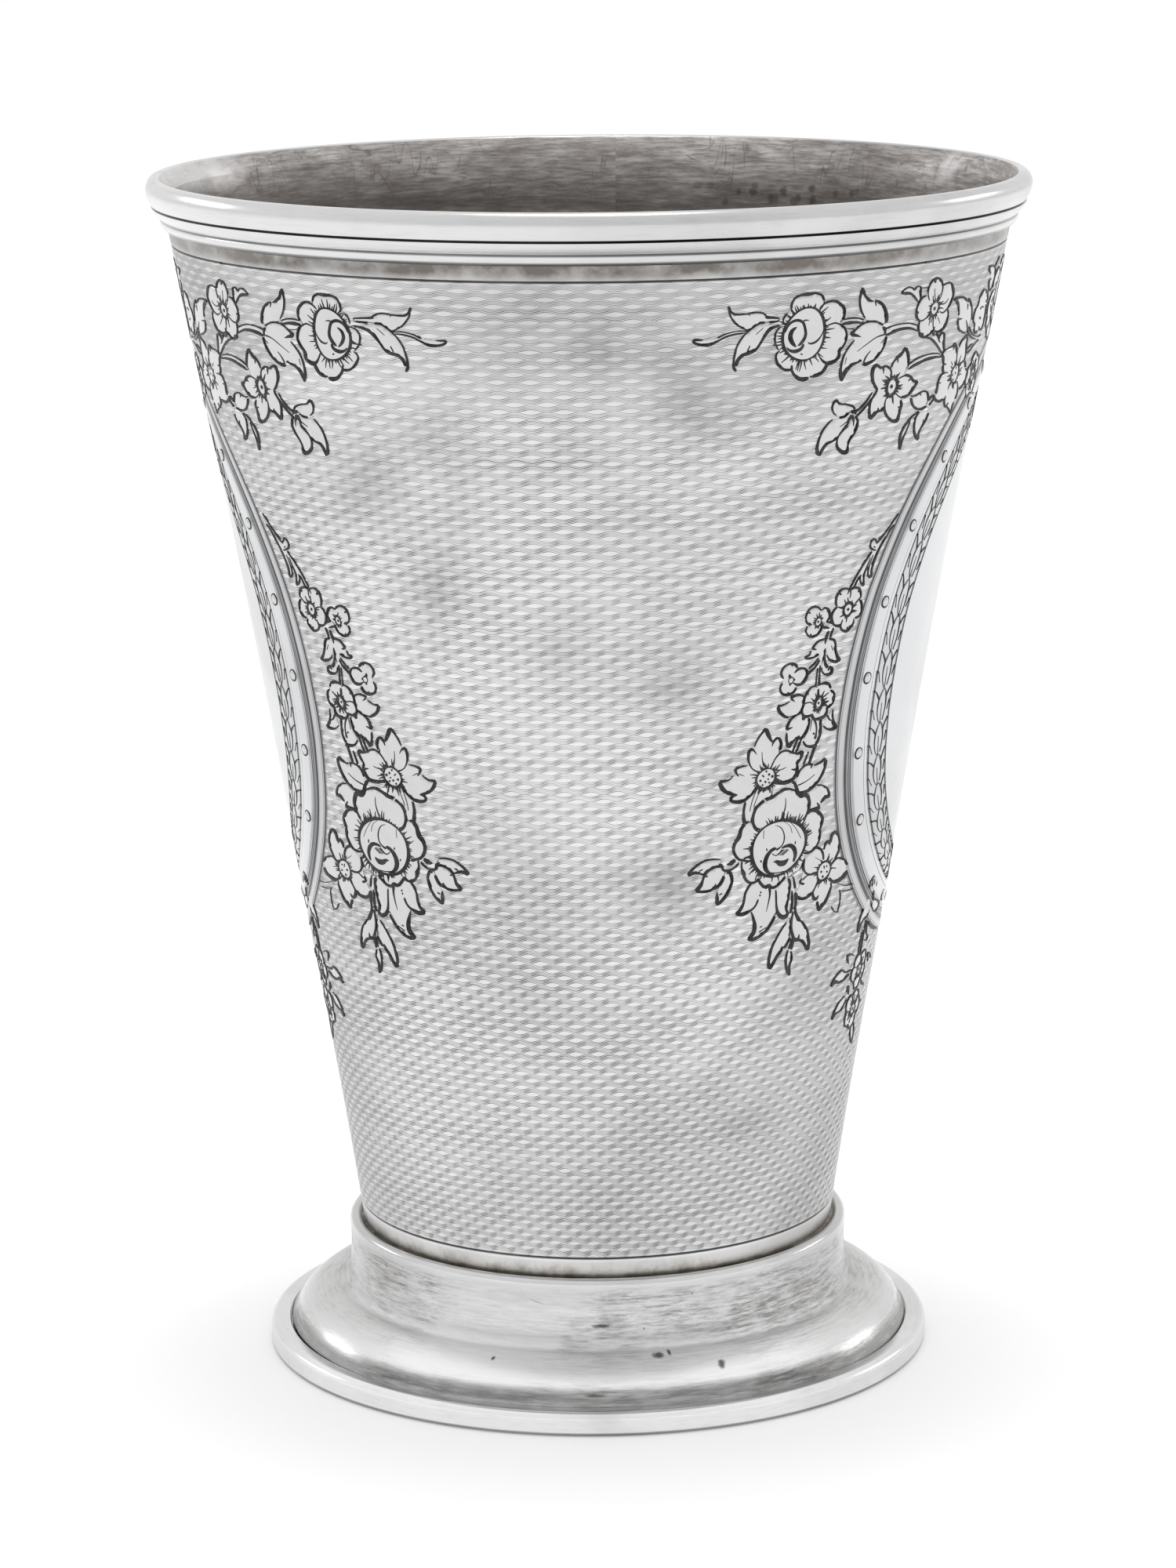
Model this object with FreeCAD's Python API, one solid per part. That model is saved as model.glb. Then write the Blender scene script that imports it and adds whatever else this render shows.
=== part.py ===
import FreeCAD, Part
import math
import os

# Footed beaker of sheet silver: tapered raised body, flat bottom disc, applied
# moulded lip, spun stepped foot and applied flat-edged foot wire.
# Millimetres. Origin: centre of the ring the foot stands on. +Z up the axis.

os.makedirs("parts", exist_ok=True)

# ---------------------------------------------------------------- dimensions
TOTAL_HEIGHT = 120.0
WALL_THICKNESS = 0.80
LIP_RADIUS = 43.88             # widest point of the lip
LIP_BOTTOM_Z = 115.00          # underside of the lip moulding
WALL_TOP_Z = 118.20            # top edge of the sheet, seated in the lip
UPPER_LINE_Z = 113.45          # engraved line above the engine turning
LOWER_LINE_Z = 15.10           # engraved line below the engine turning
LINE_WIDTH = 0.30
LINE_DEPTH = 0.14

WALL_BOTTOM_Z = 9.20
FLOOR_THICKNESS = 0.90
FLOOR_RADIUS = 23.84
FLOOR_DOME = 0.70              # rise of the bottom disc at its centre

FOOT_THICKNESS = 0.80
COLLAR_TOP_Z = 13.22
COLLAR_RADIUS = 25.62
WAIST_FOOT_Z = 6.15            # inner corner between the waist and the bell
BELL_RADIUS = 31.80
FOOT_RIM_RADIUS = 33.87
FOOT_RIM_HEIGHT = 2.30
FOOT_RIM_INNER = 31.00

# oval frames engraved at the two sides (centres on +X and -X)
OVAL_Z = 73.7
OVAL_TAPER = 4.5               # degrees round the wall that each flank is set in from an ellipse
OVAL_LINES = [                 # half width of the ellipse along the arc, half height, line width
    (26.50, 30.50, 0.30),
    (25.05, 29.05, 0.36),
    (21.45, 25.45, 0.30),
    (17.95, 21.95, 0.30),
]
STUD_OVAL = (23.10, 27.10)
STUD_HALF = [98.7, 117.5, 134.0, 150.5, 166.5, 182.3, 199.0, 216.0, 254.0]
STUD_ANGLES = STUD_HALF + [180.0 - a for a in STUD_HALF] + [270.0]
STUD_RADIUS = 0.48
STUD_RISE = 0.24

# outside of the wall, lowest to highest (height, radius)
WALL_POINTS = [
    (14.00, 24.24), (21.65, 25.39), (32.47, 27.15), (43.30, 29.015),
    (54.12, 30.79), (64.95, 32.58), (75.77, 34.44), (86.60, 36.375),
    (97.42, 38.42), (108.25, 40.47), (114.60, 41.65),
]
WALL_LOW = (9.20, 23.54)       # straight cone inside the foot collar
WALL_HIGH = (118.20, 42.36)    # straight cone under the lip moulding


def V(r, z):
    return FreeCAD.Vector(r, 0.0, z)


def line(a, b):
    return Part.makeLine(V(*a), V(*b))


def curve(points):
    c = Part.BSplineCurve()
    c.interpolate([V(r, z) for r, z in points])
    return c.toShape()


def bezier(points):
    c = Part.BezierCurve()
    c.setPoles([V(r, z) for r, z in points])
    return c.toShape()


def arc3(a, b, c):
    return Part.Arc(V(*a), V(*b), V(*c)).toShape()


def turned(edges):
    wire = Part.Wire(Part.__sortEdges__(edges))
    face = Part.Face(wire)
    solid = face.revolve(FreeCAD.Vector(0, 0, 0), FreeCAD.Vector(0, 0, 1), 360)
    if solid.ShapeType != "Solid":
        solid = Part.Solid(solid.Shells[0])
    if solid.Volume < 0:
        solid.reverse()
    return solid


def cone_r(z, low, high):
    t = (z - low[0]) / (high[0] - low[0])
    return low[1] + t * (high[1] - low[1])


WALL_KNEE_LOW = WALL_POINTS[0]
WALL_KNEE_HIGH = WALL_POINTS[-1]


def collar_contact(z):
    return cone_r(z, WALL_LOW, WALL_KNEE_LOW)


def lip_contact(z):
    return cone_r(z, WALL_KNEE_HIGH, WALL_HIGH)


def wall_radius(z):
    if z <= WALL_KNEE_LOW[0]:
        return collar_contact(z)
    if z >= WALL_KNEE_HIGH[0]:
        return lip_contact(z)
    for (z0, r0), (z1, r1) in zip(WALL_POINTS[:-1], WALL_POINTS[1:]):
        if z0 <= z <= z1:
            return r0 + (r1 - r0) * (z - z0) / (z1 - z0)
    return WALL_KNEE_HIGH[1]


# ---------------------------------------------------------------- body wall
outer = [(r, z) for z, r in WALL_POINTS]
inner = [(r - WALL_THICKNESS, z) for r, z in outer]
lo_o = (WALL_LOW[1], WALL_LOW[0])
lo_i = (WALL_LOW[1] - WALL_THICKNESS, WALL_LOW[0])
hi_o = (WALL_HIGH[1], WALL_HIGH[0])
hi_i = (WALL_HIGH[1] - WALL_THICKNESS, WALL_HIGH[0])
body_wall = turned([
    line(lo_o, outer[0]), curve(outer), line(outer[-1], hi_o),
    line(hi_o, hi_i),
    line(hi_i, inner[-1]), curve(inner), line(inner[0], lo_i),
    line(lo_i, lo_o),
])

# the two engraved lines that bound the engine turning
for z in (UPPER_LINE_Z, LOWER_LINE_Z):
    r = wall_radius(z)
    h = LINE_WIDTH / 2.0
    ring = turned([
        line((r - LINE_DEPTH, z), (r + 0.6, z - h * (0.6 + LINE_DEPTH) / LINE_DEPTH)),
        line((r + 0.6, z - h * (0.6 + LINE_DEPTH) / LINE_DEPTH),
             (r + 0.6, z + h * (0.6 + LINE_DEPTH) / LINE_DEPTH)),
        line((r + 0.6, z + h * (0.6 + LINE_DEPTH) / LINE_DEPTH), (r - LINE_DEPTH, z)),
    ])
    body_wall = body_wall.cut(ring)


# the oval frames: grooves of constant depth, cut with a thin jacket of the wall
def jacket(depth, over):
    a = [(r - depth, z) for r, z in outer[2:-1]]
    b = [(r + over, z) for r, z in outer[2:-1]]
    return turned([curve(a), line(a[-1], b[-1]), curve(b), line(b[0], a[0])])


def oval_arc(half_arc, t, r):
    """Arc distance from the oval's upright axis in direction t: an ellipse with its flanks set in."""
    return half_arc * math.cos(t) - math.radians(OVAL_TAPER) * r * math.tanh(3.2 * math.cos(t))


def oval_face(half_arc, half_height):
    pts = []
    n = 48
    for i in range(n):
        t = 2.0 * math.pi * i / n
        z = OVAL_Z + half_height * math.sin(t)
        r = wall_radius(z)
        u = oval_arc(half_arc, t, r)
        pts.append(FreeCAD.Vector(0.0, r * math.sin(u / r), z))
    c = Part.BSplineCurve()
    c.interpolate(Points=pts, PeriodicFlag=True)
    return Part.Face(Part.Wire([c.toShape()]))


groove_jacket = jacket(LINE_DEPTH, 1.0)
for half_arc, half_height, width in OVAL_LINES:
    w = width / 2.0
    big = oval_face(half_arc + w, half_height + w).extrude(FreeCAD.Vector(60, 0, 0))
    small = oval_face(half_arc - w, half_height - w).extrude(FreeCAD.Vector(60, 0, 0))
    band = big.cut(small).common(groove_jacket)
    body_wall = body_wall.cut(band)
    mirror = band.copy()
    mirror.rotate(FreeCAD.Vector(0, 0, 0), FreeCAD.Vector(0, 0, 1), 180)
    body_wall = body_wall.cut(mirror)

# small domed studs standing on the plain band between the second and third lines
studs = []
for angle in STUD_ANGLES:
    t = math.radians(angle)
    z = OVAL_Z + STUD_OVAL[1] * math.sin(t)
    r = wall_radius(z)
    u = oval_arc(STUD_OVAL[0], t, r)
    for side in (0.0, math.pi):
        ang = side + u / r
        ball_r = (STUD_RADIUS ** 2 + STUD_RISE ** 2) / (2.0 * STUD_RISE)
        d = r + STUD_RISE - ball_r
        studs.append(Part.makeSphere(ball_r, FreeCAD.Vector(
            d * math.cos(ang), d * math.sin(ang), z)))
stud_jacket = jacket(0.30, 1.0)
for ball in studs:
    body_wall = body_wall.fuse(ball.common(stud_jacket))
body_wall = body_wall.Solids[0]

# ---------------------------------------------------------------- bottom disc
seat = 21.4
f_top = WALL_BOTTOM_Z
f_bot = WALL_BOTTOM_Z - FLOOR_THICKNESS
floor_disc = turned([
    line((0, f_bot + FLOOR_DOME), (0, f_top + FLOOR_DOME)),
    bezier([(0, f_top + FLOOR_DOME), (9.0, f_top + FLOOR_DOME), (15.0, f_top), (seat, f_top)]),
    line((seat, f_top), (FLOOR_RADIUS - 0.25, f_top)),
    arc3((FLOOR_RADIUS - 0.25, f_top), (FLOOR_RADIUS - 0.073, f_top - 0.073),
         (FLOOR_RADIUS, f_top - 0.25)),
    line((FLOOR_RADIUS, f_top - 0.25), (FLOOR_RADIUS, f_bot)),
    line((FLOOR_RADIUS, f_bot), (seat, f_bot)),
    bezier([(seat, f_bot), (15.0, f_bot), (9.0, f_bot + FLOOR_DOME), (0, f_bot + FLOOR_DOME)]),
])

# ---------------------------------------------------------------- lip moulding
lip_low = (lip_contact(LIP_BOTTOM_Z), LIP_BOTTOM_Z)
lip_seat_o = hi_o
lip_seat_i = hi_i
lip_moulding = turned([
    line(lip_low, lip_seat_o),
    line(lip_seat_o, lip_seat_i),
    curve([lip_seat_i, (41.86, 118.90), (42.20, 119.50), (42.46, 119.86)]),
    arc3((42.46, 119.86), (42.68, 119.975), (42.95, TOTAL_HEIGHT)),
    curve([(42.95, TOTAL_HEIGHT), (43.35, 119.90), (43.68, 119.55), (LIP_RADIUS, 118.95),
           (43.80, 118.35), (43.62, 117.85), (43.42, 117.45)]),
    line((43.42, 117.45), (43.20, 117.31)),
    line((43.20, 117.31), (43.36, 117.18)),
    curve([(43.36, 117.18), (43.22, 116.85), (42.98, 116.52), (42.74, 116.28)]),
    curve([(42.74, 116.28), (42.56, 116.12), (42.48, 115.96), (42.52, 115.82)]),
    curve([(42.52, 115.82), (42.44, 115.48), (42.24, 115.18), (42.00, LIP_BOTTOM_Z)]),
    line((42.00, LIP_BOTTOM_Z), lip_low),
])

# ---------------------------------------------------------------- foot
c_low_z = 11.00
c_high_z = 12.70
contact_low = (collar_contact(c_low_z), c_low_z)
contact_high = (collar_contact(c_high_z), c_high_z)
waist_i = COLLAR_RADIUS - FOOT_THICKNESS
t = FOOT_THICKNESS
seat_z = 1.20                   # lower edge of the bell, seated in the foot rim
foot_shell = turned([
    line(contact_low, contact_high),
    line(contact_high, (24.52, 13.02)),
    arc3((24.52, 13.02), (24.98, COLLAR_TOP_Z), (25.44, 13.02)),
    arc3((25.44, 13.02), (25.57, 12.83), (COLLAR_RADIUS, 12.60)),
    bezier([(COLLAR_RADIUS, 12.60), (25.50, 11.0), (25.50, 9.0), (25.75, 7.60)]),
    bezier([(25.75, 7.60), (25.90, 6.70), (26.30, 6.25), (26.80, WAIST_FOOT_Z)]),
    bezier([(26.80, WAIST_FOOT_Z), (28.50, 5.95), (31.15, 4.55), (BELL_RADIUS, 2.30)]),
    line((BELL_RADIUS, 2.30), (BELL_RADIUS, seat_z)),
    line((BELL_RADIUS, seat_z), (FOOT_RIM_INNER, seat_z)),
    line((FOOT_RIM_INNER, seat_z), (FOOT_RIM_INNER, 2.20)),
    bezier([(FOOT_RIM_INNER, 2.20), (30.45, 4.05), (28.20, 5.20), (26.60, WAIST_FOOT_Z - t)]),
    bezier([(26.60, WAIST_FOOT_Z - t), (25.70, 5.50), (25.10, 6.40), (24.95, 7.50)]),
    bezier([(24.95, 7.50), (24.72, 8.8), (24.72, 9.6), (24.76, 10.20)]),
    line((24.76, 10.20), contact_low),
])

foot_rim = turned([
    line((FOOT_RIM_INNER, 0.15), (FOOT_RIM_INNER, seat_z)),
    line((FOOT_RIM_INNER, seat_z), (BELL_RADIUS, seat_z)),
    line((BELL_RADIUS, seat_z), (BELL_RADIUS, 2.10)),
    line((BELL_RADIUS, 2.10), (31.98, 2.25)),
    line((31.98, 2.25), (33.18, FOOT_RIM_HEIGHT)),
    arc3((33.18, FOOT_RIM_HEIGHT), (33.66, 2.09), (FOOT_RIM_RADIUS, 1.60)),
    line((FOOT_RIM_RADIUS, 1.60), (FOOT_RIM_RADIUS, 0.20)),
    line((FOOT_RIM_RADIUS, 0.20), (33.68, 0.0)),
    line((33.68, 0.0), (31.15, 0.0)),
    line((31.15, 0.0), (FOOT_RIM_INNER, 0.15)),
])

# ---------------------------------------------------------------- solder runs
s_z = 12.98
s_c = 24.52 - (13.02 - s_z) / (13.02 - c_high_z) * (24.52 - contact_high[0])
s_w = collar_contact(s_z)
collar_solder = turned([
    line(contact_high, (s_w, s_z)),
    line((s_w, s_z), (s_c, s_z)),
    line((s_c, s_z), contact_high),
])

fz = 9.20
fr = lo_i[0]
f_up = 10.10
fru = cone_r(f_up, (WALL_LOW[0], WALL_LOW[1] - t), (WALL_KNEE_LOW[0], WALL_KNEE_LOW[1] - t))
floor_solder = turned([
    line((fr, fz), (fru, f_up)),
    arc3((fru, f_up), (fr - 0.24, fz + 0.28), (fr - 0.90, fz)),
    line((fr - 0.90, fz), (fr, fz)),
])

nodes = {
    "body_wall": body_wall,
    "floor_disc": floor_disc,
    "lip_moulding": lip_moulding,
    "foot_shell": foot_shell,
    "foot_rim": foot_rim,
    "collar_solder": collar_solder,
    "floor_solder": floor_solder,
}
for name, shape in nodes.items():
    print(name, shape.ShapeType, "valid", shape.isValid(), "closed", shape.isClosed(),
          "solids", len(shape.Solids), "volume", round(shape.Volume, 1))
    shape.exportStep("parts/%s.step" % name)
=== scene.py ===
import bpy
import math
import numpy as np
from mathutils import Matrix, Vector
from mathutils.geometry import delaunay_2d_cdt


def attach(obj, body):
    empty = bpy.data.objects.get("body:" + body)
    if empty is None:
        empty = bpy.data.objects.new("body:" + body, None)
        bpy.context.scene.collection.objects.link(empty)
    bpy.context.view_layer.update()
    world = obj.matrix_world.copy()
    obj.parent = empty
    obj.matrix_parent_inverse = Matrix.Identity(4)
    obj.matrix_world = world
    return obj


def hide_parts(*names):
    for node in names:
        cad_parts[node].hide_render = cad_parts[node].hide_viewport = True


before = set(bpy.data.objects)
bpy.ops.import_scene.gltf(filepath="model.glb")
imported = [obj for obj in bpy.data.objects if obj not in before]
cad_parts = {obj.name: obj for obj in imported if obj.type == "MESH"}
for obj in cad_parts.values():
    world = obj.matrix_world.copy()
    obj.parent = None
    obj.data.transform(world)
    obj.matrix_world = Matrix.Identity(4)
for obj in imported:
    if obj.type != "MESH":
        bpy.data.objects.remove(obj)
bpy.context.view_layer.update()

MM = 0.001

# ------------------------------------------------------------------ camera
# placed from the fit of the photograph's circles: millimetres, then metres
YAW, PITCH, ROLL = -0.00117, 0.21042, -0.0085
SEEN = math.radians(4.0)         # the beaker stands turned by this much against the camera
AROUND = Matrix.Rotation(SEEN, 4, "Z")
fwd = Vector((math.sin(YAW) * math.cos(PITCH), math.cos(YAW) * math.cos(PITCH), -math.sin(PITCH)))
right = Vector((math.cos(YAW), -math.sin(YAW), 0.0))
up = right.cross(fwd)
right2 = math.cos(ROLL) * right + math.sin(ROLL) * up
up2 = -math.sin(ROLL) * right + math.cos(ROLL) * up
cam_data = bpy.data.cameras.new("camera")
cam_data.sensor_width = 36.0
cam_data.lens = 115.32
cam_data.clip_start = 0.01
cam_data.clip_end = 100.0
camera = bpy.data.objects.new("camera", cam_data)
bpy.context.scene.collection.objects.link(camera)
turn = Matrix((right2, up2, -fwd)).transposed()
camera.matrix_world = AROUND @ Matrix.Translation(Vector((0.0, -0.4994, 0.16448))) @ turn.to_4x4()
bpy.context.scene.camera = camera

# ------------------------------------------------------------------ geometry tools
WALL = [(9.20, 23.54), (14.00, 24.24), (21.65, 25.39), (32.47, 27.15), (43.30, 29.015),
        (54.12, 30.79), (64.95, 32.58), (75.77, 34.44), (86.60, 36.375), (97.42, 38.42),
        (108.25, 40.47), (114.60, 41.65), (118.20, 42.36)]
WZ = np.array([p[0] for p in WALL])
WR = np.array([p[1] for p in WALL])
GAUGE = 0.80
REF = 33.0                       # radius at which the engraver's widths are laid out


def _slopes(x, y):
    d = np.diff(y) / np.diff(x)
    m = np.empty_like(y)
    m[1:-1] = (d[:-1] + d[1:]) / 2.0
    m[0], m[-1] = d[0], d[-1]
    return m


WM = _slopes(WZ, WR)


def wall_r(z):
    z = np.asarray(z, dtype=float)
    i = np.clip(np.searchsorted(WZ, z) - 1, 0, len(WZ) - 2)
    h = WZ[i + 1] - WZ[i]
    t = (z - WZ[i]) / h
    t2, t3 = t * t, t * t * t
    return ((2 * t3 - 3 * t2 + 1) * WR[i] + (t3 - 2 * t2 + t) * h * WM[i]
            + (-2 * t3 + 3 * t2) * WR[i + 1] + (t3 - t2) * h * WM[i + 1])


def on_wall(theta, z, h=0.0):
    """Point on the outside of the wall, h mm above it. theta 0 is the front, growing to +X."""
    theta, z = np.broadcast_arrays(np.asarray(theta, float), np.asarray(z, float))
    r = wall_r(z) + np.asarray(h) * 0.983
    zz = z - np.asarray(h) * 0.182
    return np.stack([r * np.sin(theta), -r * np.cos(theta), zz + np.zeros_like(r)], -1)


def wobble(a, seed):
    """Smooth low-frequency unevenness of hand work, about -1 to 1, periodic in the angle a."""
    rng = np.random.default_rng(seed)
    out = 0.0
    for k in (1, 2, 3, 5, 8):
        out = out + rng.normal() / k ** 0.7 * np.cos(k * a + rng.uniform(0, 6.28))
    return out / 2.0


def build(name, verts, groups, cut=None, uv=None, mat=None, node=None, normals=None):
    """groups: list of (faces array n x k, smooth). uv: list of arrays n x k x 2 like groups.
    normals: one per corner of the first group, so that neighbours shade as one surface."""
    me = bpy.data.meshes.new(name)
    verts = np.asarray(verts, dtype=np.float64) * MM
    me.vertices.add(len(verts))
    me.vertices.foreach_set("co", verts.ravel())
    totals, starts, loops, smooth, uvs = [], [], [], [], []
    at = 0
    for gi, (faces, sm) in enumerate(groups):
        faces = np.asarray(faces, dtype=np.int64)
        n, k = faces.shape
        totals.append(np.full(n, k))
        starts.append(at + np.arange(n) * k)
        loops.append(faces.ravel())
        smooth.append(np.full(n, bool(sm)))
        if uv is not None:
            uvs.append(np.asarray(uv[gi], dtype=np.float32).reshape(n * k, 2))
        at += n * k
    me.loops.add(at)
    me.loops.foreach_set("vertex_index", np.concatenate(loops).astype(np.int32))
    me.polygons.add(int(sum(len(t) for t in totals)))
    me.polygons.foreach_set("loop_start", np.concatenate(starts).astype(np.int32))
    me.polygons.foreach_set("use_smooth", np.concatenate(smooth))
    me.update(calc_edges=True)
    if uv is not None:
        layer = me.uv_layers.new(name="OFBake")
        layer.data.foreach_set("uv", np.concatenate(uvs).ravel())
    if cut is not None:
        a = me.attributes.new("cut", "FLOAT", "POINT")
        a.data.foreach_set("value", np.asarray(cut, dtype=np.float32))
    if normals is not None:
        full = np.zeros((at, 3))
        full[:len(normals)] = normals
        me.normals_split_custom_set(full.tolist())
    ob = bpy.data.objects.new(name, me)
    bpy.context.scene.collection.objects.link(ob)
    if mat is not None:
        me.materials.append(mat)
    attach(ob, "root")
    if node:
        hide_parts(node)
    return ob


def spline(points, step=None, count=None, closed=False):
    """Points on a centripetal-like cubic through the given ones."""
    p = np.asarray(points, dtype=float)
    if closed:
        p = np.vstack([p, p[:1]])
    if len(p) == 2:
        d = np.linalg.norm(p[1] - p[0])
        n = count or max(2, int(math.ceil(d / step)) + 1)
        t = np.linspace(0, 1, n)[:, None]
        return p[0] * (1 - t) + p[1] * t, np.linspace(0, 1, n)
    seg = np.maximum(np.linalg.norm(np.diff(p, axis=0), axis=1), 1e-6)
    s = np.concatenate([[0], np.cumsum(seg)])
    if closed:
        q = np.vstack([p[-2], p, p[1]])
        sq = np.concatenate([[s[0] - seg[-1]], s, [s[-1] + seg[0]]])
        m = (q[2:] - q[:-2]) / (sq[2:] - sq[:-2])[:, None]
    else:
        m = np.empty_like(p)
        m[1:-1] = (p[2:] - p[:-2]) / (s[2:] - s[:-2])[:, None]
        m[0] = 1.5 * (p[1] - p[0]) / seg[0] - 0.5 * m[1]
        m[-1] = 1.5 * (p[-1] - p[-2]) / seg[-1] - 0.5 * m[-2]
    n = count or max(3, int(math.ceil(s[-1] / step)) + 1)
    x = np.linspace(0, s[-1], n)
    i = np.clip(np.searchsorted(s, x, side="right") - 1, 0, len(seg) - 1)
    h = seg[i]
    t = ((x - s[i]) / h)[:, None]
    h = h[:, None]
    t2, t3 = t * t, t * t * t
    out = ((2 * t3 - 3 * t2 + 1) * p[i] + (t3 - 2 * t2 + t) * h * m[i]
           + (-2 * t3 + 3 * t2) * p[i + 1] + (t3 - t2) * h * m[i + 1])
    if closed:
        out, x = out[:-1], x[:-1]
    return out, x / s[-1]


def bez(points, n):
    p = [np.asarray(q, float) for q in points]
    t = np.linspace(0, 1, n)[:, None]
    k = len(p) - 1
    return sum(math.comb(k, i) * (1 - t) ** (k - i) * t ** i * p[i] for i in range(k + 1))


def arc3(a, b, c, n):
    a, b, c = (np.asarray(q, float) for q in (a, b, c))
    d = 2 * (a[0] * (b[1] - c[1]) + b[0] * (c[1] - a[1]) + c[0] * (a[1] - b[1]))
    ux = ((a @ a) * (b[1] - c[1]) + (b @ b) * (c[1] - a[1]) + (c @ c) * (a[1] - b[1])) / d
    uy = ((a @ a) * (c[0] - b[0]) + (b @ b) * (a[0] - c[0]) + (c @ c) * (b[0] - a[0])) / d
    o = np.array([ux, uy])
    r = np.linalg.norm(a - o)
    an = [math.atan2(*(q - o)[::-1]) for q in (a, b, c)]
    if (an[1] - an[0]) % (2 * math.pi) < (an[2] - an[0]) % (2 * math.pi):
        sweep = (an[2] - an[0]) % (2 * math.pi)
    else:
        sweep = -((an[0] - an[2]) % (2 * math.pi))
    t = an[0] + np.linspace(0, 1, n) * sweep
    return np.stack([o[0] + r * np.cos(t), o[1] + r * np.sin(t)], -1)


def seg(a, b, n=2):
    t = np.linspace(0, 1, n)[:, None]
    return np.asarray(a, float) * (1 - t) + np.asarray(b, float) * t


def chain(*parts):
    out = [np.asarray(parts[0], float)]
    for p in parts[1:]:
        p = np.asarray(p, float)
        if np.linalg.norm(p[0] - out[-1][-1]) < 1e-6:
            p = p[1:]
        out.append(p)
    out = np.vstack(out)
    if np.linalg.norm(out[0] - out[-1]) < 1e-6:
        out = out[:-1]
    return out


def lathe(name, profile, segs, mat, node, uneven=0.0, seed=1, sharp=38.0, dents=(), poles=False):
    """Closed ring (or disc, with poles) turned from a closed profile of (r, z) points, counter-clockwise."""
    prof = np.asarray(profile, float)
    area = 0.5 * np.sum(prof[:, 0] * np.roll(prof[:, 1], -1) - np.roll(prof[:, 0], -1) * prof[:, 1])
    if area < 0:
        prof = prof[::-1]
    n = len(prof)
    th = np.arange(segs) * 2 * math.pi / segs
    rr = np.repeat(prof[:, :1], segs, 1)
    zz = np.repeat(prof[:, 1:], segs, 1)
    if uneven:
        w = np.stack([wobble(th, seed + i // 9) for i in range(n)])
        soft = (np.roll(w, 1, 0) + w + np.roll(w, -1, 0)) / 3.0
        push = soft + wobble(th, seed + 77)
        rr = rr + np.where(rr > 0.5, uneven * (push - push.max()), 0.0)
    for (t0, z0, rad, deep) in dents:
        d = np.hypot((np.angle(np.exp(1j * (th[None, :] - t0)))) * rr, zz - z0)
        rr = rr - deep * np.exp(-(d / rad) ** 2)
    xyz = np.stack([rr * np.sin(th), -rr * np.cos(th), zz], -1)
    length = np.linalg.norm(np.roll(prof, -1, 0) - prof, axis=1)
    v = np.concatenate([[0], np.cumsum(length)])
    v = v / v[-1]
    verts = xyz.reshape(-1, 3)
    idx = np.arange(n * segs).reshape(n, segs)
    quads, uvq, tris, uvt = [], [], [], []
    centre = {}
    extra = []
    for i in range(n):
        j = (i + 1) % n
        a, b = idx[i], idx[j]
        a2, b2 = np.roll(a, -1), np.roll(b, -1)
        u0 = np.arange(segs) / segs
        u1 = u0 + 1.0 / segs
        if poles and prof[i, 0] < 1e-6 and prof[j, 0] < 1e-6:
            continue
        if poles and (prof[i, 0] < 1e-6 or prof[j, 0] < 1e-6):
            k = i if prof[i, 0] < 1e-6 else j
            if k not in centre:
                centre[k] = len(verts) + len(extra)
                extra.append([0.0, 0.0, prof[k, 1]])
            c = np.full(segs, centre[k])
            if k == i:
                tris.append(np.stack([c, b2, b], -1))
                uvt.append(np.stack([np.stack([u0, np.full(segs, v[i])], -1),
                                     np.stack([u1, np.full(segs, v[i + 1])], -1),
                                     np.stack([u0, np.full(segs, v[i + 1])], -1)], 1))
            else:
                tris.append(np.stack([a, a2, c], -1))
                uvt.append(np.stack([np.stack([u0, np.full(segs, v[i])], -1),
                                     np.stack([u1, np.full(segs, v[i])], -1),
                                     np.stack([u0, np.full(segs, v[i + 1])], -1)], 1))
            continue
        quads.append(np.stack([a, a2, b2, b], -1))
        uvq.append(np.stack([np.stack([u0, np.full(segs, v[i])], -1),
                             np.stack([u1, np.full(segs, v[i])], -1),
                             np.stack([u1, np.full(segs, v[i + 1])], -1),
                             np.stack([u0, np.full(segs, v[i + 1])], -1)], 1))
    if extra:
        verts = np.vstack([verts, extra])
    groups, uvs = [(np.vstack(quads), True)], [np.vstack(uvq)]
    if tris:
        groups.append((np.vstack(tris), True))
        uvs.append(np.vstack(uvt))
    used = np.unique(np.concatenate([g[0].ravel() for g in groups]))
    remap = np.full(len(verts), -1)
    remap[used] = np.arange(len(used))
    verts = verts[used]
    groups = [(remap[g], s) for g, s in groups]
    ob = build(name, verts, groups, uv=uvs, mat=mat, node=node)
    me = ob.data
    me.set_sharp_from_angle(angle=math.radians(sharp))
    return ob


# ------------------------------------------------------------------ materials
def new_mat(name):
    m = bpy.data.materials.new(name)
    m.use_nodes = True
    m.node_tree.nodes.clear()
    return m


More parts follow.
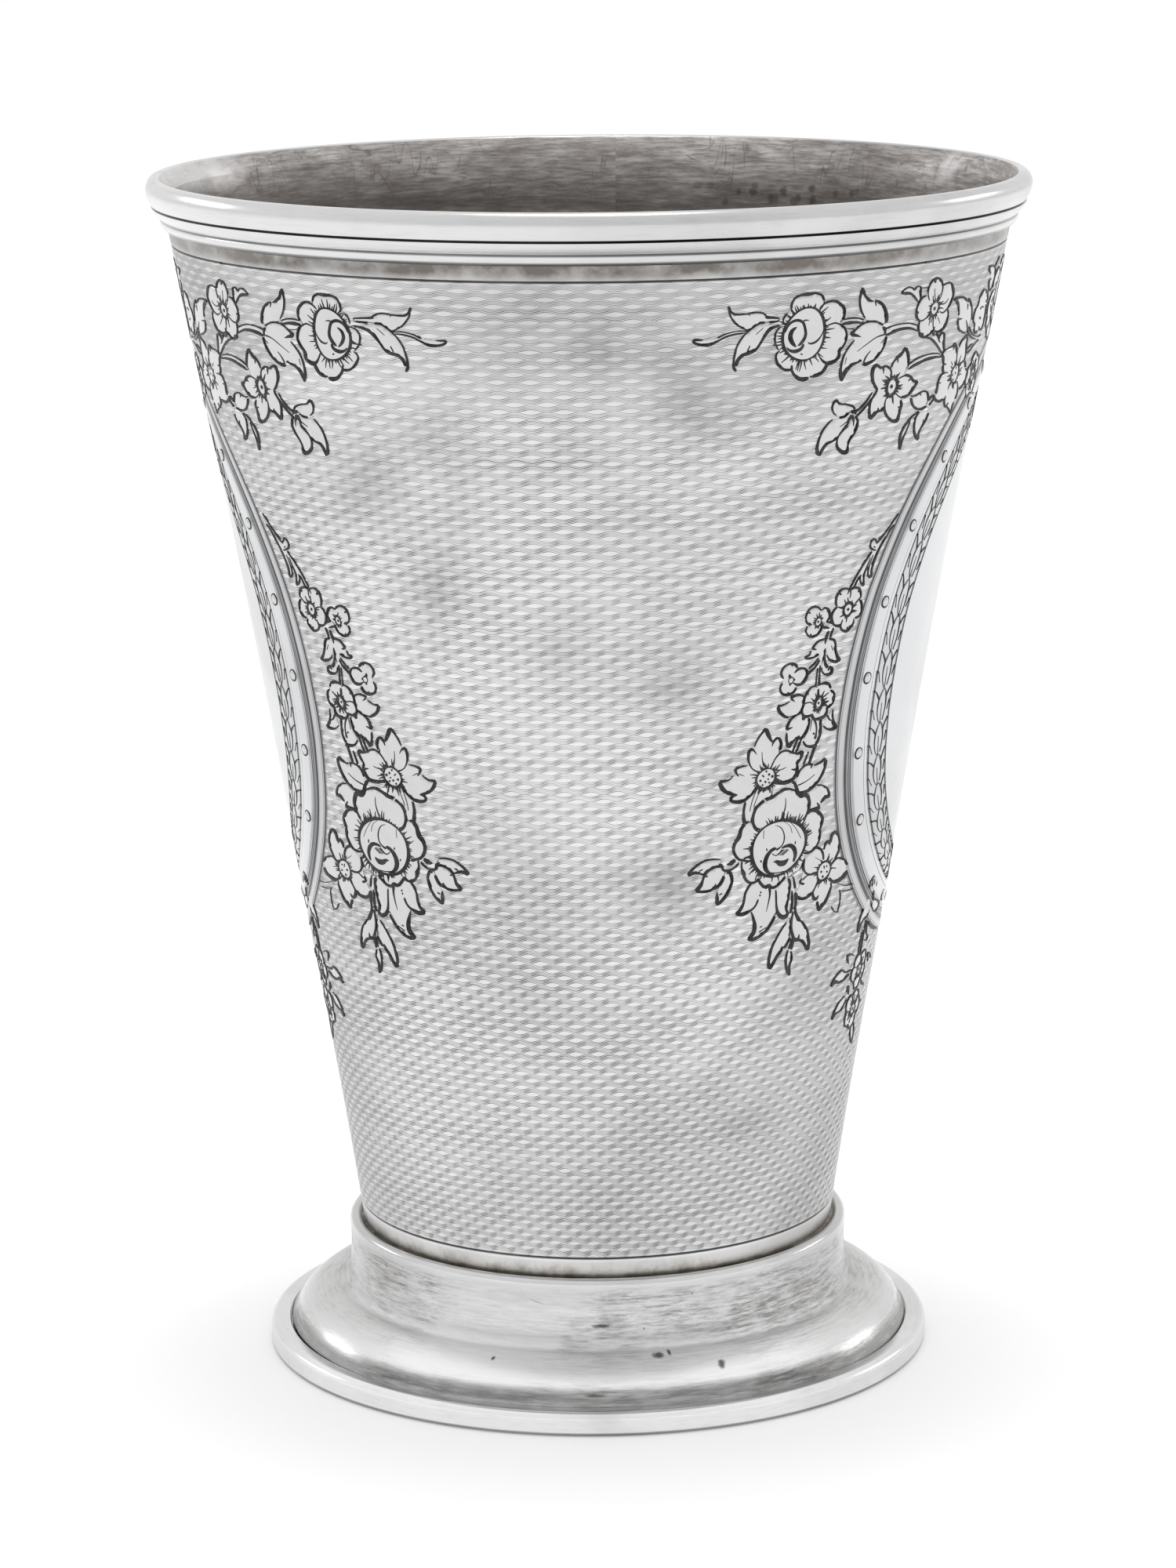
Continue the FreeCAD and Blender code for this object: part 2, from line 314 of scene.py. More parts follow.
class Net:
    def __init__(self, mat):
        self.t = mat.node_tree

    def node(self, kind, **kw):
        n = self.t.nodes.new(kind)
        for k, v in kw.items():
            setattr(n, k, v)
        return n

    def link(self, a, b):
        self.t.links.new(a, b)

    def put(self, socket, value):
        if hasattr(value, "links"):
            self.link(value, socket)
        else:
            socket.default_value = value

    def math(self, op, a, b=None, c=None, clamp=False):
        n = self.node("ShaderNodeMath", operation=op, use_clamp=clamp)
        self.put(n.inputs[0], a)
        if b is not None:
            self.put(n.inputs[1], b)
        if c is not None:
            self.put(n.inputs[2], c)
        return n.outputs[0]

    def mix(self, fac, a, b, blend="MIX"):
        n = self.node("ShaderNodeMix", data_type="RGBA", blend_type=blend, clamp_factor=True)
        self.put(n.inputs[0], fac)
        self.put(n.inputs[6], a)
        self.put(n.inputs[7], b)
        return n.outputs[2]

    def coords(self):
        tc = self.node("ShaderNodeTexCoord")
        return tc.outputs["Object"]

    def around(self, vec, kt, kr, kz):
        """Cylindrical coordinates about the beaker's axis, scaled: angle as a unit circle times kt, radius, height."""
        sep = self.node("ShaderNodeSeparateXYZ")
        self.link(vec, sep.inputs[0])
        x, y, z = sep.outputs
        r = self.math("SQRT", self.math("ADD", self.math("MULTIPLY", x, x), self.math("MULTIPLY", y, y)))
        ang = self.math("ARCTAN2", x, self.math("MULTIPLY", y, -1.0))
        com = self.node("ShaderNodeCombineXYZ")
        self.link(self.math("MULTIPLY", ang, kt), com.inputs[0])
        self.link(self.math("MULTIPLY", r, kr), com.inputs[1])
        self.link(self.math("MULTIPLY", z, kz), com.inputs[2])
        return com.outputs[0], ang, r, z

    def scale(self, vec, s):
        n = self.node("ShaderNodeVectorMath", operation="MULTIPLY")
        self.link(vec, n.inputs[0])
        n.inputs[1].default_value = s
        return n.outputs[0]

    def noise(self, vec, scale, detail=3.0, rough=0.55, distort=0.0):
        n = self.node("ShaderNodeTexNoise")
        self.link(vec, n.inputs["Vector"])
        n.inputs["Scale"].default_value = scale
        n.inputs["Detail"].default_value = detail
        n.inputs["Roughness"].default_value = rough
        n.inputs["Distortion"].default_value = distort
        return n.outputs[0]

    def ramp(self, fac, stops, ease="LINEAR"):
        n = self.node("ShaderNodeValToRGB")
        n.color_ramp.interpolation = ease
        self.link(fac, n.inputs[0])
        e = n.color_ramp.elements
        while len(e) < len(stops):
            e.new(0.5)
        for el, (p, c) in zip(e, stops):
            el.position = p
            el.color = (c, c, c, 1.0) if not hasattr(c, "__len__") else (*c, 1.0)
        return n.outputs[0]

    def attr(self, name):
        n = self.node("ShaderNodeAttribute")
        n.attribute_name = name
        return n.outputs["Fac"]

    def bump(self, height, strength, distance, normal=None):
        n = self.node("ShaderNodeBump")
        n.inputs["Strength"].default_value = strength
        n.inputs["Distance"].default_value = distance
        self.link(height, n.inputs["Height"])
        if normal is not None:
            self.link(normal, n.inputs["Normal"])
        return n.outputs[0]

    def out(self, color, rough, normal=None, metallic=1.0, aniso=0.0):
        p = self.node("ShaderNodeBsdfPrincipled")
        self.put(p.inputs["Base Color"], color)
        self.put(p.inputs["Roughness"], rough)
        p.inputs["Metallic"].default_value = metallic
        p.inputs["Anisotropic"].default_value = aniso
        if normal is not None:
            self.link(normal, p.inputs["Normal"])
        o = self.node("ShaderNodeOutputMaterial")
        self.link(p.outputs[0], o.inputs[0])
        return p


SILVER = (0.915, 0.912, 0.905)


def blotches(n, vec, spots, base_noise=0.35):
    """Sum of soft tarnish patches at given places (theta deg, z mm, size mm, strength)."""
    warp = n.noise(vec, 95.0, 4.0, 0.6)
    total = None
    for (t, z, size, strength) in spots:
        r = float(wall_r(z))
        t = math.radians(t) + SEEN
        p = (r * math.sin(t) * MM, -r * math.cos(t) * MM, z * MM)
        d = n.node("ShaderNodeVectorMath", operation="DISTANCE")
        n.link(vec, d.inputs[0])
        d.inputs[1].default_value = p
        q = n.math("DIVIDE", d.outputs["Value"], size * MM)
        q = n.math("ADD", q, n.math("MULTIPLY", n.math("SUBTRACT", warp, 0.5), 1.1))
        q = n.math("SUBTRACT", 1.0, q, clamp=True)
        q = n.math("MULTIPLY", n.math("MULTIPLY", q, q), strength)
        total = q if total is None else n.math("ADD", total, q)
    return total


def nicks(n, ang, rad, z, marks, rough_edge):
    """Small dents and pits: (theta deg, z mm, half width mm, half height mm, slant, strength)."""
    total = None
    for (t, zc, w, h, slant, strength) in marks:
        du = n.math("MULTIPLY", n.math("SUBTRACT", ang, math.radians(t) + SEEN), rad)
        dz = n.math("SUBTRACT", z, zc * MM)
        dz = n.math("SUBTRACT", dz, n.math("MULTIPLY", du, slant))
        a = n.math("DIVIDE", du, w * MM)
        b = n.math("DIVIDE", dz, h * MM)
        q = n.math("SQRT", n.math("ADD", n.math("MULTIPLY", a, a), n.math("MULTIPLY", b, b)))
        q = n.math("ADD", q, n.math("MULTIPLY", n.math("SUBTRACT", rough_edge, 0.5), 0.9))
        k = n.math("MULTIPLY", n.ramp(q, [(0.45, 1.0), (1.0, 0.0)]), strength)
        total = k if total is None else n.math("MAXIMUM", total, k)
    return total


def make_body_mat(name, smooth):
    """Polished and engine-turned silver of the wall. The attribute cut is 1 at the bottom of a cut; on the turned wall
    it also carries painted shade along the climbing stretches of the lines.
    """
    m = new_mat(name)
    n = Net(m)
    vec = n.coords()
    cyl, ang, rad, z = n.around(vec, 0.033, 0.2, 1.0)
    cloud = n.noise(vec, 38.0, 4.0, 0.62, 0.4)
    cloud2 = n.noise(vec, 120.0, 3.0, 0.6, 0.2)
    dark = n.ramp(cloud, [(0.42, 0.0), (0.72, 1.0)], "EASE")
    spots = blotches(n, vec, [(15.0, 100.0, 9.0, 0.60), (12.0, 74.5, 9.0, 0.50), (13.0, 54.5, 8.5, 0.70), (-34.0, 94.0, 12.0, 0.55),
                              (-24.7, 83.5, 10.0, 0.45), (2.0, 107.0, 13.0, 0.52), (-16.0, 111.0, 10.0, 0.15), (27.0, 104.0, 13.0, 0.45),
                              (22.0, 66.0, 9.0, 0.30), (-38.0, 70.0, 9.0, 0.2), (30.0, 28.0, 12.0, 0.45), (-5.0, 78.0, 8.0, 0.35),
                              (-22.0, 101.0, 12.0, 0.27), (-20.0, 24.0, 10.0, 0.15),
                              (45.0, 43.0, 13.0, 0.35), (40.0, 72.0, 9.0, 0.25),
                              (160.0, 84.0, 18.0, 0.6), (200.0, 60.0, 16.0, 0.5),
                              (180.0, 100.0, 14.0, 0.4), (215.0, 92.0, 12.0, 0.4), (150.0, 40.0, 12.0, 0.4)])
    upper = n.ramp(n.math("MULTIPLY", n.math("SUBTRACT", z, 0.098), 60.0), [(0.0, 0.0), (1.0, 0.22)], "EASE")
    spots = n.math("ADD", spots, upper)
    haze = n.math("ADD", n.math("MULTIPLY", dark, 0.30), spots, clamp=True)
    haze = n.math("MULTIPLY", haze, n.math("ADD", 0.72, n.math("MULTIPLY", cloud2, 0.56)), clamp=True)
    clean = n.mix(haze, SILVER_FIELD if smooth else SILVER_TURNED, TARNISH)
    # brown band under the lip: old polish, darkest just below the lip, where the darkening is also painted shade of its
    # overhang; the band above the foot is set up here too
    top = n.ramp(n.math("MULTIPLY", n.math("SUBTRACT", z, 0.1130), 520.0), [(0.10, 0.25), (0.75, 1.0)], "EASE")
    top = n.math("MULTIPLY", top, n.math("GREATER_THAN", z, 0.11345))
    low = n.ramp(n.math("MULTIPLY", n.math("SUBTRACT", 0.0152, z), 480.0), [(0.0, 0.0), (1.0, 1.0)], "EASE")
    grime = n.noise(cyl, 260.0, 4.0, 0.65)
    # painted shade under the lip, mixed with streaky old polish
    lip_shade_and_grime = n.math("MULTIPLY", top, n.math("ADD", -0.19, n.math("MULTIPLY", grime, 2.05)), clamp=True)
    clean = n.mix(n.math("MULTIPLY", lip_shade_and_grime, 0.93), clean, (0.13, 0.115, 0.10, 1.0))
    # yellowish strip over the collar with streaky dark stains, and painted shade in the crevice just above the collar,
    # where the wall goes down behind it
    clean = n.mix(n.math("MULTIPLY", low, 0.55), clean, (0.62, 0.585, 0.52, 1.0))
    strip = n.math("MULTIPLY", low, n.ramp(grime, [(0.47, 0.0), (0.66, 0.8)]))
    clean = n.mix(strip, clean, (0.27, 0.235, 0.19, 1.0))
    # painted shade: a ragged dark line in the crevice over the collar
    rag = n.math("MULTIPLY", n.math("SUBTRACT", n.noise(cyl, 420.0, 3.0, 0.6), 0.5), 0.0006)
    gap = n.ramp(n.math("MULTIPLY", n.math("SUBTRACT", n.math("ADD", rag, 0.01355), z), 2200.0), [(0.0, 0.0), (0.8, 1.0)])
    clean = n.mix(n.math("MULTIPLY", gap, 0.8), clean, (0.075, 0.066, 0.055, 1.0))
    # painted shade: the sides of the turned wall, away from the front, are darkened
    side = n.ramp(n.math("ABSOLUTE", n.math("SINE", ang)), [(0.55, 0.0), (0.98, 1.0)], "EASE")
    if not smooth:
        side = n.math("MULTIPLY", side, n.ramp(n.math("MULTIPLY", z, 10.0), [(0.40, 0.48), (0.80, 0.42)]))
        clean = n.mix(side, clean, (0.38, 0.375, 0.37, 1.0))
    cut = n.attr("cut")
    worn = n.noise(cyl, 210.0, 2.0, 0.5)
    wide = n.noise(vec, 46.0, 3.0, 0.6, 0.3)
    if smooth:
        keep = n.math("ADD", 0.75, n.math("ADD", n.math("MULTIPLY", worn, 0.30), n.math("MULTIPLY", wide, 0.30)))
    else:
        keep = n.math("ADD", 0.35, n.math("ADD", n.math("MULTIPLY", worn, 0.45), n.math("MULTIPLY", wide, 0.85)))
    depth = n.math("MULTIPLY", n.ramp(cut, [(0.08, 0.0), (0.80, 1.0)]), keep, clamp=True)
    color = n.mix(n.math("MULTIPLY", depth, 0.93 if smooth else CUT_DARK), clean, (0.055, 0.055, 0.058, 1.0))
    fine = n.noise(n.scale(cyl, (1.0, 1.0, 6.0)), 1900.0, 2.0, 0.5)
    scratch = n.noise(n.scale(vec, (1.0, 1.0, 0.22)), 900.0, 2.0, 0.6)
    rough = n.math("ADD", 0.235 if smooth else 0.30, n.math("MULTIPLY", haze, 0.22))
    rough = n.math("ADD", rough, n.math("MULTIPLY", cut, 0.12), clamp=True)
    bump = n.bump(fine, 0.10, 0.00003)
    bump = n.bump(scratch, 0.06, 0.00003, bump)
    n.out(color, rough, bump)
    return m


SILVER_TURNED = (0.745, 0.745, 0.745, 1.0)
SILVER_FIELD = (0.62, 0.625, 0.635, 1.0)
TARNISH = (0.40, 0.395, 0.395, 1.0)
CUT_DARK = 0.97

mat_turned = make_body_mat("silver_engine_turned", False)
mat_field = make_body_mat("silver_engraver_field", True)


def make_oxide():
    m = new_mat("silver_oxide_in_cuts")
    n = Net(m)
    vec = n.coords()
    a = n.noise(vec, 700.0, 3.0, 0.6)
    b = n.noise(vec, 4200.0, 2.0, 0.5)
    c = n.ramp(a, [(0.3, (0.016, 0.016, 0.017)), (0.75, (0.060, 0.059, 0.057))])
    c = n.mix(n.ramp(b, [(0.60, 0.0), (0.78, 0.35)]), c, (0.30, 0.298, 0.29, 1.0))
    n.out(c, n.math("ADD", 0.36, n.math("MULTIPLY", b, 0.2)), n.bump(b, 0.35, 0.00004), metallic=0.85)
    return m


mat_oxide = make_oxide()


def make_petal():
    """Burnished petals and leaves: brighter than the turned ground, with fine tool shading."""
    m = new_mat("silver_burnished_petal")
    n = Net(m)
    vec = n.coords()
    cyl, ang, rad, z = n.around(vec, 0.033, 0.2, 1.0)
    a = n.noise(vec, 520.0, 3.0, 0.6, 0.4)
    b = n.noise(n.scale(cyl, (1.0, 1.0, 3.0)), 2600.0, 2.0, 0.5)
    film = n.math("MULTIPLY", n.ramp(a, [(0.45, 0.0), (0.75, 1.0)], "EASE"), 0.30)
    c = n.mix(film, PETAL, (0.52, 0.515, 0.51, 1.0))
    r = n.math("ADD", 0.24, n.math("MULTIPLY", film, 0.25))
    n.out(c, r, n.bump(b, 0.14, 0.00003, n.bump(a, 0.10, 0.00008)))
    return m


PETAL = (0.585, 0.585, 0.585, 1.0)
mat_petal = make_petal()


def inside_look(n, vec, cyl, ang, rad, z, floor=False):
    """Satin inside of the cup: grey-brown film, random scratches, dark spots below the far lip."""
    cloud = n.noise(vec, 60.0, 5.0, 0.66, 0.6)
    band = n.noise(n.scale(cyl, (0.7, 4.0, 4.0)), 330.0, 5.0, 0.66)
    fine = n.noise(n.scale(cyl, (1.0, 10.0, 10.0)), 1600.0, 3.0, 0.6)
    film = n.math("ADD", n.math("MULTIPLY", n.ramp(cloud, [(0.32, 0.0), (0.68, 1.0)]), 0.55),
                  n.math("MULTIPLY", n.ramp(band, [(0.36, 0.0), (0.66, 1.0)]), 0.60), clamp=True)
    c = n.mix(film, (0.65, 0.632, 0.62, 1.0), (0.26, 0.238, 0.223, 1.0))
    brush = n.noise(n.scale(cyl, (0.55, 3.4, 3.4)), 1000.0, 4.0, 0.62)
    hair = n.ramp(brush, [(0.42, 0.0), (0.62, 1.0)])
    c = n.mix(n.math("MULTIPLY", hair, 0.55), c, (0.12, 0.11, 0.102, 1.0))
    stain = n.ramp(n.noise(vec, 150.0, 5.0, 0.68, 0.5), [(0.42, 0.0), (0.64, 1.0)])
    c = n.mix(n.math("MULTIPLY", stain, 0.30), c, (0.20, 0.165, 0.150, 1.0))
    # painted shade: darker deeper down inside the cup, broken up by the streaky film
    deep = n.ramp(n.math("MULTIPLY", n.math("SUBTRACT", 0.1195, z), 62.0), [(0.0, 0.0), (0.12, 0.06), (0.36, 1.0)])
    deep = n.math("MULTIPLY", deep, n.math("ADD", 0.55, n.math("MULTIPLY", band, 0.62)))
    c = n.mix(n.math("MULTIPLY", deep, 0.92), c, (0.085, 0.076, 0.068, 1.0))
    # further down the cup is wiped brighter again
    low = n.ramp(n.math("MULTIPLY", z, 8.0), [(0.78, 0.90), (0.87, 0.0)])
    c = n.mix(n.math("MULTIPLY", low, n.math("SUBTRACT", 1.0, n.math("MULTIPLY", band, 0.30))), c, (0.78, 0.765, 0.75, 1.0))
    if not floor:
        soft_edge = n.noise(vec, 260.0, 3.0, 0.6)
        dull = nicks(n, ang, rad, z, [(-132.0, 115.5, 15.0, 4.2, 0.0, 0.55), (-95.0, 115.5, 12.0, 4.0, 0.0, 0.5)], soft_edge)
        c = n.mix(dull, c, (0.10, 0.088, 0.080, 1.0))
        # painted highlight: two light patches just under the rim, standing in for reflections
        painted_glare = nicks(n, ang, rad, z, [(-101.0, 119.2, 19.0, 3.1, 0.0, 0.72), (117.0, 118.3, 2.6, 1.9, -0.4, 0.5)], soft_edge)
        c = n.mix(painted_glare, c, (0.78, 0.77, 0.765, 1.0))
    # fine straight scratches: three crossing stretched noises, thresholded to hair lines
    marks = None
    for ax, (sx, sy, sz) in enumerate(((1.0, 1.0, 0.05), (0.06, 0.5, 1.1), (0.8, 0.4, 0.12))):
        k = n.noise(n.scale(vec, (sx, sy, sz)), 520.0 + 90.0 * ax, 1.0, 0.4)
        line = n.ramp(n.math("ABSOLUTE", n.math("SUBTRACT", k, 0.5)), [(0.0, 1.0), (0.012, 0.0)])
        pick = n.ramp(n.noise(vec, 130.0 + 37.0 * ax, 2.0, 0.5), [(0.54, 0.0), (0.60, 1.0)])
        line = n.math("MULTIPLY", line, pick)
        marks = line if marks is None else n.math("MAXIMUM", marks, line)
    c = n.mix(n.math("MULTIPLY", marks, 0.60), c, (0.10, 0.092, 0.085, 1.0))
    if not floor:
        rng = np.random.default_rng(19)
        spots = [(t + 1.2 * rng.normal(), 114.3 + 0.5 * rng.normal(), 0.40 + 0.25 * rng.uniform(), 0.42 + 0.25 * rng.uniform(), 0.0,
                  0.50 + 0.45 * rng.uniform()) for t in np.linspace(137.0, 163.0, 13)]
        spots += [(t, zc, 0.55, 0.62, 0.0, 0.95) for t, zc in ((151.5, 113.6), (149.6, 114.5), (147.0, 113.8), (154.6, 114.3))]
        rough_edge = n.noise(vec, 1500.0, 2.0, 0.5)
        pits = nicks(n, ang, rad, z, spots, rough_edge)
        c = n.mix(n.math("MULTIPLY", pits, 0.75), c, (0.055, 0.050, 0.046, 1.0))
    return c, film, fine, band


def make_polished(name, base, rough, streak, tint=(0.40, 0.39, 0.38, 1.0), oxide_and_shade_bands=(), inner=0.0, side_shade=0.0, one_side_shade=0.0):
    """dark bands as (height mm, half width mm, darkness): old oxide kept in hollows, and painted shade where a band is
    given in a corner or at the base on the table.
    inner: radius mm inside which the metal has the film of the cup's inside."""
    m = new_mat(name)
    n = Net(m)
    vec = n.coords()
    cyl, ang, rad, z = n.around(vec, 0.038, 1.0, 1.0)
    long = n.noise(n.scale(cyl, (0.9, 9.0, 9.0)), 420.0, 4.0, 0.6)
    cloud = n.noise(vec, 55.0, 4.0, 0.6, 0.3)
    fine = n.noise(n.scale(cyl, (1.0, 14.0, 14.0)), 1500.0, 3.0, 0.6)
    film = n.math("MULTIPLY", n.ramp(cloud, [(0.42, 0.0), (0.78, 1.0)], "EASE"), 0.35)
    film = n.math("ADD", film, n.math("MULTIPLY", n.ramp(long, [(0.5, 0.0), (0.8, 1.0)]), streak), clamp=True)
    c = n.mix(film, base, tint)
    across = n.math("SINE", n.math("SUBTRACT", ang, SEEN))
    # painted shade: darker towards both sides, away from the front
    if side_shade:
        c = n.mix(n.ramp(n.math("ABSOLUTE", across), [(0.78, 0.0), (0.98, side_shade)], "EASE"), c, tint)
    # painted shade: darker on the right-hand side
    if one_side_shade:
        c = n.mix(n.ramp(n.math("ADD", 0.5, n.math("MULTIPLY", across, 0.5)), [(0.28, 0.0), (0.62, one_side_shade)], "EASE"), c, tint)
    # dark bands: old oxide in hollows, and painted shade in corners and at the base
    for (zg, half, dark) in oxide_and_shade_bands:
        k = n.math("DIVIDE", n.math("ABSOLUTE", n.math("SUBTRACT", z, zg * MM)), half * MM)
        k = n.math("MULTIPLY", n.ramp(k, [(0.35, 1.0), (1.0, 0.0)], "EASE"), n.math("ADD", 0.7, n.math("MULTIPLY", cloud, 0.5)), clamp=True)
        c = n.mix(n.math("MULTIPLY", k, dark), c, (0.045, 0.044, 0.043, 1.0))
    if inner:
        k = n.ramp(n.math("MULTIPLY", n.math("SUBTRACT", inner * MM + 0.0001, rad), 5000.0), [(0.0, 0.0), (0.7, 1.0)], "EASE")
        k = n.math("MULTIPLY", k, n.math("GREATER_THAN", z, 0.1176))
        ci, fi, _, _ = inside_look(n, vec, n.around(vec, 0.036, 1.0, 1.0)[0], ang, rad, z)
        c = n.mix(k, c, ci)
        film = n.math("ADD", film, n.math("MULTIPLY", k, n.math("ADD", 0.5, fi)))
    r = n.math("ADD", rough, n.math("MULTIPLY", film, 0.18))
    r = n.math("ADD", r, n.math("MULTIPLY", fine, 0.05))
    n.out(c, r, n.bump(fine, 0.12, 0.00003, n.bump(long, 0.10, 0.00006)))
    return m


# lip: oxide in the two cut lines at 117.31 and 116.02 mm; the band at 115.06 mm, where the lip meets the wall, is
# painted shade under the lip as well as oxide in the joint; the right side is darkened as painted shade
mat_lip = make_polished("silver_lip", (0.68, 0.68, 0.685, 1.0), 0.17, 0.22,
                        oxide_and_shade_bands=((117.31, 0.18, 0.97), (116.02, 0.17, 0.9), (115.06, 0.36, 0.85), (116.50, 0.34, 0.05)), inner=42.44, one_side_shade=0.16)
# foot wire: the dark band at its foot is a painted contact shadow where it stands on the table; both sides are darkened
# as painted shade
mat_rim = make_polished("silver_foot_wire", (0.88, 0.88, 0.885, 1.0), 0.15, 0.22, oxide_and_shade_bands=((0.08, 0.30, 0.75),), side_shade=0.34)


def make_foot():
    """Spun silver brushed round the axis, dark old tarnish and painted shade in the corners where the bell meets the
    foot wire and the waist.
    """
    m = new_mat("silver_foot_brushed")
    n = Net(m)
    vec = n.coords()
    cyl, ang, rad, z = n.around(vec, 0.030, 1.0, 1.0)
    long = n.noise(n.scale(cyl, (1.0, 12.0, 12.0)), 300.0, 5.0, 0.65)
    long2 = n.noise(n.scale(cyl, (0.5, 5.0, 5.0)), 240.0, 4.0, 0.6)
    fine = n.noise(n.scale(cyl, (1.0, 18.0, 18.0)), 1300.0, 3.0, 0.6)
    cloud = n.noise(vec, 70.0, 4.0, 0.6, 0.4)
    streak = n.ramp(long, [(0.42, 0.0), (0.64, 1.0)])
    wisp = n.ramp(n.noise(n.scale(cyl, (0.55, 4.0, 4.0)), 800.0, 4.0, 0.62), [(0.44, 0.0), (0.62, 1.0)])
    # old tarnish and painted shade by height above the table: in the cove just over the foot wire, and in the corner
    # over the bell
    cove = n.ramp(n.math("MULTIPLY", z, 1000.0 / 8.0), [(0.26, 0.22), (0.30, 0.62), (0.37, 0.88), (0.425, 0.50), (0.475, 0.06), (0.50, 0.0)], "LINEAR")
    corner = n.ramp(n.math("MULTIPLY", z, 1000.0 / 14.0), [(0.42, 0.0), (0.465, 0.20), (0.54, 0.13), (0.70, 0.0)])
    crown_rub_and_sheen = n.ramp(n.math("MULTIPLY", z, 1000.0 / 8.0), [(0.44, 0.0), (0.50, 1.0), (0.76, 1.0), (0.84, 0.45), (0.92, 0.0)])
    corner_shade_and_dirt = n.math("MULTIPLY", n.math("MAXIMUM", cove, corner), n.math("ADD", 0.25, n.math("MULTIPLY", long2, 1.3)), clamp=True)
    fine_streak = n.ramp(fine, [(0.45, 0.0), (0.68, 1.0)])
    patch = n.ramp(cloud, [(0.38, 0.0), (0.66, 1.0)], "EASE")
    haze = n.math("ADD", n.math("MULTIPLY", n.math("MULTIPLY", streak, 0.52), n.math("ADD", 0.30, patch)),
                  n.math("MULTIPLY", n.math("MULTIPLY", n.math("ADD", wisp, fine_streak), 0.34), n.math("ADD", 0.25, patch)), clamp=True)
    # the top of the collar and the top of the bell are rubbed bright, and lightened further as painted highlight where
    # the lamps' highlights fall on them
    rub_and_sheen = n.math("MAXIMUM", n.ramp(n.math("MULTIPLY", n.math("SUBTRACT", z, 0.0117), 900.0), [(0.0, 0.0), (0.6, 0.8)]),
                 n.ramp(n.math("ABSOLUTE", n.math("MULTIPLY", n.math("SUBTRACT", z, 0.00465), 900.0)), [(0.0, 0.75), (0.9, 0.0)]))
    haze = n.math("MULTIPLY", haze, n.math("SUBTRACT", 1.0, rub_and_sheen))
    haze = n.math("MULTIPLY", haze, n.math("SUBTRACT", 1.0, n.math("MULTIPLY", crown_rub_and_sheen, 0.58)))
    # painted highlight: the top of the bell is given a much lighter metal colour
    c = n.mix(crown_rub_and_sheen, (0.69, 0.69, 0.695, 1.0), (0.95, 0.95, 0.95, 1.0))
    c = n.mix(haze, c, (0.25, 0.242, 0.235, 1.0))
    c = n.mix(n.math("MULTIPLY", corner_shade_and_dirt, 0.70), c, (0.13, 0.125, 0.12, 1.0))
    # blacker streaks in the cove to both sides of the middle
    aside = n.ramp(n.math("ABSOLUTE", n.math("SINE", n.math("SUBTRACT", ang, SEEN))), [(0.04, 0.0), (0.24, 1.0), (0.62, 1.0), (0.92, 0.3)])
    black = n.math("MULTIPLY", n.math("MULTIPLY", cove, aside), n.math("ADD", 0.16, n.math("MULTIPLY", n.math("MAXIMUM", wisp, streak), 0.40)))
    c = n.mix(black, c, (0.06, 0.057, 0.054, 1.0))
    # painted shade: the two sides are darkened against the front
    flank = n.ramp(n.math("ABSOLUTE", n.math("SINE", n.math("SUBTRACT", ang, SEEN))), [(0.60, 0.0), (0.82, 0.34), (0.98, 0.46)], "EASE")
    c = n.mix(flank, c, (0.34, 0.335, 0.33, 1.0))
    edge_noise = n.noise(vec, 2400.0, 2.0, 0.5)
    pits = nicks(n, ang, rad, z, [(0.6, 8.51, 1.20, 0.25, 0.0, 1.0), (10.2, 8.10, 0.10, 0.12, 0.0, 0.9), (24.2, 5.00, 0.50, 0.36, 0.2, 1.0),
                                  (-13.8, 10.8, 0.9, 0.14, -0.3, 0.35), (-21.4, 5.62, 0.25, 0.17, 0.0, 1.0), (-57.0, 11.24, 0.25, 0.22, 0.0, 0.7),
                                  (-0.6, 3.25, 1.3, 0.20, 0.0, 0.8), (12.4, 5.95, 0.75, 0.18, 0.0, 1.0), (14.8, 6.02, 0.22, 0.18, 0.0, 1.0),
                                  (21.5, 11.2, 0.10, 0.13, 0.0, 0.9), (140.0, 8.8, 0.5, 0.13, 0.1, 0.6), (205.0 - 360.0, 6.6, 0.3, 0.15, 0.0, 0.7),
                                  (100.0, 4.2, 0.3, 0.12, 0.0, 0.6)], edge_noise)
    c = n.mix(n.math("MULTIPLY", pits, 0.85), c, (0.05, 0.048, 0.046, 1.0))
    r = n.math("ADD", 0.11, n.math("MULTIPLY", haze, 0.22))
    r = n.math("ADD", r, n.math("MULTIPLY", corner_shade_and_dirt, 0.2))
    satin = n.ramp(n.math("MULTIPLY", z, 1000.0 / 8.0), [(0.47, 0.0), (0.53, 0.13), (0.60, 0.20), (0.68, 0.30), (0.80, 0.32), (0.92, 0.05)])
    r = n.math("ADD", r, satin)
    n.out(c, r, n.bump(pits, -0.5, 0.0001, n.bump(fine, 0.16, 0.00004, n.bump(long, 0.12, 0.00006))))
    return m


mat_foot = make_foot()


def make_inside(name, floor=False):
    m = new_mat(name)
    n = Net(m)
    vec = n.coords()
    cyl, ang, rad, z = n.around(vec, 0.036, 1.0, 1.0)
    c, film, fine, band = inside_look(n, vec, cyl, ang, rad, z, floor)
    r = n.math("ADD", 0.27, n.math("MULTIPLY", film, 0.16))
    n.out(c, r, n.bump(fine, 0.22, 0.00004, n.bump(band, 0.15, 0.00006)))
    return m


mat_inside = make_inside("silver_cup_inside")
mat_bottom = make_inside("silver_cup_bottom", True)


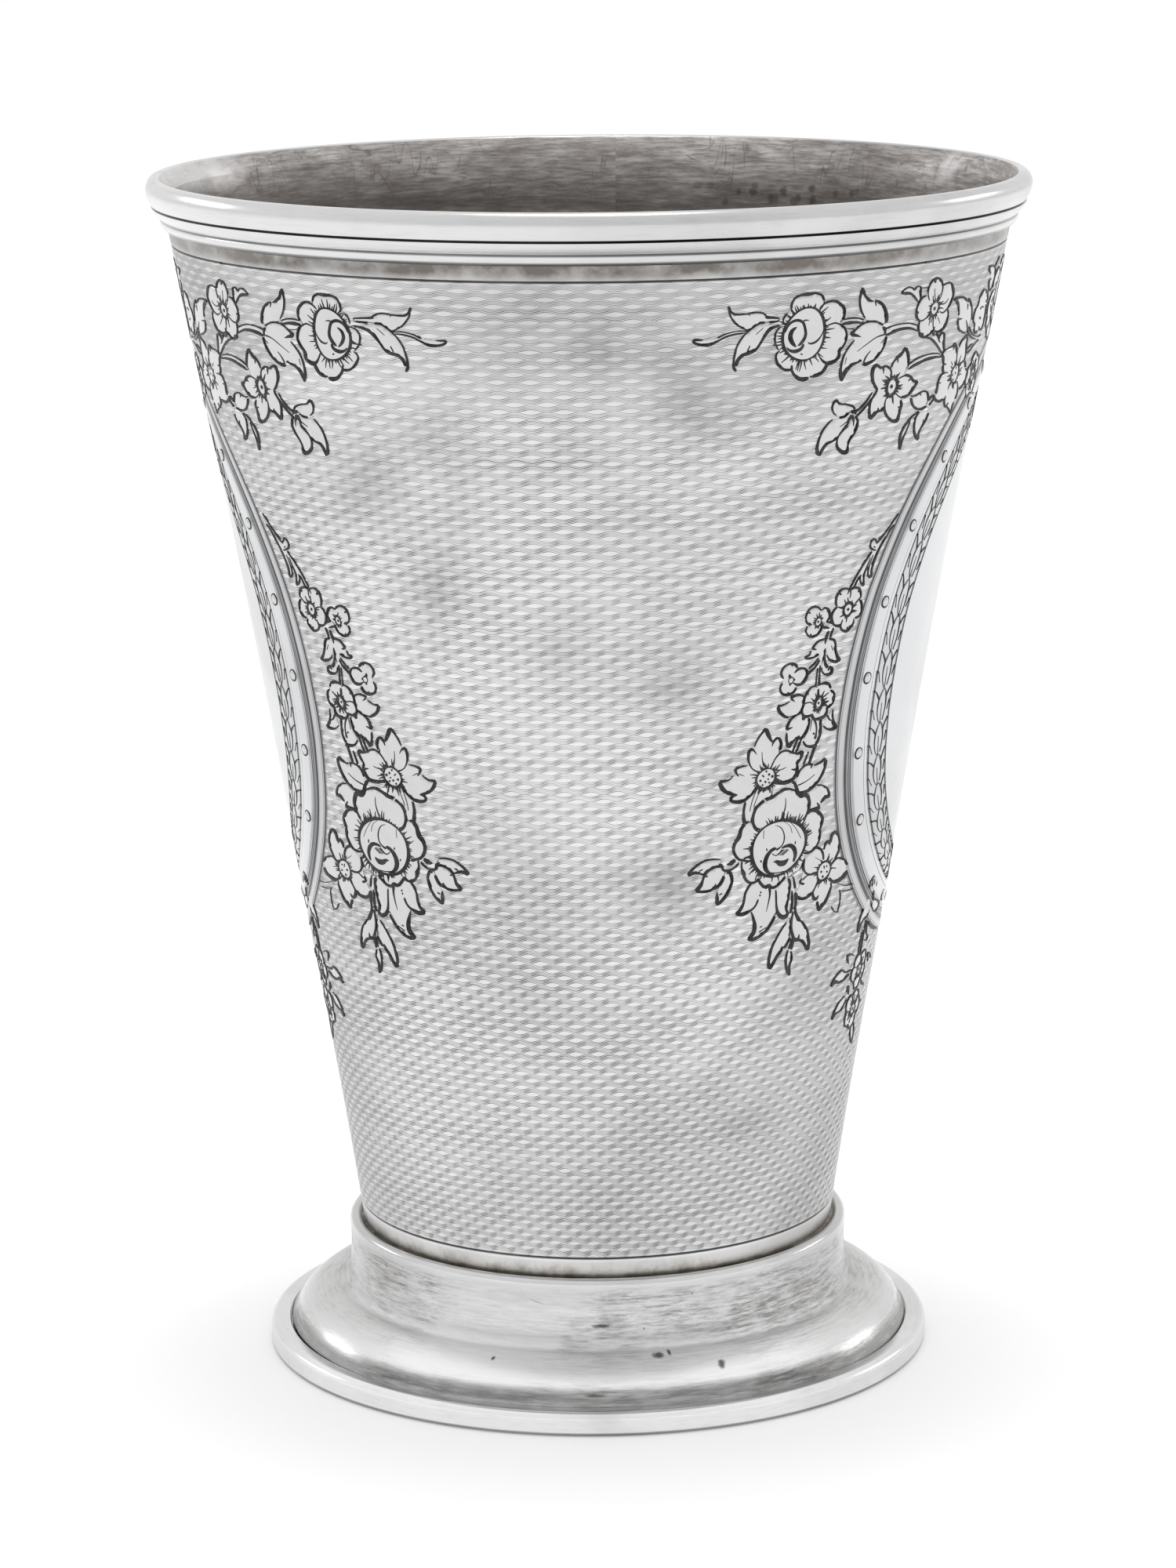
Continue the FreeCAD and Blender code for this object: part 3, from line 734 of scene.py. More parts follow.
def make_solder():
    m = new_mat("silver_solder_seam")
    n = Net(m)
    vec = n.coords()
    a = n.noise(vec, 240.0, 4.0, 0.65)
    b = n.noise(vec, 1400.0, 2.0, 0.5)
    c = n.ramp(a, [(0.38, (0.045, 0.040, 0.034)), (0.62, (0.42, 0.38, 0.31))])
    n.out(c, n.math("ADD", 0.38, n.math("MULTIPLY", b, 0.2)), n.bump(b, 0.4, 0.00006))
    return m


mat_solder = make_solder()

# ------------------------------------------------------------------ the engine-turned wall
WAVES = 80
FIRST_Z, LAST_Z, BANDS = 15.30, 113.30, 136
PITCH_Z = (LAST_Z - FIRST_Z) / BANDS
AMP = 0.135
OVAL_Z = 73.7
DRIFT_T = np.radians([90, 110, 130, 150, 165, 175, 185, 200, 215, 230, 250, 270])
DRIFT_A = np.array([0.10, 0.20, 0.30, 0.42, 0.30, 0.02, -0.18, -0.20, 0.0, 0.05, 0.0, 0.0])


def oval_drift(t):
    """How far the hand-cut oval wanders from a true one, by direction, alike on both halves."""
    t = np.mod(np.asarray(t, float), 2 * math.pi)
    t = np.where((t < math.pi / 2) | (t > 1.5 * math.pi), np.mod(math.pi - t, 2 * math.pi), t)
    return np.interp(t, DRIFT_T, DRIFT_A)


OVAL_TAPER = math.radians(4.5)   # each flank of an oval is set in by this much from an ellipse


def oval_at(t, a):
    """Arc distance from the oval's centre line, and height, for direction t and size a."""
    aa = np.asarray(a) + oval_drift(t) * np.clip(np.asarray(a) / 18.0, 0, 1)
    full = np.clip(np.asarray(a) / 17.0, 0, 1)
    z = OVAL_Z + (aa + 4.0 * full) * np.sin(t)
    return aa * np.cos(t) - full * OVAL_TAPER * wall_r(z) * np.tanh(3.2 * np.cos(t)), z


def oval_size(u, z):
    """Size a of the oval through the point: u is the arc distance, z the height."""
    dz = z - OVAL_Z
    flank = OVAL_TAPER * wall_r(z)
    wide = u
    a = np.hypot(u, dz) - 2.0
    for _ in range(14):
        c = np.clip(wide / np.maximum(a, 1.0), -1.0, 1.0)
        wide = 0.5 * wide + 0.5 * (u + flank * np.tanh(3.2 * c))
        a = a + (np.hypot(wide / np.maximum(a, 1.0), dz / np.maximum(a + 4.0, 1.0)) - 1.0) * a
    t = np.arctan2(dz / np.maximum(a + 4.0, 1.0), wide / np.maximum(a, 1.0))
    return a - oval_drift(t)


# The chuck of the lathe was never quite true: how the phase of the waves creeps round with height, and
# how far the bands stand off their even pitch.
TURN_Z = np.concatenate([np.arange(15.0, 111.0, 5.0), [114.0]])
TURN_PHASE = np.array([2.30, 1.67, 1.00, 0.63, 0.24, -0.18, -0.52, -0.96, -1.27, -1.51, -1.82, -2.18, -2.42, -2.71, -2.95,
                       -3.10, -3.49, -3.70, -3.82, -3.88, -3.90])
TURN_LIFT = np.array([-0.15, -0.12, -0.105, -0.055, 0.0, 0.04, 0.046, 0.09, 0.09, 0.09, 0.11, 0.16, 0.174, 0.147, 0.19,
                      0.19, 0.22, 0.21, 0.15, 0.05, 0.0])
TURN_TILT = 0.36


def skin_rows():
    """Every row of the wall's outside, low to high: (height, amplitude, offset, depth, cut, bold stretch)."""
    rng = np.random.default_rng(11)
    rows = []
    flat = lambda z, d, c: rows.append((z, 0.0, None, d, c, None))
    for z, d, c in ((12.3, 0, 0), (13.0, 0, 0), (13.6, 0, 0), (14.2, 0, 0), (14.7, 0, 0), (14.94, 0, 0),
                    (15.04, -0.10, 0.9), (15.10, -0.13, 1.0), (15.16, -0.10, 0.9), (15.24, 0, 0)):
        flat(z, d, c)
    for k in range(BANDS):
        zc = FIRST_Z + (k + 0.5) * PITCH_Z + rng.normal() * 0.008
        s = AMP * (1 if k % 2 == 0 else -1) * (1 + rng.normal() * 0.05)
        for o, d, c in ((-0.235, -0.036, 0.92), (-0.157, -0.007, 0.0), (-0.078, -0.030, 0.85), (0.0, -0.007, 0.0),
                        (0.078, -0.030, 0.85), (0.157, -0.007, 0.0), (0.235, -0.036, 1.0)):
            bold = None
            if c > 0 and rng.uniform() < 0.04:
                bold = (rng.uniform(-math.pi, math.pi), rng.uniform(0.15, 0.7))
            rows.append((zc, s, o, d * (1 + rng.normal() * 0.08), c * (1 + 0.12 * rng.normal()), bold))
    for z, d, c in ((113.31, 0, 0), (113.39, -0.10, 0.9), (113.45, -0.13, 1.0), (113.51, -0.10, 0.9), (113.61, 0, 0),
                    (113.9, 0, 0), (114.3, 0, 0), (114.7, 0, 0), (115.0, 0, 0), (115.5, 0, 0)):
        flat(z, d, c)
    return rows


ROWS = skin_rows()
SECTORS, PER = 10, 8
COLS = WAVES // SECTORS * PER + 1


def skin_surface(th):
    """Heights, depths and cut strengths of the turned skin at the angles th."""
    COLS = len(th)
    Z, D, C, KIND = [], [], [], []
    for zc, s, o, d, c, bold in ROWS:
        D.append(np.full(COLS, d))
        if o is None:
            Z.append(np.full(COLS, zc)); KIND.append(0); C.append(np.full(COLS, c))
            continue
        fade = float(np.clip((zc - 15.3) / 7.0, 0, 1) * np.clip((113.3 - zc) / 7.0, 0, 1))
        fade = fade * fade * (3 - 2 * fade)
        at = WAVES * th + float(np.interp(zc, TURN_Z, TURN_PHASE))
        Z.append(zc + o + s * np.cos(at) + fade * (float(np.interp(zc, TURN_Z, TURN_LIFT)) + TURN_TILT * np.sin(th - SEEN)))
        KIND.append(1 if o < -0.2 else (2 if o > 0.2 else 3))
        # painted shade: the stretches where the line climbs get darker cuts, standing in for the shaded flank of each
        # cut, weaker near the top and stronger on the left
        painted_flank_shade = np.clip(-math.copysign(1.0, s) * np.sin(at), 0, 1) ** 2.4
        flank_shade_strength = (0.30 + 0.70 * float(np.clip((104.0 - zc) / 14.0, 0, 1))) * (0.82 - 0.15 * np.sin(th - SEEN))
        low = float(np.clip((64.0 - zc) / 30.0, 0, 1))
        base = 0.60 + 0.06 * low - 0.05 * float(np.clip((40.0 - zc) / 20.0, 0, 1))
        line = base + (0.76 + 0.52 * low) * painted_flank_shade * flank_shade_strength
        if bold is not None:
            off = np.abs(np.angle(np.exp(1j * (th - bold[0]))))
            line = np.maximum(line, 0.85 * np.clip((bold[1] - off) / 0.06, 0, 1))
        C.append(np.clip(c * line, 0, 1))
    # a cut line is strongest where it passes over a bright cell
    outZ, outD, outC = [], [], []
    for r in range(len(Z)):
        if KIND[r] == 1:
            below = Z[r - 1]
            gap = np.maximum(Z[r] - below, 0.004)
            outZ.append(Z[r] - np.minimum(0.052, 0.42 * gap)); outD.append(np.full(COLS, -0.001)); outC.append(np.zeros(COLS))
            swell = np.clip((gap - 0.05) / 0.4, 0, 1)
            outZ.append(Z[r]); outD.append(D[r] * (0.75 + 0.45 * swell)); outC.append(C[r] * (0.72 + 0.28 * swell))
        elif KIND[r] == 2:
            above = Z[r + 1]
            gap = np.maximum(above - Z[r], 0.004)
            swell = np.clip((gap - 0.05) / 0.4, 0, 1)
            outZ.append(Z[r]); outD.append(D[r] * (0.75 + 0.45 * swell)); outC.append(C[r] * (0.72 + 0.28 * swell))
            outZ.append(Z[r] + np.minimum(0.052, 0.42 * gap)); outD.append(np.full(COLS, -0.001)); outC.append(np.zeros(COLS))
        else:
            outZ.append(Z[r]); outD.append(D[r]); outC.append(C[r])
    Z, D, C = np.array(outZ), np.array(outD), np.array(outC)
    Z = np.maximum.accumulate(Z + np.arange(len(Z))[:, None] * 1e-6, axis=0)
    # under the two oval medallions the wall lies lower, and carries no turning
    for side in (0.5 * math.pi, -0.5 * math.pi, 1.5 * math.pi):
        u = (th[None, :] - side) * wall_r(Z)
        near = np.abs(u) < 32
        a = np.where(near, oval_size(np.where(near, u, 40.0), Z), 60.0)
        sink = np.clip((26.72 - a) / 0.30, 0, 1)
        D = np.where(a < 26.75, D * (1 - sink) - 0.22 * sink, D)
        C = C * (1 - sink)
    return Z, D, C


def zip_strip(a, b, za, zb):
    """Triangles between two rising chains of vertex numbers."""
    i = j = 0
    out = []
    while i < len(a) - 1 or j < len(b) - 1:
        if j == len(b) - 1 or (i < len(a) - 1 and za[i + 1] <= zb[j + 1]):
            out.append((a[i], a[i + 1], b[j]))
            i += 1
        else:
            out.append((a[i], b[j + 1], b[j]))
            j += 1
    return np.array(out)


def skin_sector(i):
    step = 36.0 / (COLS - 1)
    th3 = np.radians(-18.0 + 36.0 * i + step * np.arange(-1, COLS + 1))
    Z3, D3, C3 = skin_surface(th3)
    P3 = on_wall(th3[None, :], Z3, D3)
    along = P3[:, 2:] - P3[:, :-2]
    rise = np.empty_like(P3)
    rise[1:-1] = P3[2:] - P3[:-2]
    rise[0], rise[-1] = P3[1] - P3[0], P3[-1] - P3[-2]
    nor = np.cross(along, rise[:, 1:-1])
    nor /= np.linalg.norm(nor, axis=-1, keepdims=True)
    th, Z, D, C = th3[1:-1], Z3[:, 1:-1], D3[:, 1:-1], C3[:, 1:-1]
    front = P3[:, 1:-1]
    back_z = np.linspace(Z[0, 0], Z[-1, 0], 14)
    back = on_wall(th[None, :], np.repeat(back_z[:, None], COLS, 1), -0.44)
    R, B = len(Z), len(back_z)
    fi = np.arange(R * COLS).reshape(R, COLS)
    bi = R * COLS + np.arange(B * COLS).reshape(B, COLS)
    q = lambda g: np.stack([g[:-1, :-1], g[:-1, 1:], g[1:, 1:], g[1:, :-1]], -1).reshape(-1, 4)
    fq = q(fi)
    bq = q(bi)[:, ::-1]
    top = np.stack([fi[-1, :-1], fi[-1, 1:], bi[-1, 1:], bi[-1, :-1]], -1)
    bot = np.stack([bi[0, :-1], bi[0, 1:], fi[0, 1:], fi[0, :-1]], -1)
    left = zip_strip(fi[:, 0], bi[:, 0], Z[:, 0], back_z)
    right_ = zip_strip(fi[:, -1], bi[:, -1], Z[:, -1], back_z)[:, ::-1]
    # four strips side by side, so that the map has as many points along a line as across it
    strips = 4
    row = np.arange(R - 1)
    strip = np.minimum(row * strips // (R - 1), strips - 1)
    r0 = np.array([row[strip == k][0] for k in range(strips)])[strip]
    r1 = np.array([row[strip == k][-1] + 1 for k in range(strips)])[strip]
    vv = lambda rr: 0.005 + 0.94 * (rr - r0) / (r1 - r0)
    c0 = np.arange(COLS - 1) / (COLS - 1)
    c1 = c0 + 1.0 / (COLS - 1)
    U0 = (strip[:, None] + 0.02 + 0.96 * c0[None, :]) / strips
    U1 = (strip[:, None] + 0.02 + 0.96 * c1[None, :]) / strips
    V0 = np.repeat(vv(row)[:, None], COLS - 1, 1)
    V1 = np.repeat(vv(row + 1)[:, None], COLS - 1, 1)
    uvf = np.stack([np.stack([U0, V0], -1), np.stack([U1, V0], -1), np.stack([U1, V1], -1), np.stack([U0, V1], -1)], 2).reshape(-1, 4, 2)

    def small(n, k, x0):
        base = np.zeros((n, k, 2))
        base[..., 0] = x0 + 0.2 * (np.arange(n)[:, None] + np.linspace(0, 0.9, k)[None, :]) / n
        base[..., 1] = 0.96 + 0.03 * (np.arange(k) % 2)[None, :]
        return base

    uvs = [uvf, small(len(bq), 4, 0.0), small(len(top), 4, 0.21), small(len(bot), 4, 0.36),
           small(len(left), 3, 0.66 - 0.1), small(len(right_), 3, 0.78)]
    cut = np.concatenate([C.ravel(), np.zeros(B * COLS)])
    return build("wall_turned_%02d" % i, np.vstack([front.reshape(-1, 3), back.reshape(-1, 3)]),
                 [(fq, True), (bq, False), (top, False), (bot, False), (left, False), (right_, False)],
                 cut=cut, uv=uvs, mat=mat_turned, node="body_wall",
                 normals=nor.reshape(-1, 3)[fq].reshape(-1, 3))


for i in range(SECTORS):
    skin_sector(i)

# the inside of the wall
zi = np.concatenate([np.linspace(9.25, 20, 8), np.linspace(22, 116, 60), [117.2, 118.26]])
inner = np.stack([wall_r(zi) - GAUGE, zi], -1)
outer = np.stack([wall_r(zi) - 0.46, zi], -1)[::-1]
lathe("wall_inside", chain(inner, outer), 300, mat_inside, "body_wall", uneven=0.012, seed=5)

# ------------------------------------------------------------------ lip, foot, bottom, solder
lip_profile = chain(
    seg((41.735, 115.0), (42.36, 118.2), 4),
    seg((42.36, 118.2), (41.56, 118.2), 3),
    spline([(41.56, 118.2), (41.86, 118.90), (42.20, 119.50), (42.46, 119.86)], count=12)[0],
    arc3((42.46, 119.86), (42.68, 119.975), (42.95, 120.0), 7),
    spline([(42.95, 120.0), (43.35, 119.90), (43.68, 119.55), (43.88, 118.95), (43.80, 118.35), (43.62, 117.85), (43.42, 117.45)], count=30)[0],
    seg((43.42, 117.45), (43.30, 117.36)), seg((43.30, 117.36), (43.20, 117.31)), seg((43.20, 117.31), (43.27, 117.24)), seg((43.27, 117.24), (43.36, 117.18)),
    spline([(43.36, 117.18), (43.22, 116.85), (42.98, 116.52), (42.74, 116.28)], count=12)[0],
    spline([(42.74, 116.28), (42.56, 116.12), (42.48, 115.96), (42.52, 115.82)], count=8)[0],
    spline([(42.52, 115.82), (42.44, 115.48), (42.24, 115.18), (42.00, 115.0)], count=10)[0],
    seg((42.00, 115.0), (41.735, 115.0), 3))
lathe("lip", lip_profile, 420, mat_lip, "lip_moulding", uneven=0.022, seed=21, sharp=30)

foot_profile = chain(
    seg((23.80, 11.0), (24.05, 12.7), 4),
    seg((24.05, 12.7), (24.52, 13.02), 3),
    arc3((24.52, 13.02), (24.98, 13.22), (25.44, 13.02), 10),
    arc3((25.44, 13.02), (25.57, 12.83), (25.62, 12.60), 7),
    bez([(25.62, 12.60), (25.50, 11.0), (25.50, 9.0), (25.75, 7.60)], 26),
    bez([(25.75, 7.60), (25.90, 6.70), (26.30, 6.25), (26.80, 6.15)], 14),
    bez([(26.80, 6.15), (28.50, 5.95), (31.15, 4.55), (31.80, 2.30)], 34),
    seg((31.80, 2.30), (31.80, 1.20), 3),
    seg((31.80, 1.20), (31.02, 1.20), 2),
    seg((31.02, 1.20), (31.02, 2.20), 3),
    bez([(31.02, 2.20), (30.45, 4.05), (28.20, 5.20), (26.60, 5.35)], 20),
    bez([(26.60, 5.35), (25.70, 5.50), (25.10, 6.40), (24.95, 7.50)], 10),
    bez([(24.95, 7.50), (24.72, 8.8), (24.72, 9.6), (24.76, 10.20)], 8),
    seg((24.76, 10.20), (23.80, 11.0), 3))
lathe("foot", foot_profile, 400, mat_foot, "foot_shell", uneven=0.025, seed=31, sharp=42,
      dents=[(math.radians(7.5), 8.6, 1.1, 0.10), (math.radians(-4.5), 10.6, 1.6, 0.06), (math.radians(28.5), 9.2, 1.8, 0.08)])

rim_profile = chain(
    seg((31.02, 0.15), (31.02, 1.20), 3),
    seg((31.02, 1.20), (31.83, 1.20), 2),
    seg((31.83, 1.20), (31.83, 2.10), 3),
    seg((31.83, 2.10), (31.98, 2.25), 3),
    seg((31.98, 2.25), (33.18, 2.30), 6),
    arc3((33.18, 2.30), (33.66, 2.09), (33.87, 1.60), 12),
    seg((33.87, 1.60), (33.87, 0.20), 8),
    arc3((33.87, 0.20), (33.81, 0.06), (33.68, 0.0), 5),
    seg((33.68, 0.0), (31.15, 0.0), 5),
    seg((31.15, 0.0), (31.02, 0.15), 3))
lathe("foot_wire", rim_profile, 400, mat_rim, "foot_rim", uneven=0.018, seed=41, sharp=34)

disc = chain(
    seg((0.0, 9.90), (0.0, 9.0), 2), )
disc_profile = np.vstack([
    bez([(0.0, 9.90), (9.0, 9.90), (15.0, 9.2), (21.4, 9.2)], 24),
    seg((21.4, 9.2), (23.59, 9.2), 5)[1:],
    arc3((23.59, 9.2), (23.767, 9.127), (23.84, 8.95), 5)[1:],
    seg((23.84, 8.95), (23.84, 8.30), 3)[1:],
    seg((23.84, 8.30), (21.4, 8.30), 3)[1:],
    bez([(21.4, 8.30), (15.0, 8.30), (9.0, 9.0), (0.0, 9.0)], 24)[1:]])
lathe("cup_bottom", disc_profile, 240, mat_bottom, "floor_disc", uneven=0.0, seed=51, poles=True)

seam = chain(seg((24.05, 12.7), (24.092, 12.97), 3),
             spline([(24.092, 12.97), (24.22, 12.945), (24.36, 12.955), (24.455, 12.975)], count=7)[0],
             seg((24.455, 12.975), (24.05, 12.7), 5))
lathe("solder_collar", seam, 300, mat_solder, "collar_solder", uneven=0.006, seed=61)
fillet = chain(seg((22.74, 9.22), (22.872, 10.1), 4),
               arc3((22.872, 10.1), (22.50, 9.48), (21.84, 9.22), 10),
               seg((21.84, 9.22), (22.74, 9.22), 4))
lathe("solder_bottom", fillet, 240, mat_solder, "floor_solder", uneven=0.006, seed=71)

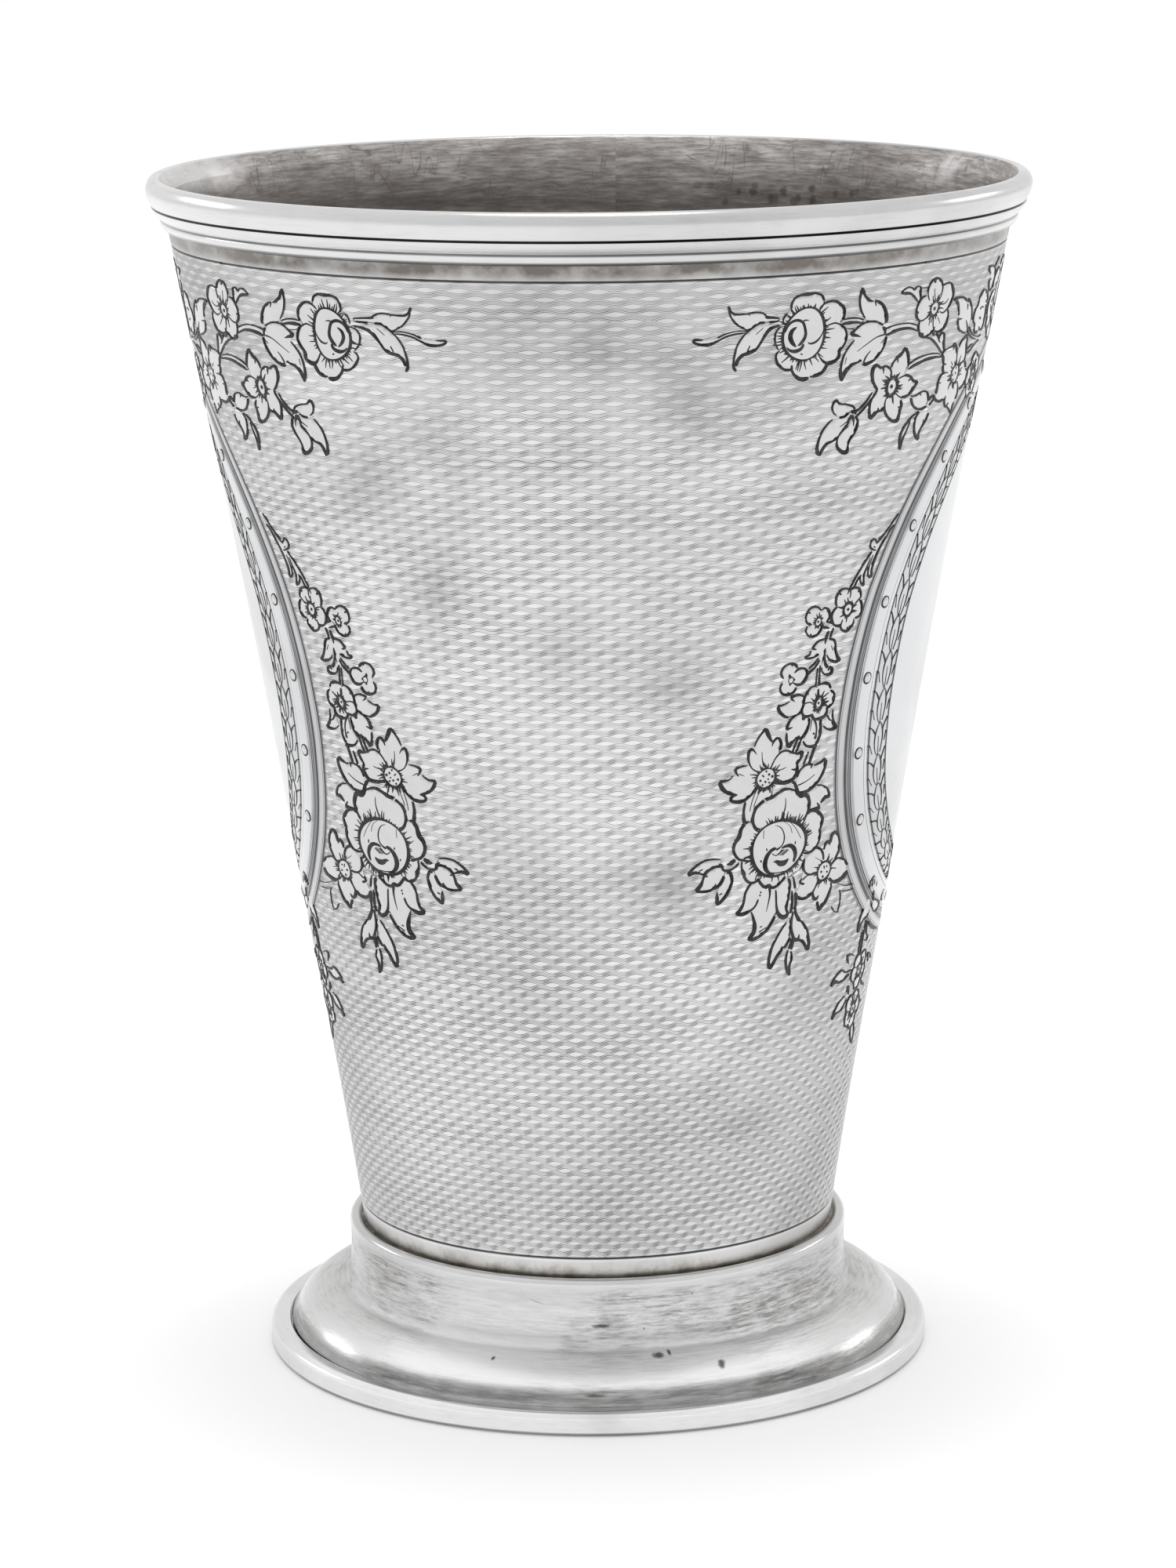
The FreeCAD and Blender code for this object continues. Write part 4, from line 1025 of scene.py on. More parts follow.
# ------------------------------------------------------------------ engraving: drawing
# Garland of the right half of the front, drawn out flat: u is the angle round the beaker (in radians)
# times 33 mm, and z the height in mm.
#   s widths|points            cut stroke          e width|centre radii angles   cut along an oval
#   h centre radii angles count lengths width      shading cuts outward from an oval
#   d centre radius            punched dot         p points / P strokes          bright petal or leaf
GARLAND = """
@A1
s .3 .25 .2 .1 .1 .12 .12|10.17,110.9 10.33,110.4 10.7,110.12 11.7,110.1 12.5,110.2 13.05,110.05 13.3,109.8
s .3 .2 .12|13.2,109.68 13.8,109.6 14.4,109.5
s .1|10.2,110.4 10.4,109.8 10.8,109.2 11.3,108.8 11.85,108.45
s .08 .05|11.8,110.1 11.9,109.88
p 10.17,110.9 10.33,110.4 10.7,110.12 11.7,110.1 12.5,110.2 13.05,110.05 13.3,109.8 14.4,109.5 14.4,109.2 13.2,109.15 12.7,109.1 12.05,108.6 11.85,108.45 11.3,108.8 10.8,109.2 10.4,109.8
@A2
s .1 .1 .1 .1 .12 .15 .2 .25 .3|13.2,109.15 12.7,109.1 12.05,108.6 11.5,108.0 11.05,107.1 10.9,106.3 10.85,105.7 10.9,105.05 11.1,104.7
s .12 .2 .25 .25 .12 .12 .2 .25 .2 .3 .3|14.5,108.8 14.05,108.72 13.6,108.45 13.3,108.0 13.05,107.4 12.8,106.9 12.5,106.55 12.05,106.35 11.6,106.2 11.2,105.8 11.05,105.2
s .1 .08|12.1,107.1 11.9,106.5
s .04|13.1,108.7 12.5,108.1
s .07|13.6,109.1 14.3,109.2
P 0 ~1
@A3
s .3 .2 .15 .2 .12 .12 .12 .1|7.5,107.83 7.67,107.55 8.17,107.33 8.83,107.33 9.4,107.6 10.05,108.0 10.83,108.22 11.55,108.28
s .2 .08|7.55,107.87 8.3,107.83
s .15 .06 .05 .05|9.45,107.95 10.15,108.33 10.95,108.52 11.7,108.47
p 7.5,107.83 7.67,107.55 8.17,107.33 8.83,107.33 9.4,107.6 10.05,108.0 10.83,108.22 11.55,108.28 11.7,108.47 10.95,108.52 10.15,108.33 9.45,107.95 8.9,107.98 8.3,107.85
@R1
e .22|16.7,107.8 1.87,2.5 0,360
h 16.7,107.8 1.87,2.5 0,360 64 .15,.55 .08
s .15 .25 .3 .3 .3 .35 .4 .2|14.95,108.1 15.28,108.9 15.83,109.2 16.4,109.0 16.7,108.3 16.78,107.67 16.55,107.1 16.2,106.75
s .12 .35 .4 .35 .15|15.94,108.55 15.55,108.2 15.45,107.65 15.67,107.1 16.05,106.67
s .1 .25 .35 .3 .25|15.2,106.7 15.55,106.35 16.05,106.25 16.5,106.45 16.7,106.9
s .12 .15 .06|16.4,109.0 16.6,109.15 17.0,109.1
s .08 .1 .12 .2 .15 .08|18.28,108.65 18.4,108.1 18.17,107.45 17.78,107.0 17.28,106.87 17.05,107.05
s .15|16.5,105.97 16.7,105.88
s .2 .15 .15 .15 .28 .15 .12 .1|15.33,110.33 15.35,110.78 15.55,111.28 16.05,111.55 16.7,111.6 17.45,111.65 17.95,111.4 18.2,110.9
s .2|15.33,110.33 15.4,110.0
s .1 .15 .15 .2 .3 .2 .12 .15 .12|17.78,110.17 18.28,110.6 18.9,110.77 19.4,110.67 19.72,110.4 20.05,110.17 20.25,109.8 20.25,109.2 20.15,108.87
s .1 .12 .15 .15 .15 .12 .12 .1 .15 .3 .3 .25 .35 .25 .12 .1|18.5,108.4 18.95,108.55 19.4,108.65 19.83,108.5 20.28,108.27 20.6,107.78 20.75,107.2 20.67,106.67 20.4,106.2 20.17,105.9 20.17,105.33 19.83,104.95 19.28,104.78 18.7,105.05 18.28,105.55 18.05,105.9
s .2 .2 .2 .3 .35 .15|15.83,104.95 15.9,104.4 16.17,103.95 16.55,103.6 17.05,103.47 17.5,103.57
s .15 .2 .25 .3 .3|17.6,103.67 18.17,103.7 18.67,103.95 19.0,104.45 19.1,104.78
s .1 .15 .15 .3 .2 .15 .1|14.67,106.42 14.4,106.1 14.38,105.67 14.55,105.2 14.9,104.78 15.33,104.47 15.8,104.45
s .08 .08 .1 .2 .1 .1|14.83,108.72 14.4,108.55 14.17,108.1 14.15,107.55 14.28,106.95 14.55,106.45
s .15 .12 .06|15.05,109.9 14.78,109.55 14.7,108.95
p 15.33,110.33 15.35,110.78 15.55,111.28 16.05,111.55 16.7,111.6 17.45,111.65 17.95,111.4 18.2,110.9 18.28,110.6 18.83,110.78 19.4,110.67 20.05,110.17 20.25,109.8 20.25,109.2 20.15,108.87 19.83,108.5 20.28,108.27 20.6,107.78 20.75,107.2 20.67,106.67 20.4,106.2 20.17,105.9 20.17,105.33 19.83,104.95 19.28,104.78 19.1,104.6 18.67,103.95 18.17,103.7 17.5,103.57 17.05,103.47 16.55,103.6 16.17,103.95 15.9,104.4 15.33,104.47 14.9,104.78 14.55,105.2 14.38,105.67 14.4,106.1 14.55,106.45 14.28,106.95 14.15,107.55 14.17,108.1 14.4,108.55 14.7,108.95 14.78,109.55 15.05,109.9
@B1
s .3 .2 .12 .15 .12 .08|21.8,111.72 21.63,111.22 21.6,110.6 21.72,109.95 21.95,109.4 22.37,108.78
s .3 .2 .2 .2 .05|21.83,111.55 22.05,111.0 22.4,110.67 22.7,110.45 23.05,110.37
s .15 .05|23.2,110.33 23.33,109.85
s .12 .2 .2 .2 .3 .35|23.22,110.4 23.72,110.2 24.2,109.78 24.55,109.2 24.72,108.55 24.67,108.13
s .06 .03|24.4,108.9 24.6,108.3
p 21.8,111.72 21.63,111.22 21.6,110.6 21.72,109.95 21.95,109.4 22.37,108.78 22.7,108.42 24.4,107.95 24.67,108.13 24.72,108.55 24.55,109.2 24.2,109.78 23.72,110.2 23.22,110.4 22.7,110.45 22.4,110.67 22.05,111.0
@B2
s .35 .15 .12 .12 .12 .15 .1|21.1,107.4 21.55,107.8 22.05,108.2 22.7,108.42 23.4,108.4 24.0,108.2 24.4,107.95
s .4 .25 .05|21.15,107.38 21.72,107.22 22.17,107.05
s .06 .1 .12 .15 .2 .35 .2|21.55,106.78 21.1,106.2 20.78,105.67 20.6,105.0 20.52,104.2 20.6,103.55 20.75,102.95
s .2 .4 .35 .25 .12 .05|20.75,102.95 20.9,103.55 21.17,104.0 21.6,104.4 22.17,104.58 22.6,104.72
s .15 .15 .06|22.78,104.33 22.95,105.0 23.4,105.6
s .3 .2 .15 .15 .12 .1|22.78,104.3 23.4,104.35 24.05,104.72 24.6,105.33 24.92,106.0 25.03,106.78
s .15 .1 .08 .03|24.67,107.0 23.83,106.83 22.95,106.33 21.95,105.67
s .08 .04|24.9,106.67 24.4,106.2
s .2 .25 .2|24.5,107.75 24.7,107.5 24.7,107.0
s .06|20.85,104.55 20.95,105.2
p 21.1,107.4 21.55,107.8 22.05,108.2 22.7,108.42 23.4,108.4 24.0,108.2 24.4,107.95 24.8,107.4 25.03,106.78 24.92,106.0 24.6,105.33 24.05,104.72 23.4,104.35 22.78,104.3 22.6,104.72 22.17,104.58 21.6,104.4 21.17,104.0 20.9,103.55 20.75,102.95 20.6,103.55 20.52,104.2 20.6,105.0 20.78,105.67 21.1,106.2 21.55,106.78
@ST1
s .1 .1 .1 .06|20.15,108.87 20.95,108.95 21.72,108.87 22.33,108.67
s .2 .3 .2 .1|20.17,108.47 20.83,108.53 21.5,108.5 22.17,108.33
s .06 .06 .04|20.28,108.2 20.8,107.95 21.45,107.9
P 0 ~1
@ST2
s .12 .1 .08 .08 .08 .06|24.83,107.55 25.6,107.75 26.5,107.83 27.4,107.8 28.05,107.65 28.78,107.4
s .2 .25 .25 .22 .18 .12|24.95,106.9 25.6,107.1 26.5,107.28 27.4,107.28 28.05,107.13 28.83,106.83
P 0 ~1
@D
s .2 .12 .12 .12 .12 .15 .1 .1 .12 .12 .08|26.05,110.72 26.17,111.0 26.5,111.22 26.95,111.28 27.4,111.1 27.55,110.95 27.72,111.17 28.05,111.25 28.33,111.1 28.37,110.67 28.55,110.1
s .2 .25 .22 .18 .1|26.05,110.75 26.6,110.72 27.28,110.53 27.83,110.1 28.33,109.6
s .06|28.4,111.02 29.3,110.97
P 0 ~1
@C
e .14|30.62,108.82 .55,.62 0,360
d 30.6,108.8 .19
h 30.62,108.82 .6,.68 0,360 26 .15,.5 .09
s .1 .12 .12 .12 .15 .25 .15 .12 .12 .15 .08|29.72,109.67 29.45,110.1 29.33,110.67 29.45,111.22 29.78,111.6 30.28,111.75 30.6,111.7 31.05,111.4 31.33,110.9 31.33,110.33 31.28,109.9
s .15 .3 .1|29.85,111.7 30.1,111.5 30.15,111.3
s .04 .07 .1|30.17,110.78 30.33,110.1 30.6,109.55
s .1 .12 .15 .12 .3 .2 .15 .15 .15 .15 .1|31.33,110.9 31.72,111.02 32.17,111.1 32.67,110.95 33.0,110.5 33.28,109.95 33.2,109.33 32.9,108.78 32.4,108.4 31.9,108.23 31.45,108.45
s .15 .12 .08 .03|31.2,109.33 31.7,109.1 32.2,109.2 32.5,109.55
s .15 .12 .15 .25 .2 .12 .12 .1 .1 .12|32.72,108.45 32.95,108.0 33.0,107.45 32.83,106.9 32.5,106.55 31.95,106.35 31.4,106.45 31.0,106.78 30.78,107.2 30.67,107.78
s .3 .1|32.9,107.0 32.5,106.9
s .1 .03|31.28,107.9 31.83,107.2
s .1 .12 .15 .3 .15 .12 .1 .1|28.83,107.78 28.83,107.33 29.0,106.78 29.33,106.33 30.05,106.1 30.5,106.33 30.95,106.6 31.1,107.0
s .2 .3 .1|29.1,106.6 29.5,106.4 29.6,106.55
s .2 .04|30.2,108.2 30.17,107.2
s .1 .12 .15 .12 .25 .25 .15 .12 .12|29.22,110.22 28.72,110.05 28.4,109.67 28.2,109.1 28.25,108.55 28.5,108.05 28.95,107.8 29.5,107.95 29.95,108.28
s .3 .1|28.3,108.75 28.5,108.6
p 29.33,110.67 29.45,111.22 29.78,111.6 30.28,111.75 30.6,111.7 31.05,111.4 31.33,110.9 31.72,111.02 32.17,111.1 32.67,110.95 33.0,110.5 33.28,109.95 33.2,109.33 32.9,108.78 32.72,108.45 32.95,108.0 33.0,107.45 32.83,106.9 32.5,106.55 31.95,106.35 31.4,106.45 30.95,106.6 30.5,106.33 30.05,106.1 29.33,106.33 29.0,106.78 28.83,107.33 28.83,107.78 28.5,108.05 28.25,108.55 28.2,109.1 28.4,109.67 28.72,110.05 29.22,110.22
@BUD
s .12 .2 .2 .15 .12|29.95,106.1 30.72,105.9 31.5,105.45 32.28,104.83 33.1,104.1
s .25 .1|30.95,106.55 31.3,106.05
s .15 .2 .15 .05|31.55,106.38 31.9,106.0 32.2,105.45 32.45,105.28
s .1 .15 .15 .15 .3 .25 .1|32.17,105.67 32.2,106.0 32.55,106.22 32.9,106.05 33.0,105.45 33.17,104.9 33.4,104.4
p 31.3,106.3 31.9,106.0 32.2,106.0 32.55,106.22 32.9,106.05 33.0,105.45 33.17,104.9 33.4,104.4 33.1,104.1 32.28,104.83 31.5,105.45 30.72,105.9
@E
e .12|26.5,101.78 .55,.72 0,360
d 26.45,101.8 .2
e .2|26.5,101.78 .68,.88 0,360
h 26.5,101.78 .7,.9 0,360 26 .15,.5 .12
s .2 .2 .25 .3 .3 .2 .2 .15 .1 .12 .15 .15 .15|24.83,101.67 24.4,102.17 24.1,102.72 23.97,103.35 24.05,103.9 24.4,104.1 24.67,103.9 25.05,103.78 25.5,103.9 25.9,103.67 26.17,103.22 26.22,102.85 26.25,102.55
s .2 .04|25.17,103.72 25.25,103.17
s .1 .12 .25 .3 .25 .25 .2 .2 .15|26.1,103.67 26.33,104.22 26.67,104.55 27.0,104.72 27.28,105.05 27.55,105.33 27.95,104.9 28.2,104.22 28.28,103.55
s .2 .05|26.75,104.45 26.78,104.05
s .12 .12 .15 .2 .12 .3 .25 .2 .2 .15 .1 .12|27.17,102.45 27.72,102.62 28.28,102.67 28.83,102.45 29.33,102.0 29.85,101.78 29.6,101.4 29.17,100.83 28.6,100.55 27.95,100.55 27.4,100.83 27.05,101.17
s .2 .06|28.95,102.33 28.55,102.05
s .12 .03|27.4,101.67 27.95,101.48
s .1 .2 .2 .35 .3 .25 .2 .2 .15 .1 .1|28.0,100.28 28.2,99.83 28.1,99.28 28.0,98.72 27.95,98.33 27.4,98.28 26.83,98.6 26.28,99.17 26.0,99.83 25.97,100.5 26.17,100.9
s .1 .3|27.7,99.65 28.1,99.55
s .25 .05|26.72,100.95 26.9,100.17
s .15 .12 .2 .2 .3 .3 .35 .15 .2 .1|24.83,101.67 24.5,101.17 24.22,100.55 24.22,99.83 24.33,99.28 24.5,98.97 24.9,99.33 25.28,99.5 25.83,99.6 25.97,99.95
s .12 .2|25.22,99.9 25.28,99.55
s .05 .3|25.17,101.75 26.0,101.77
p 24.83,101.67 24.4,102.17 24.1,102.72 23.97,103.35 24.05,103.9 24.4,104.1 25.05,103.78 25.5,103.9 25.9,103.67 26.1,103.67 26.33,104.22 26.67,104.55 27.0,104.72 27.55,105.33 27.95,104.9 28.2,104.22 28.28,103.55 28.0,102.9 28.28,102.67 28.83,102.45 29.33,102.0 29.85,101.78 29.6,101.4 29.17,100.83 28.6,100.55 28.0,100.5 28.2,99.83 28.1,99.28 27.95,98.33 27.4,98.28 26.83,98.6 26.28,99.17 25.97,99.8 25.83,99.6 25.28,99.5 24.9,99.33 24.5,98.97 24.33,99.28 24.22,99.83 24.22,100.55 24.5,101.17
@ST3
s .1 .1 .1 .1 .1 .1 .05|28.33,103.7 28.95,104.0 29.6,104.18 30.3,104.3 31.0,104.36 31.8,104.33 32.72,104.17
s .1 .25 .25 .25 .25 .2 .12|28.33,103.22 29.05,103.5 29.5,103.6 30.28,103.8 31.17,103.9 32.17,103.9 33.05,103.8
P 0 ~1
@ST4
s .06 .15 .2 .2 .2|24.28,101.5 23.95,100.95 23.5,100.4 22.95,99.95 22.3,99.7
s .1 .15 .2 .2 .2|24.83,101.55 24.4,100.95 23.83,100.28 23.28,99.72 22.72,99.22
P 0 ~1
@F1
s .25 .2 .12 .12 .15 .15|20.48,101.22 20.72,100.9 21.17,100.7 21.95,100.55 22.4,100.33 22.6,99.95
s .25 .2 .15 .12 .05|20.45,101.15 20.2,100.83 20.17,100.4 20.33,99.95 20.67,99.6
s .1 .12 .08|21.05,99.37 21.5,99.4 21.95,99.67
s .1 .3|22.17,100.0 22.78,99.6
p 20.48,101.22 20.72,100.9 21.17,100.7 21.95,100.55 22.4,100.33 22.6,99.95 21.95,99.67 21.5,99.4 21.05,99.37 20.67,99.6 20.33,99.95 20.17,100.4 20.2,100.83
@F2
s .08 .12 .15 .15 .25 .35 .1|20.33,99.33 19.83,98.83 19.45,98.28 19.2,97.5 19.1,96.72 19.22,96.17 19.5,95.9
s .15 .3 .2 .12 .1|19.5,95.9 19.67,96.5 20.05,96.95 20.6,97.15 21.17,97.45
s .1 .03|22.17,99.1 21.17,98.5
p 20.33,99.33 19.83,98.83 19.45,98.28 19.2,97.5 19.1,96.72 19.22,96.17 19.5,95.9 19.67,96.5 20.05,96.95 20.6,97.15 21.17,97.45 22.1,98.6 22.3,99.4 21.3,99.4
@F3
s .3 .15 .1 .12 .25 .3 .35 .3|22.05,98.6 21.5,98.05 21.17,97.6 21.08,97.05 21.22,96.5 21.67,96.05 22.17,95.9 22.45,96.17
s .2 .12 .12 .15 .25 .2 .15|22.45,96.17 22.33,96.6 22.5,97.1 22.9,97.72 23.1,98.4 23.0,99.05 22.78,99.28
s .2 .3 .35 .2 .05|21.95,98.6 22.1,99.17 22.33,99.4 22.55,99.05 22.63,98.4
P 0 1
@G
e .22|36.28,101.72 .78,.88 0,360
d 36.3,102.3 .12
d 35.83,101.67 .12
d 36.35,101.78 .12
d 36.1,101.17 .12
h 36.28,101.72 .8,.9 0,360 22 .15,.5 .1
s .2 .15 .12 .1 .3 .3 .15 .15 .25|33.1,104.05 33.6,104.4 34.28,104.53 34.83,104.58 35.22,104.75 35.6,104.45 35.9,103.95 36.05,103.33 36.1,102.67
s .2 .3 .12 .25 .15|33.1,104.05 33.45,103.67 33.67,103.0 33.78,102.45 34.17,102.05
s .3 .05|33.67,103.0 34.17,102.97
s .2 .05|35.1,104.65 35.1,104.2
s .05 .12|35.05,103.1 35.4,102.67
s .08 .12 .2 .3 .2 .25 .2 .1|36.17,104.33 36.45,104.78 36.95,105.08 37.67,105.22 37.78,104.55 38.0,103.95 38.05,103.33 38.05,102.8
s .25 .2 .2 .2 .2|36.83,102.22 37.28,102.6 37.83,102.75 38.4,102.5 38.67,102.05
s .08 .15 .2 .2 .2 .15|38.72,101.85 39.33,101.67 39.6,101.28 39.4,100.7 38.83,100.17 38.05,99.92
s .2 .1|35.55,100.83 35.4,100.28
s .12 .2 .2 .2|35.17,99.72 35.15,99.28 35.33,98.83 35.72,98.5
s .3 .08|35.7,98.5 36.0,98.95
s .12 .15 .3 .35 .15|36.1,98.45 36.6,98.1 37.05,97.85 37.1,98.4 37.33,98.78
s .3 .25 .15 .12 .12|37.45,99.1 37.72,99.5 37.67,100.05 37.4,100.5 37.05,100.9
s .4 .05|36.17,100.83 36.33,100.28
s .1 .12 .2 .2 .3 .3|34.83,102.05 34.17,102.08 33.6,101.9 33.33,101.4 33.33,100.6 33.28,100.17
s .2 .05|33.33,101.22 33.83,101.2
s .2 .3 .25 .2 .1|32.83,100.17 33.17,99.72 33.72,99.4 34.28,99.3 34.95,99.4
s .15 .04|37.28,101.6 37.95,101.4
p 33.1,104.05 33.6,104.4 34.28,104.53 34.83,104.58 35.22,104.75 35.6,104.45 35.9,103.95 36.17,104.33 36.45,104.78 36.95,105.08 37.67,105.22 37.78,104.55 38.0,103.95 38.05,103.33 38.0,102.75 38.4,102.5 38.72,101.9 39.33,101.67 39.6,101.28 39.4,100.7 38.83,100.17 38.05,99.92 37.7,100.05 37.72,99.5 37.45,99.1 37.1,98.4 37.05,97.85 36.6,98.1 36.1,98.45 35.72,98.5 35.33,98.83 35.15,99.28 34.95,99.4 34.28,99.3 33.72,99.4 33.17,99.72 33.28,100.17 33.33,100.6 33.33,101.4 33.6,101.9 34.17,102.05 33.78,102.45 33.67,103.0 33.45,103.67
@LF1
s .15 .1 .12 .12 .1 .12 .15 .2|29.35,100.5 30.0,100.45 30.6,100.65 31.2,100.75 31.7,100.6 31.95,100.3 32.1,99.95 32.15,99.7
s .25 .2 .2 .15 .15 .12|29.4,100.3 29.6,99.85 30.0,99.35 30.6,99.05 31.3,98.95 32.0,99.15
s .15 .1|30.6,100.6 30.75,100.35
s .25 .2 .15|32.1,99.7 32.5,99.95 32.9,100.15
s .25 .15|32.4,99.2 33.0,99.65
P 0 ~1
@LF2
s .12 .15 .2 .25 .35|30.9,98.8 30.0,98.4 29.3,97.8 28.75,96.9 28.95,95.35
s .3 .2 .12 .1|28.95,95.5 29.1,96.3 29.5,97.2 29.8,98.0
s .12 .12 .15 .2 .25 .3|31.0,98.7 30.6,98.3 30.55,97.6 30.7,96.9 31.1,96.3 31.55,95.95
s .25 .3 .2 .12 .1|31.6,96.0 31.4,96.5 31.7,97.1 32.3,97.7 32.6,98.4
s .1 .1|31.8,97.9 31.95,97.35
p 30.9,98.8 30.0,98.4 29.3,97.8 28.75,96.9 28.95,95.35 29.1,96.3 29.5,97.2 29.8,98.0 30.6,98.3 31.0,98.7
p 31.0,98.7 30.6,98.3 30.55,97.6 30.7,96.9 31.1,96.3 31.55,95.95 31.4,96.5 31.7,97.1 32.3,97.7 32.6,98.4 32.4,99.0 31.6,98.95
@H
s .2 .25 .15 .12 .08|33.55,109.22 33.95,109.35 34.6,109.38 35.4,109.28 36.1,108.83
s .1 .2 .15 .15 .12 .06|36.28,108.72 36.48,108.95 36.95,108.6 37.45,108.0 37.72,107.33 37.9,106.78
s .15 .04|36.33,108.55 36.48,107.95
s .1 .35 .2 .12|33.72,109.28 34.28,108.9 34.67,108.33 34.95,107.6
s .25 .05|34.9,107.22 35.72,107.17
s .2 .2 .15 .15 .08|34.95,107.1 35.22,106.45 35.72,106.0 36.4,105.72 37.05,105.58
s .05 .2 .25 .2 .15 .12|36.6,106.9 37.05,106.33 37.6,105.67 38.4,105.1 39.17,104.78 40.05,104.6
s .1 .12 .12 .12 .1 .1|37.72,106.1 38.28,105.6 38.95,105.22 39.72,104.92 40.95,104.72 41.7,104.78
p 33.55,109.22 33.95,109.35 34.6,109.38 35.4,109.28 36.1,108.83 36.48,108.95 36.95,108.6 37.45,108.0 37.72,107.33 37.9,106.78 37.6,105.9 37.05,105.58 36.4,105.72 35.72,106.0 35.22,106.45 34.95,107.1 34.95,107.6 34.67,108.33 34.28,108.9
@ST5
s .25 .15 .08|38.05,103.78 38.7,104.0 39.5,104.22
s .2 .2 .15 .12 .08|38.28,103.45 38.95,103.6 39.72,103.95 40.4,104.2 41.28,104.33
P 0 ~1
@I
s .08 .15 .35 .15 .1 .12 .3 .2 .12 .12 .2 .3 .12|40.33,109.4 39.83,109.4 39.45,109.1 39.05,108.78 38.95,108.1 38.5,107.67 38.33,107.0 38.55,106.45 39.0,106.22 39.05,105.78 39.45,105.33 39.9,105.22 40.28,105.33
s .2 .15 .15|39.67,107.55 40.17,107.72 40.72,107.6
s .15 .3|39.83,106.72 40.45,106.55
s .2 .3|41.05,108.1 41.95,108.22
s .25 .2 .2|41.28,107.78 41.55,107.0 41.55,106.1
s .12 .25 .3 .25 .2 .15|40.33,109.4 41.2,108.95 41.8,108.1 41.95,107.1 41.9,106.1 41.6,105.33
s .1 .2 .15|40.33,105.78 40.83,105.4 41.6,105.33
p 40.33,109.4 39.83,109.4 39.45,109.1 39.05,108.78 38.95,108.1 38.5,107.67 38.33,107.0 38.55,106.45 39.0,106.22 39.05,105.78 39.45,105.33 39.9,105.22 40.6,105.4 41.5,105.4 41.9,106.2 41.9,107.2 41.8,108.1 41.2,108.9
@J
s .3 .2 .1|40.17,111.45 40.45,111.6 41.28,111.6
s .3 .1|40.2,111.4 41.05,110.83
s .2 .1|41.0,110.22 41.6,110.3
s .25 .2 .2|41.0,110.2 41.2,109.67 41.7,109.05
s .12 .1 .1|41.28,111.6 42.3,111.3 42.8,110.3
s .1 .1 .12|42.8,110.3 42.3,109.2 41.7,109.05
p 40.17,111.45 40.45,111.6 41.28,111.6 42.3,111.3 42.8,110.3 42.3,109.2 41.7,109.05 41.2,109.67 41.0,110.2 41.05,110.83
@K
s .12 .2 .12|43.75,109.2 44.4,109.5 45.3,109.4
s .35 .2 .1|43.6,107.7 44.2,108.1 44.8,108.2
s .1 .15 .12|43.5,107.5 44.2,106.7 45.3,106.7
s .35 .2 .1|43.6,112.1 42.9,111.9 42.2,111.3
s .15 .08|42.2,111.3 43.0,110.8
s .25 .3 .2|43.0,98.8 44.5,98.5 46.0,98.4
d 42.8,97.8 .16
s .12 .15 .1|45.3,101.6 46.6,101.5 48.0,101.2
@N1
e .12|25.08,80.13 .5,.6 0,360
d 25.08,80.13 .16
h 25.08,80.13 .55,.65 0,360 30 .12,.42 .1
s .12 .2 .2 .2 .12 .12 .12 .08|23.6,80.6 23.4,81.1 23.44,81.67 23.83,82.17 24.33,82.3 24.9,82.17 25.13,81.9 25.1,81.2
s .35 .1|23.75,81.9 23.95,81.7
s .12 .15 .25 .12 .1|25.17,82.05 25.67,82.2 26.22,82.05 26.55,81.67 26.67,81.2
s .3 .1|26.25,81.95 26.15,81.65
s .1 .15|26.67,81.2 25.9,80.55
s .15 .12 .12 .2 .1|26.72,80.83 27.0,80.33 27.02,79.67 26.78,79.22 26.22,79.05
s .08 .12 .12 .2 .2 .15 .12 .1|26.05,79.05 26.1,78.55 25.78,78.17 25.33,77.9 24.78,78.05 24.4,78.5 24.44,78.78 24.55,79.2
s .3|25.25,78.2 25.5,78.25
s .12 .15 .2 .25 .15 .15 .2|23.67,80.55 23.28,80.22 23.1,79.78 23.22,79.22 23.55,78.78 24.0,78.58 24.44,78.67
s .1 .2|23.67,80.55 24.4,80.35
p 23.6,80.6 23.4,81.1 23.44,81.67 23.83,82.17 24.33,82.3 24.9,82.17 25.17,82.05 25.67,82.2 26.22,82.05 26.55,81.67 26.67,81.2 26.72,80.83 27.0,80.33 27.02,79.67 26.78,79.22 26.22,79.05 26.1,78.55 25.78,78.17 25.33,77.9 24.78,78.05 24.4,78.5 24.0,78.58 23.55,78.78 23.22,79.22 23.1,79.78 23.28,80.22
@N2
e .12|21.53,79.36 .34,.44 0,360
d 21.5,79.38 .12
h 21.53,79.36 .36,.46 0,360 16 .1,.3 .08
s .12 .12 .12 .15 .15 .15 .12 .1 .1 .2 .15 .12 .12|20.83,79.17 20.33,79.28 20.05,79.78 20.1,80.33 20.39,80.78 20.94,80.95 21.44,80.8 21.72,80.5 22.1,80.67 22.55,80.5 22.83,80.1 22.87,79.67 22.6,79.22
s .3 .1|20.25,80.5 20.5,80.3
s .3 .1|22.65,80.4 22.45,80.2
s .12 .15 .15 .2 .12 .12 .12 .1|20.33,79.05 20.2,78.55 20.33,78.33 20.67,78.0 21.22,77.9 21.78,78.17 22.05,78.67 21.78,79.0
s .25|20.75,78.1 20.9,78.2
s .2|22.6,79.22 23.33,79.0
s .25 .15|22.1,78.78 23.0,78.55
p 20.83,79.17 20.33,79.28 20.05,79.78 20.1,80.33 20.39,80.78 20.94,80.95 21.44,80.8 21.72,80.5 22.1,80.67 22.55,80.5 22.83,80.1 22.87,79.67 22.6,79.22 22.1,78.9 22.05,78.67 21.78,78.17 21.22,77.9 20.67,78.0 20.33,78.33 20.2,78.55 20.33,79.05
@SCROLL
s .12 .15 .15 .3 .2|30.44,88.83 29.78,88.17 29.0,87.33 28.22,86.67 27.67,86.28
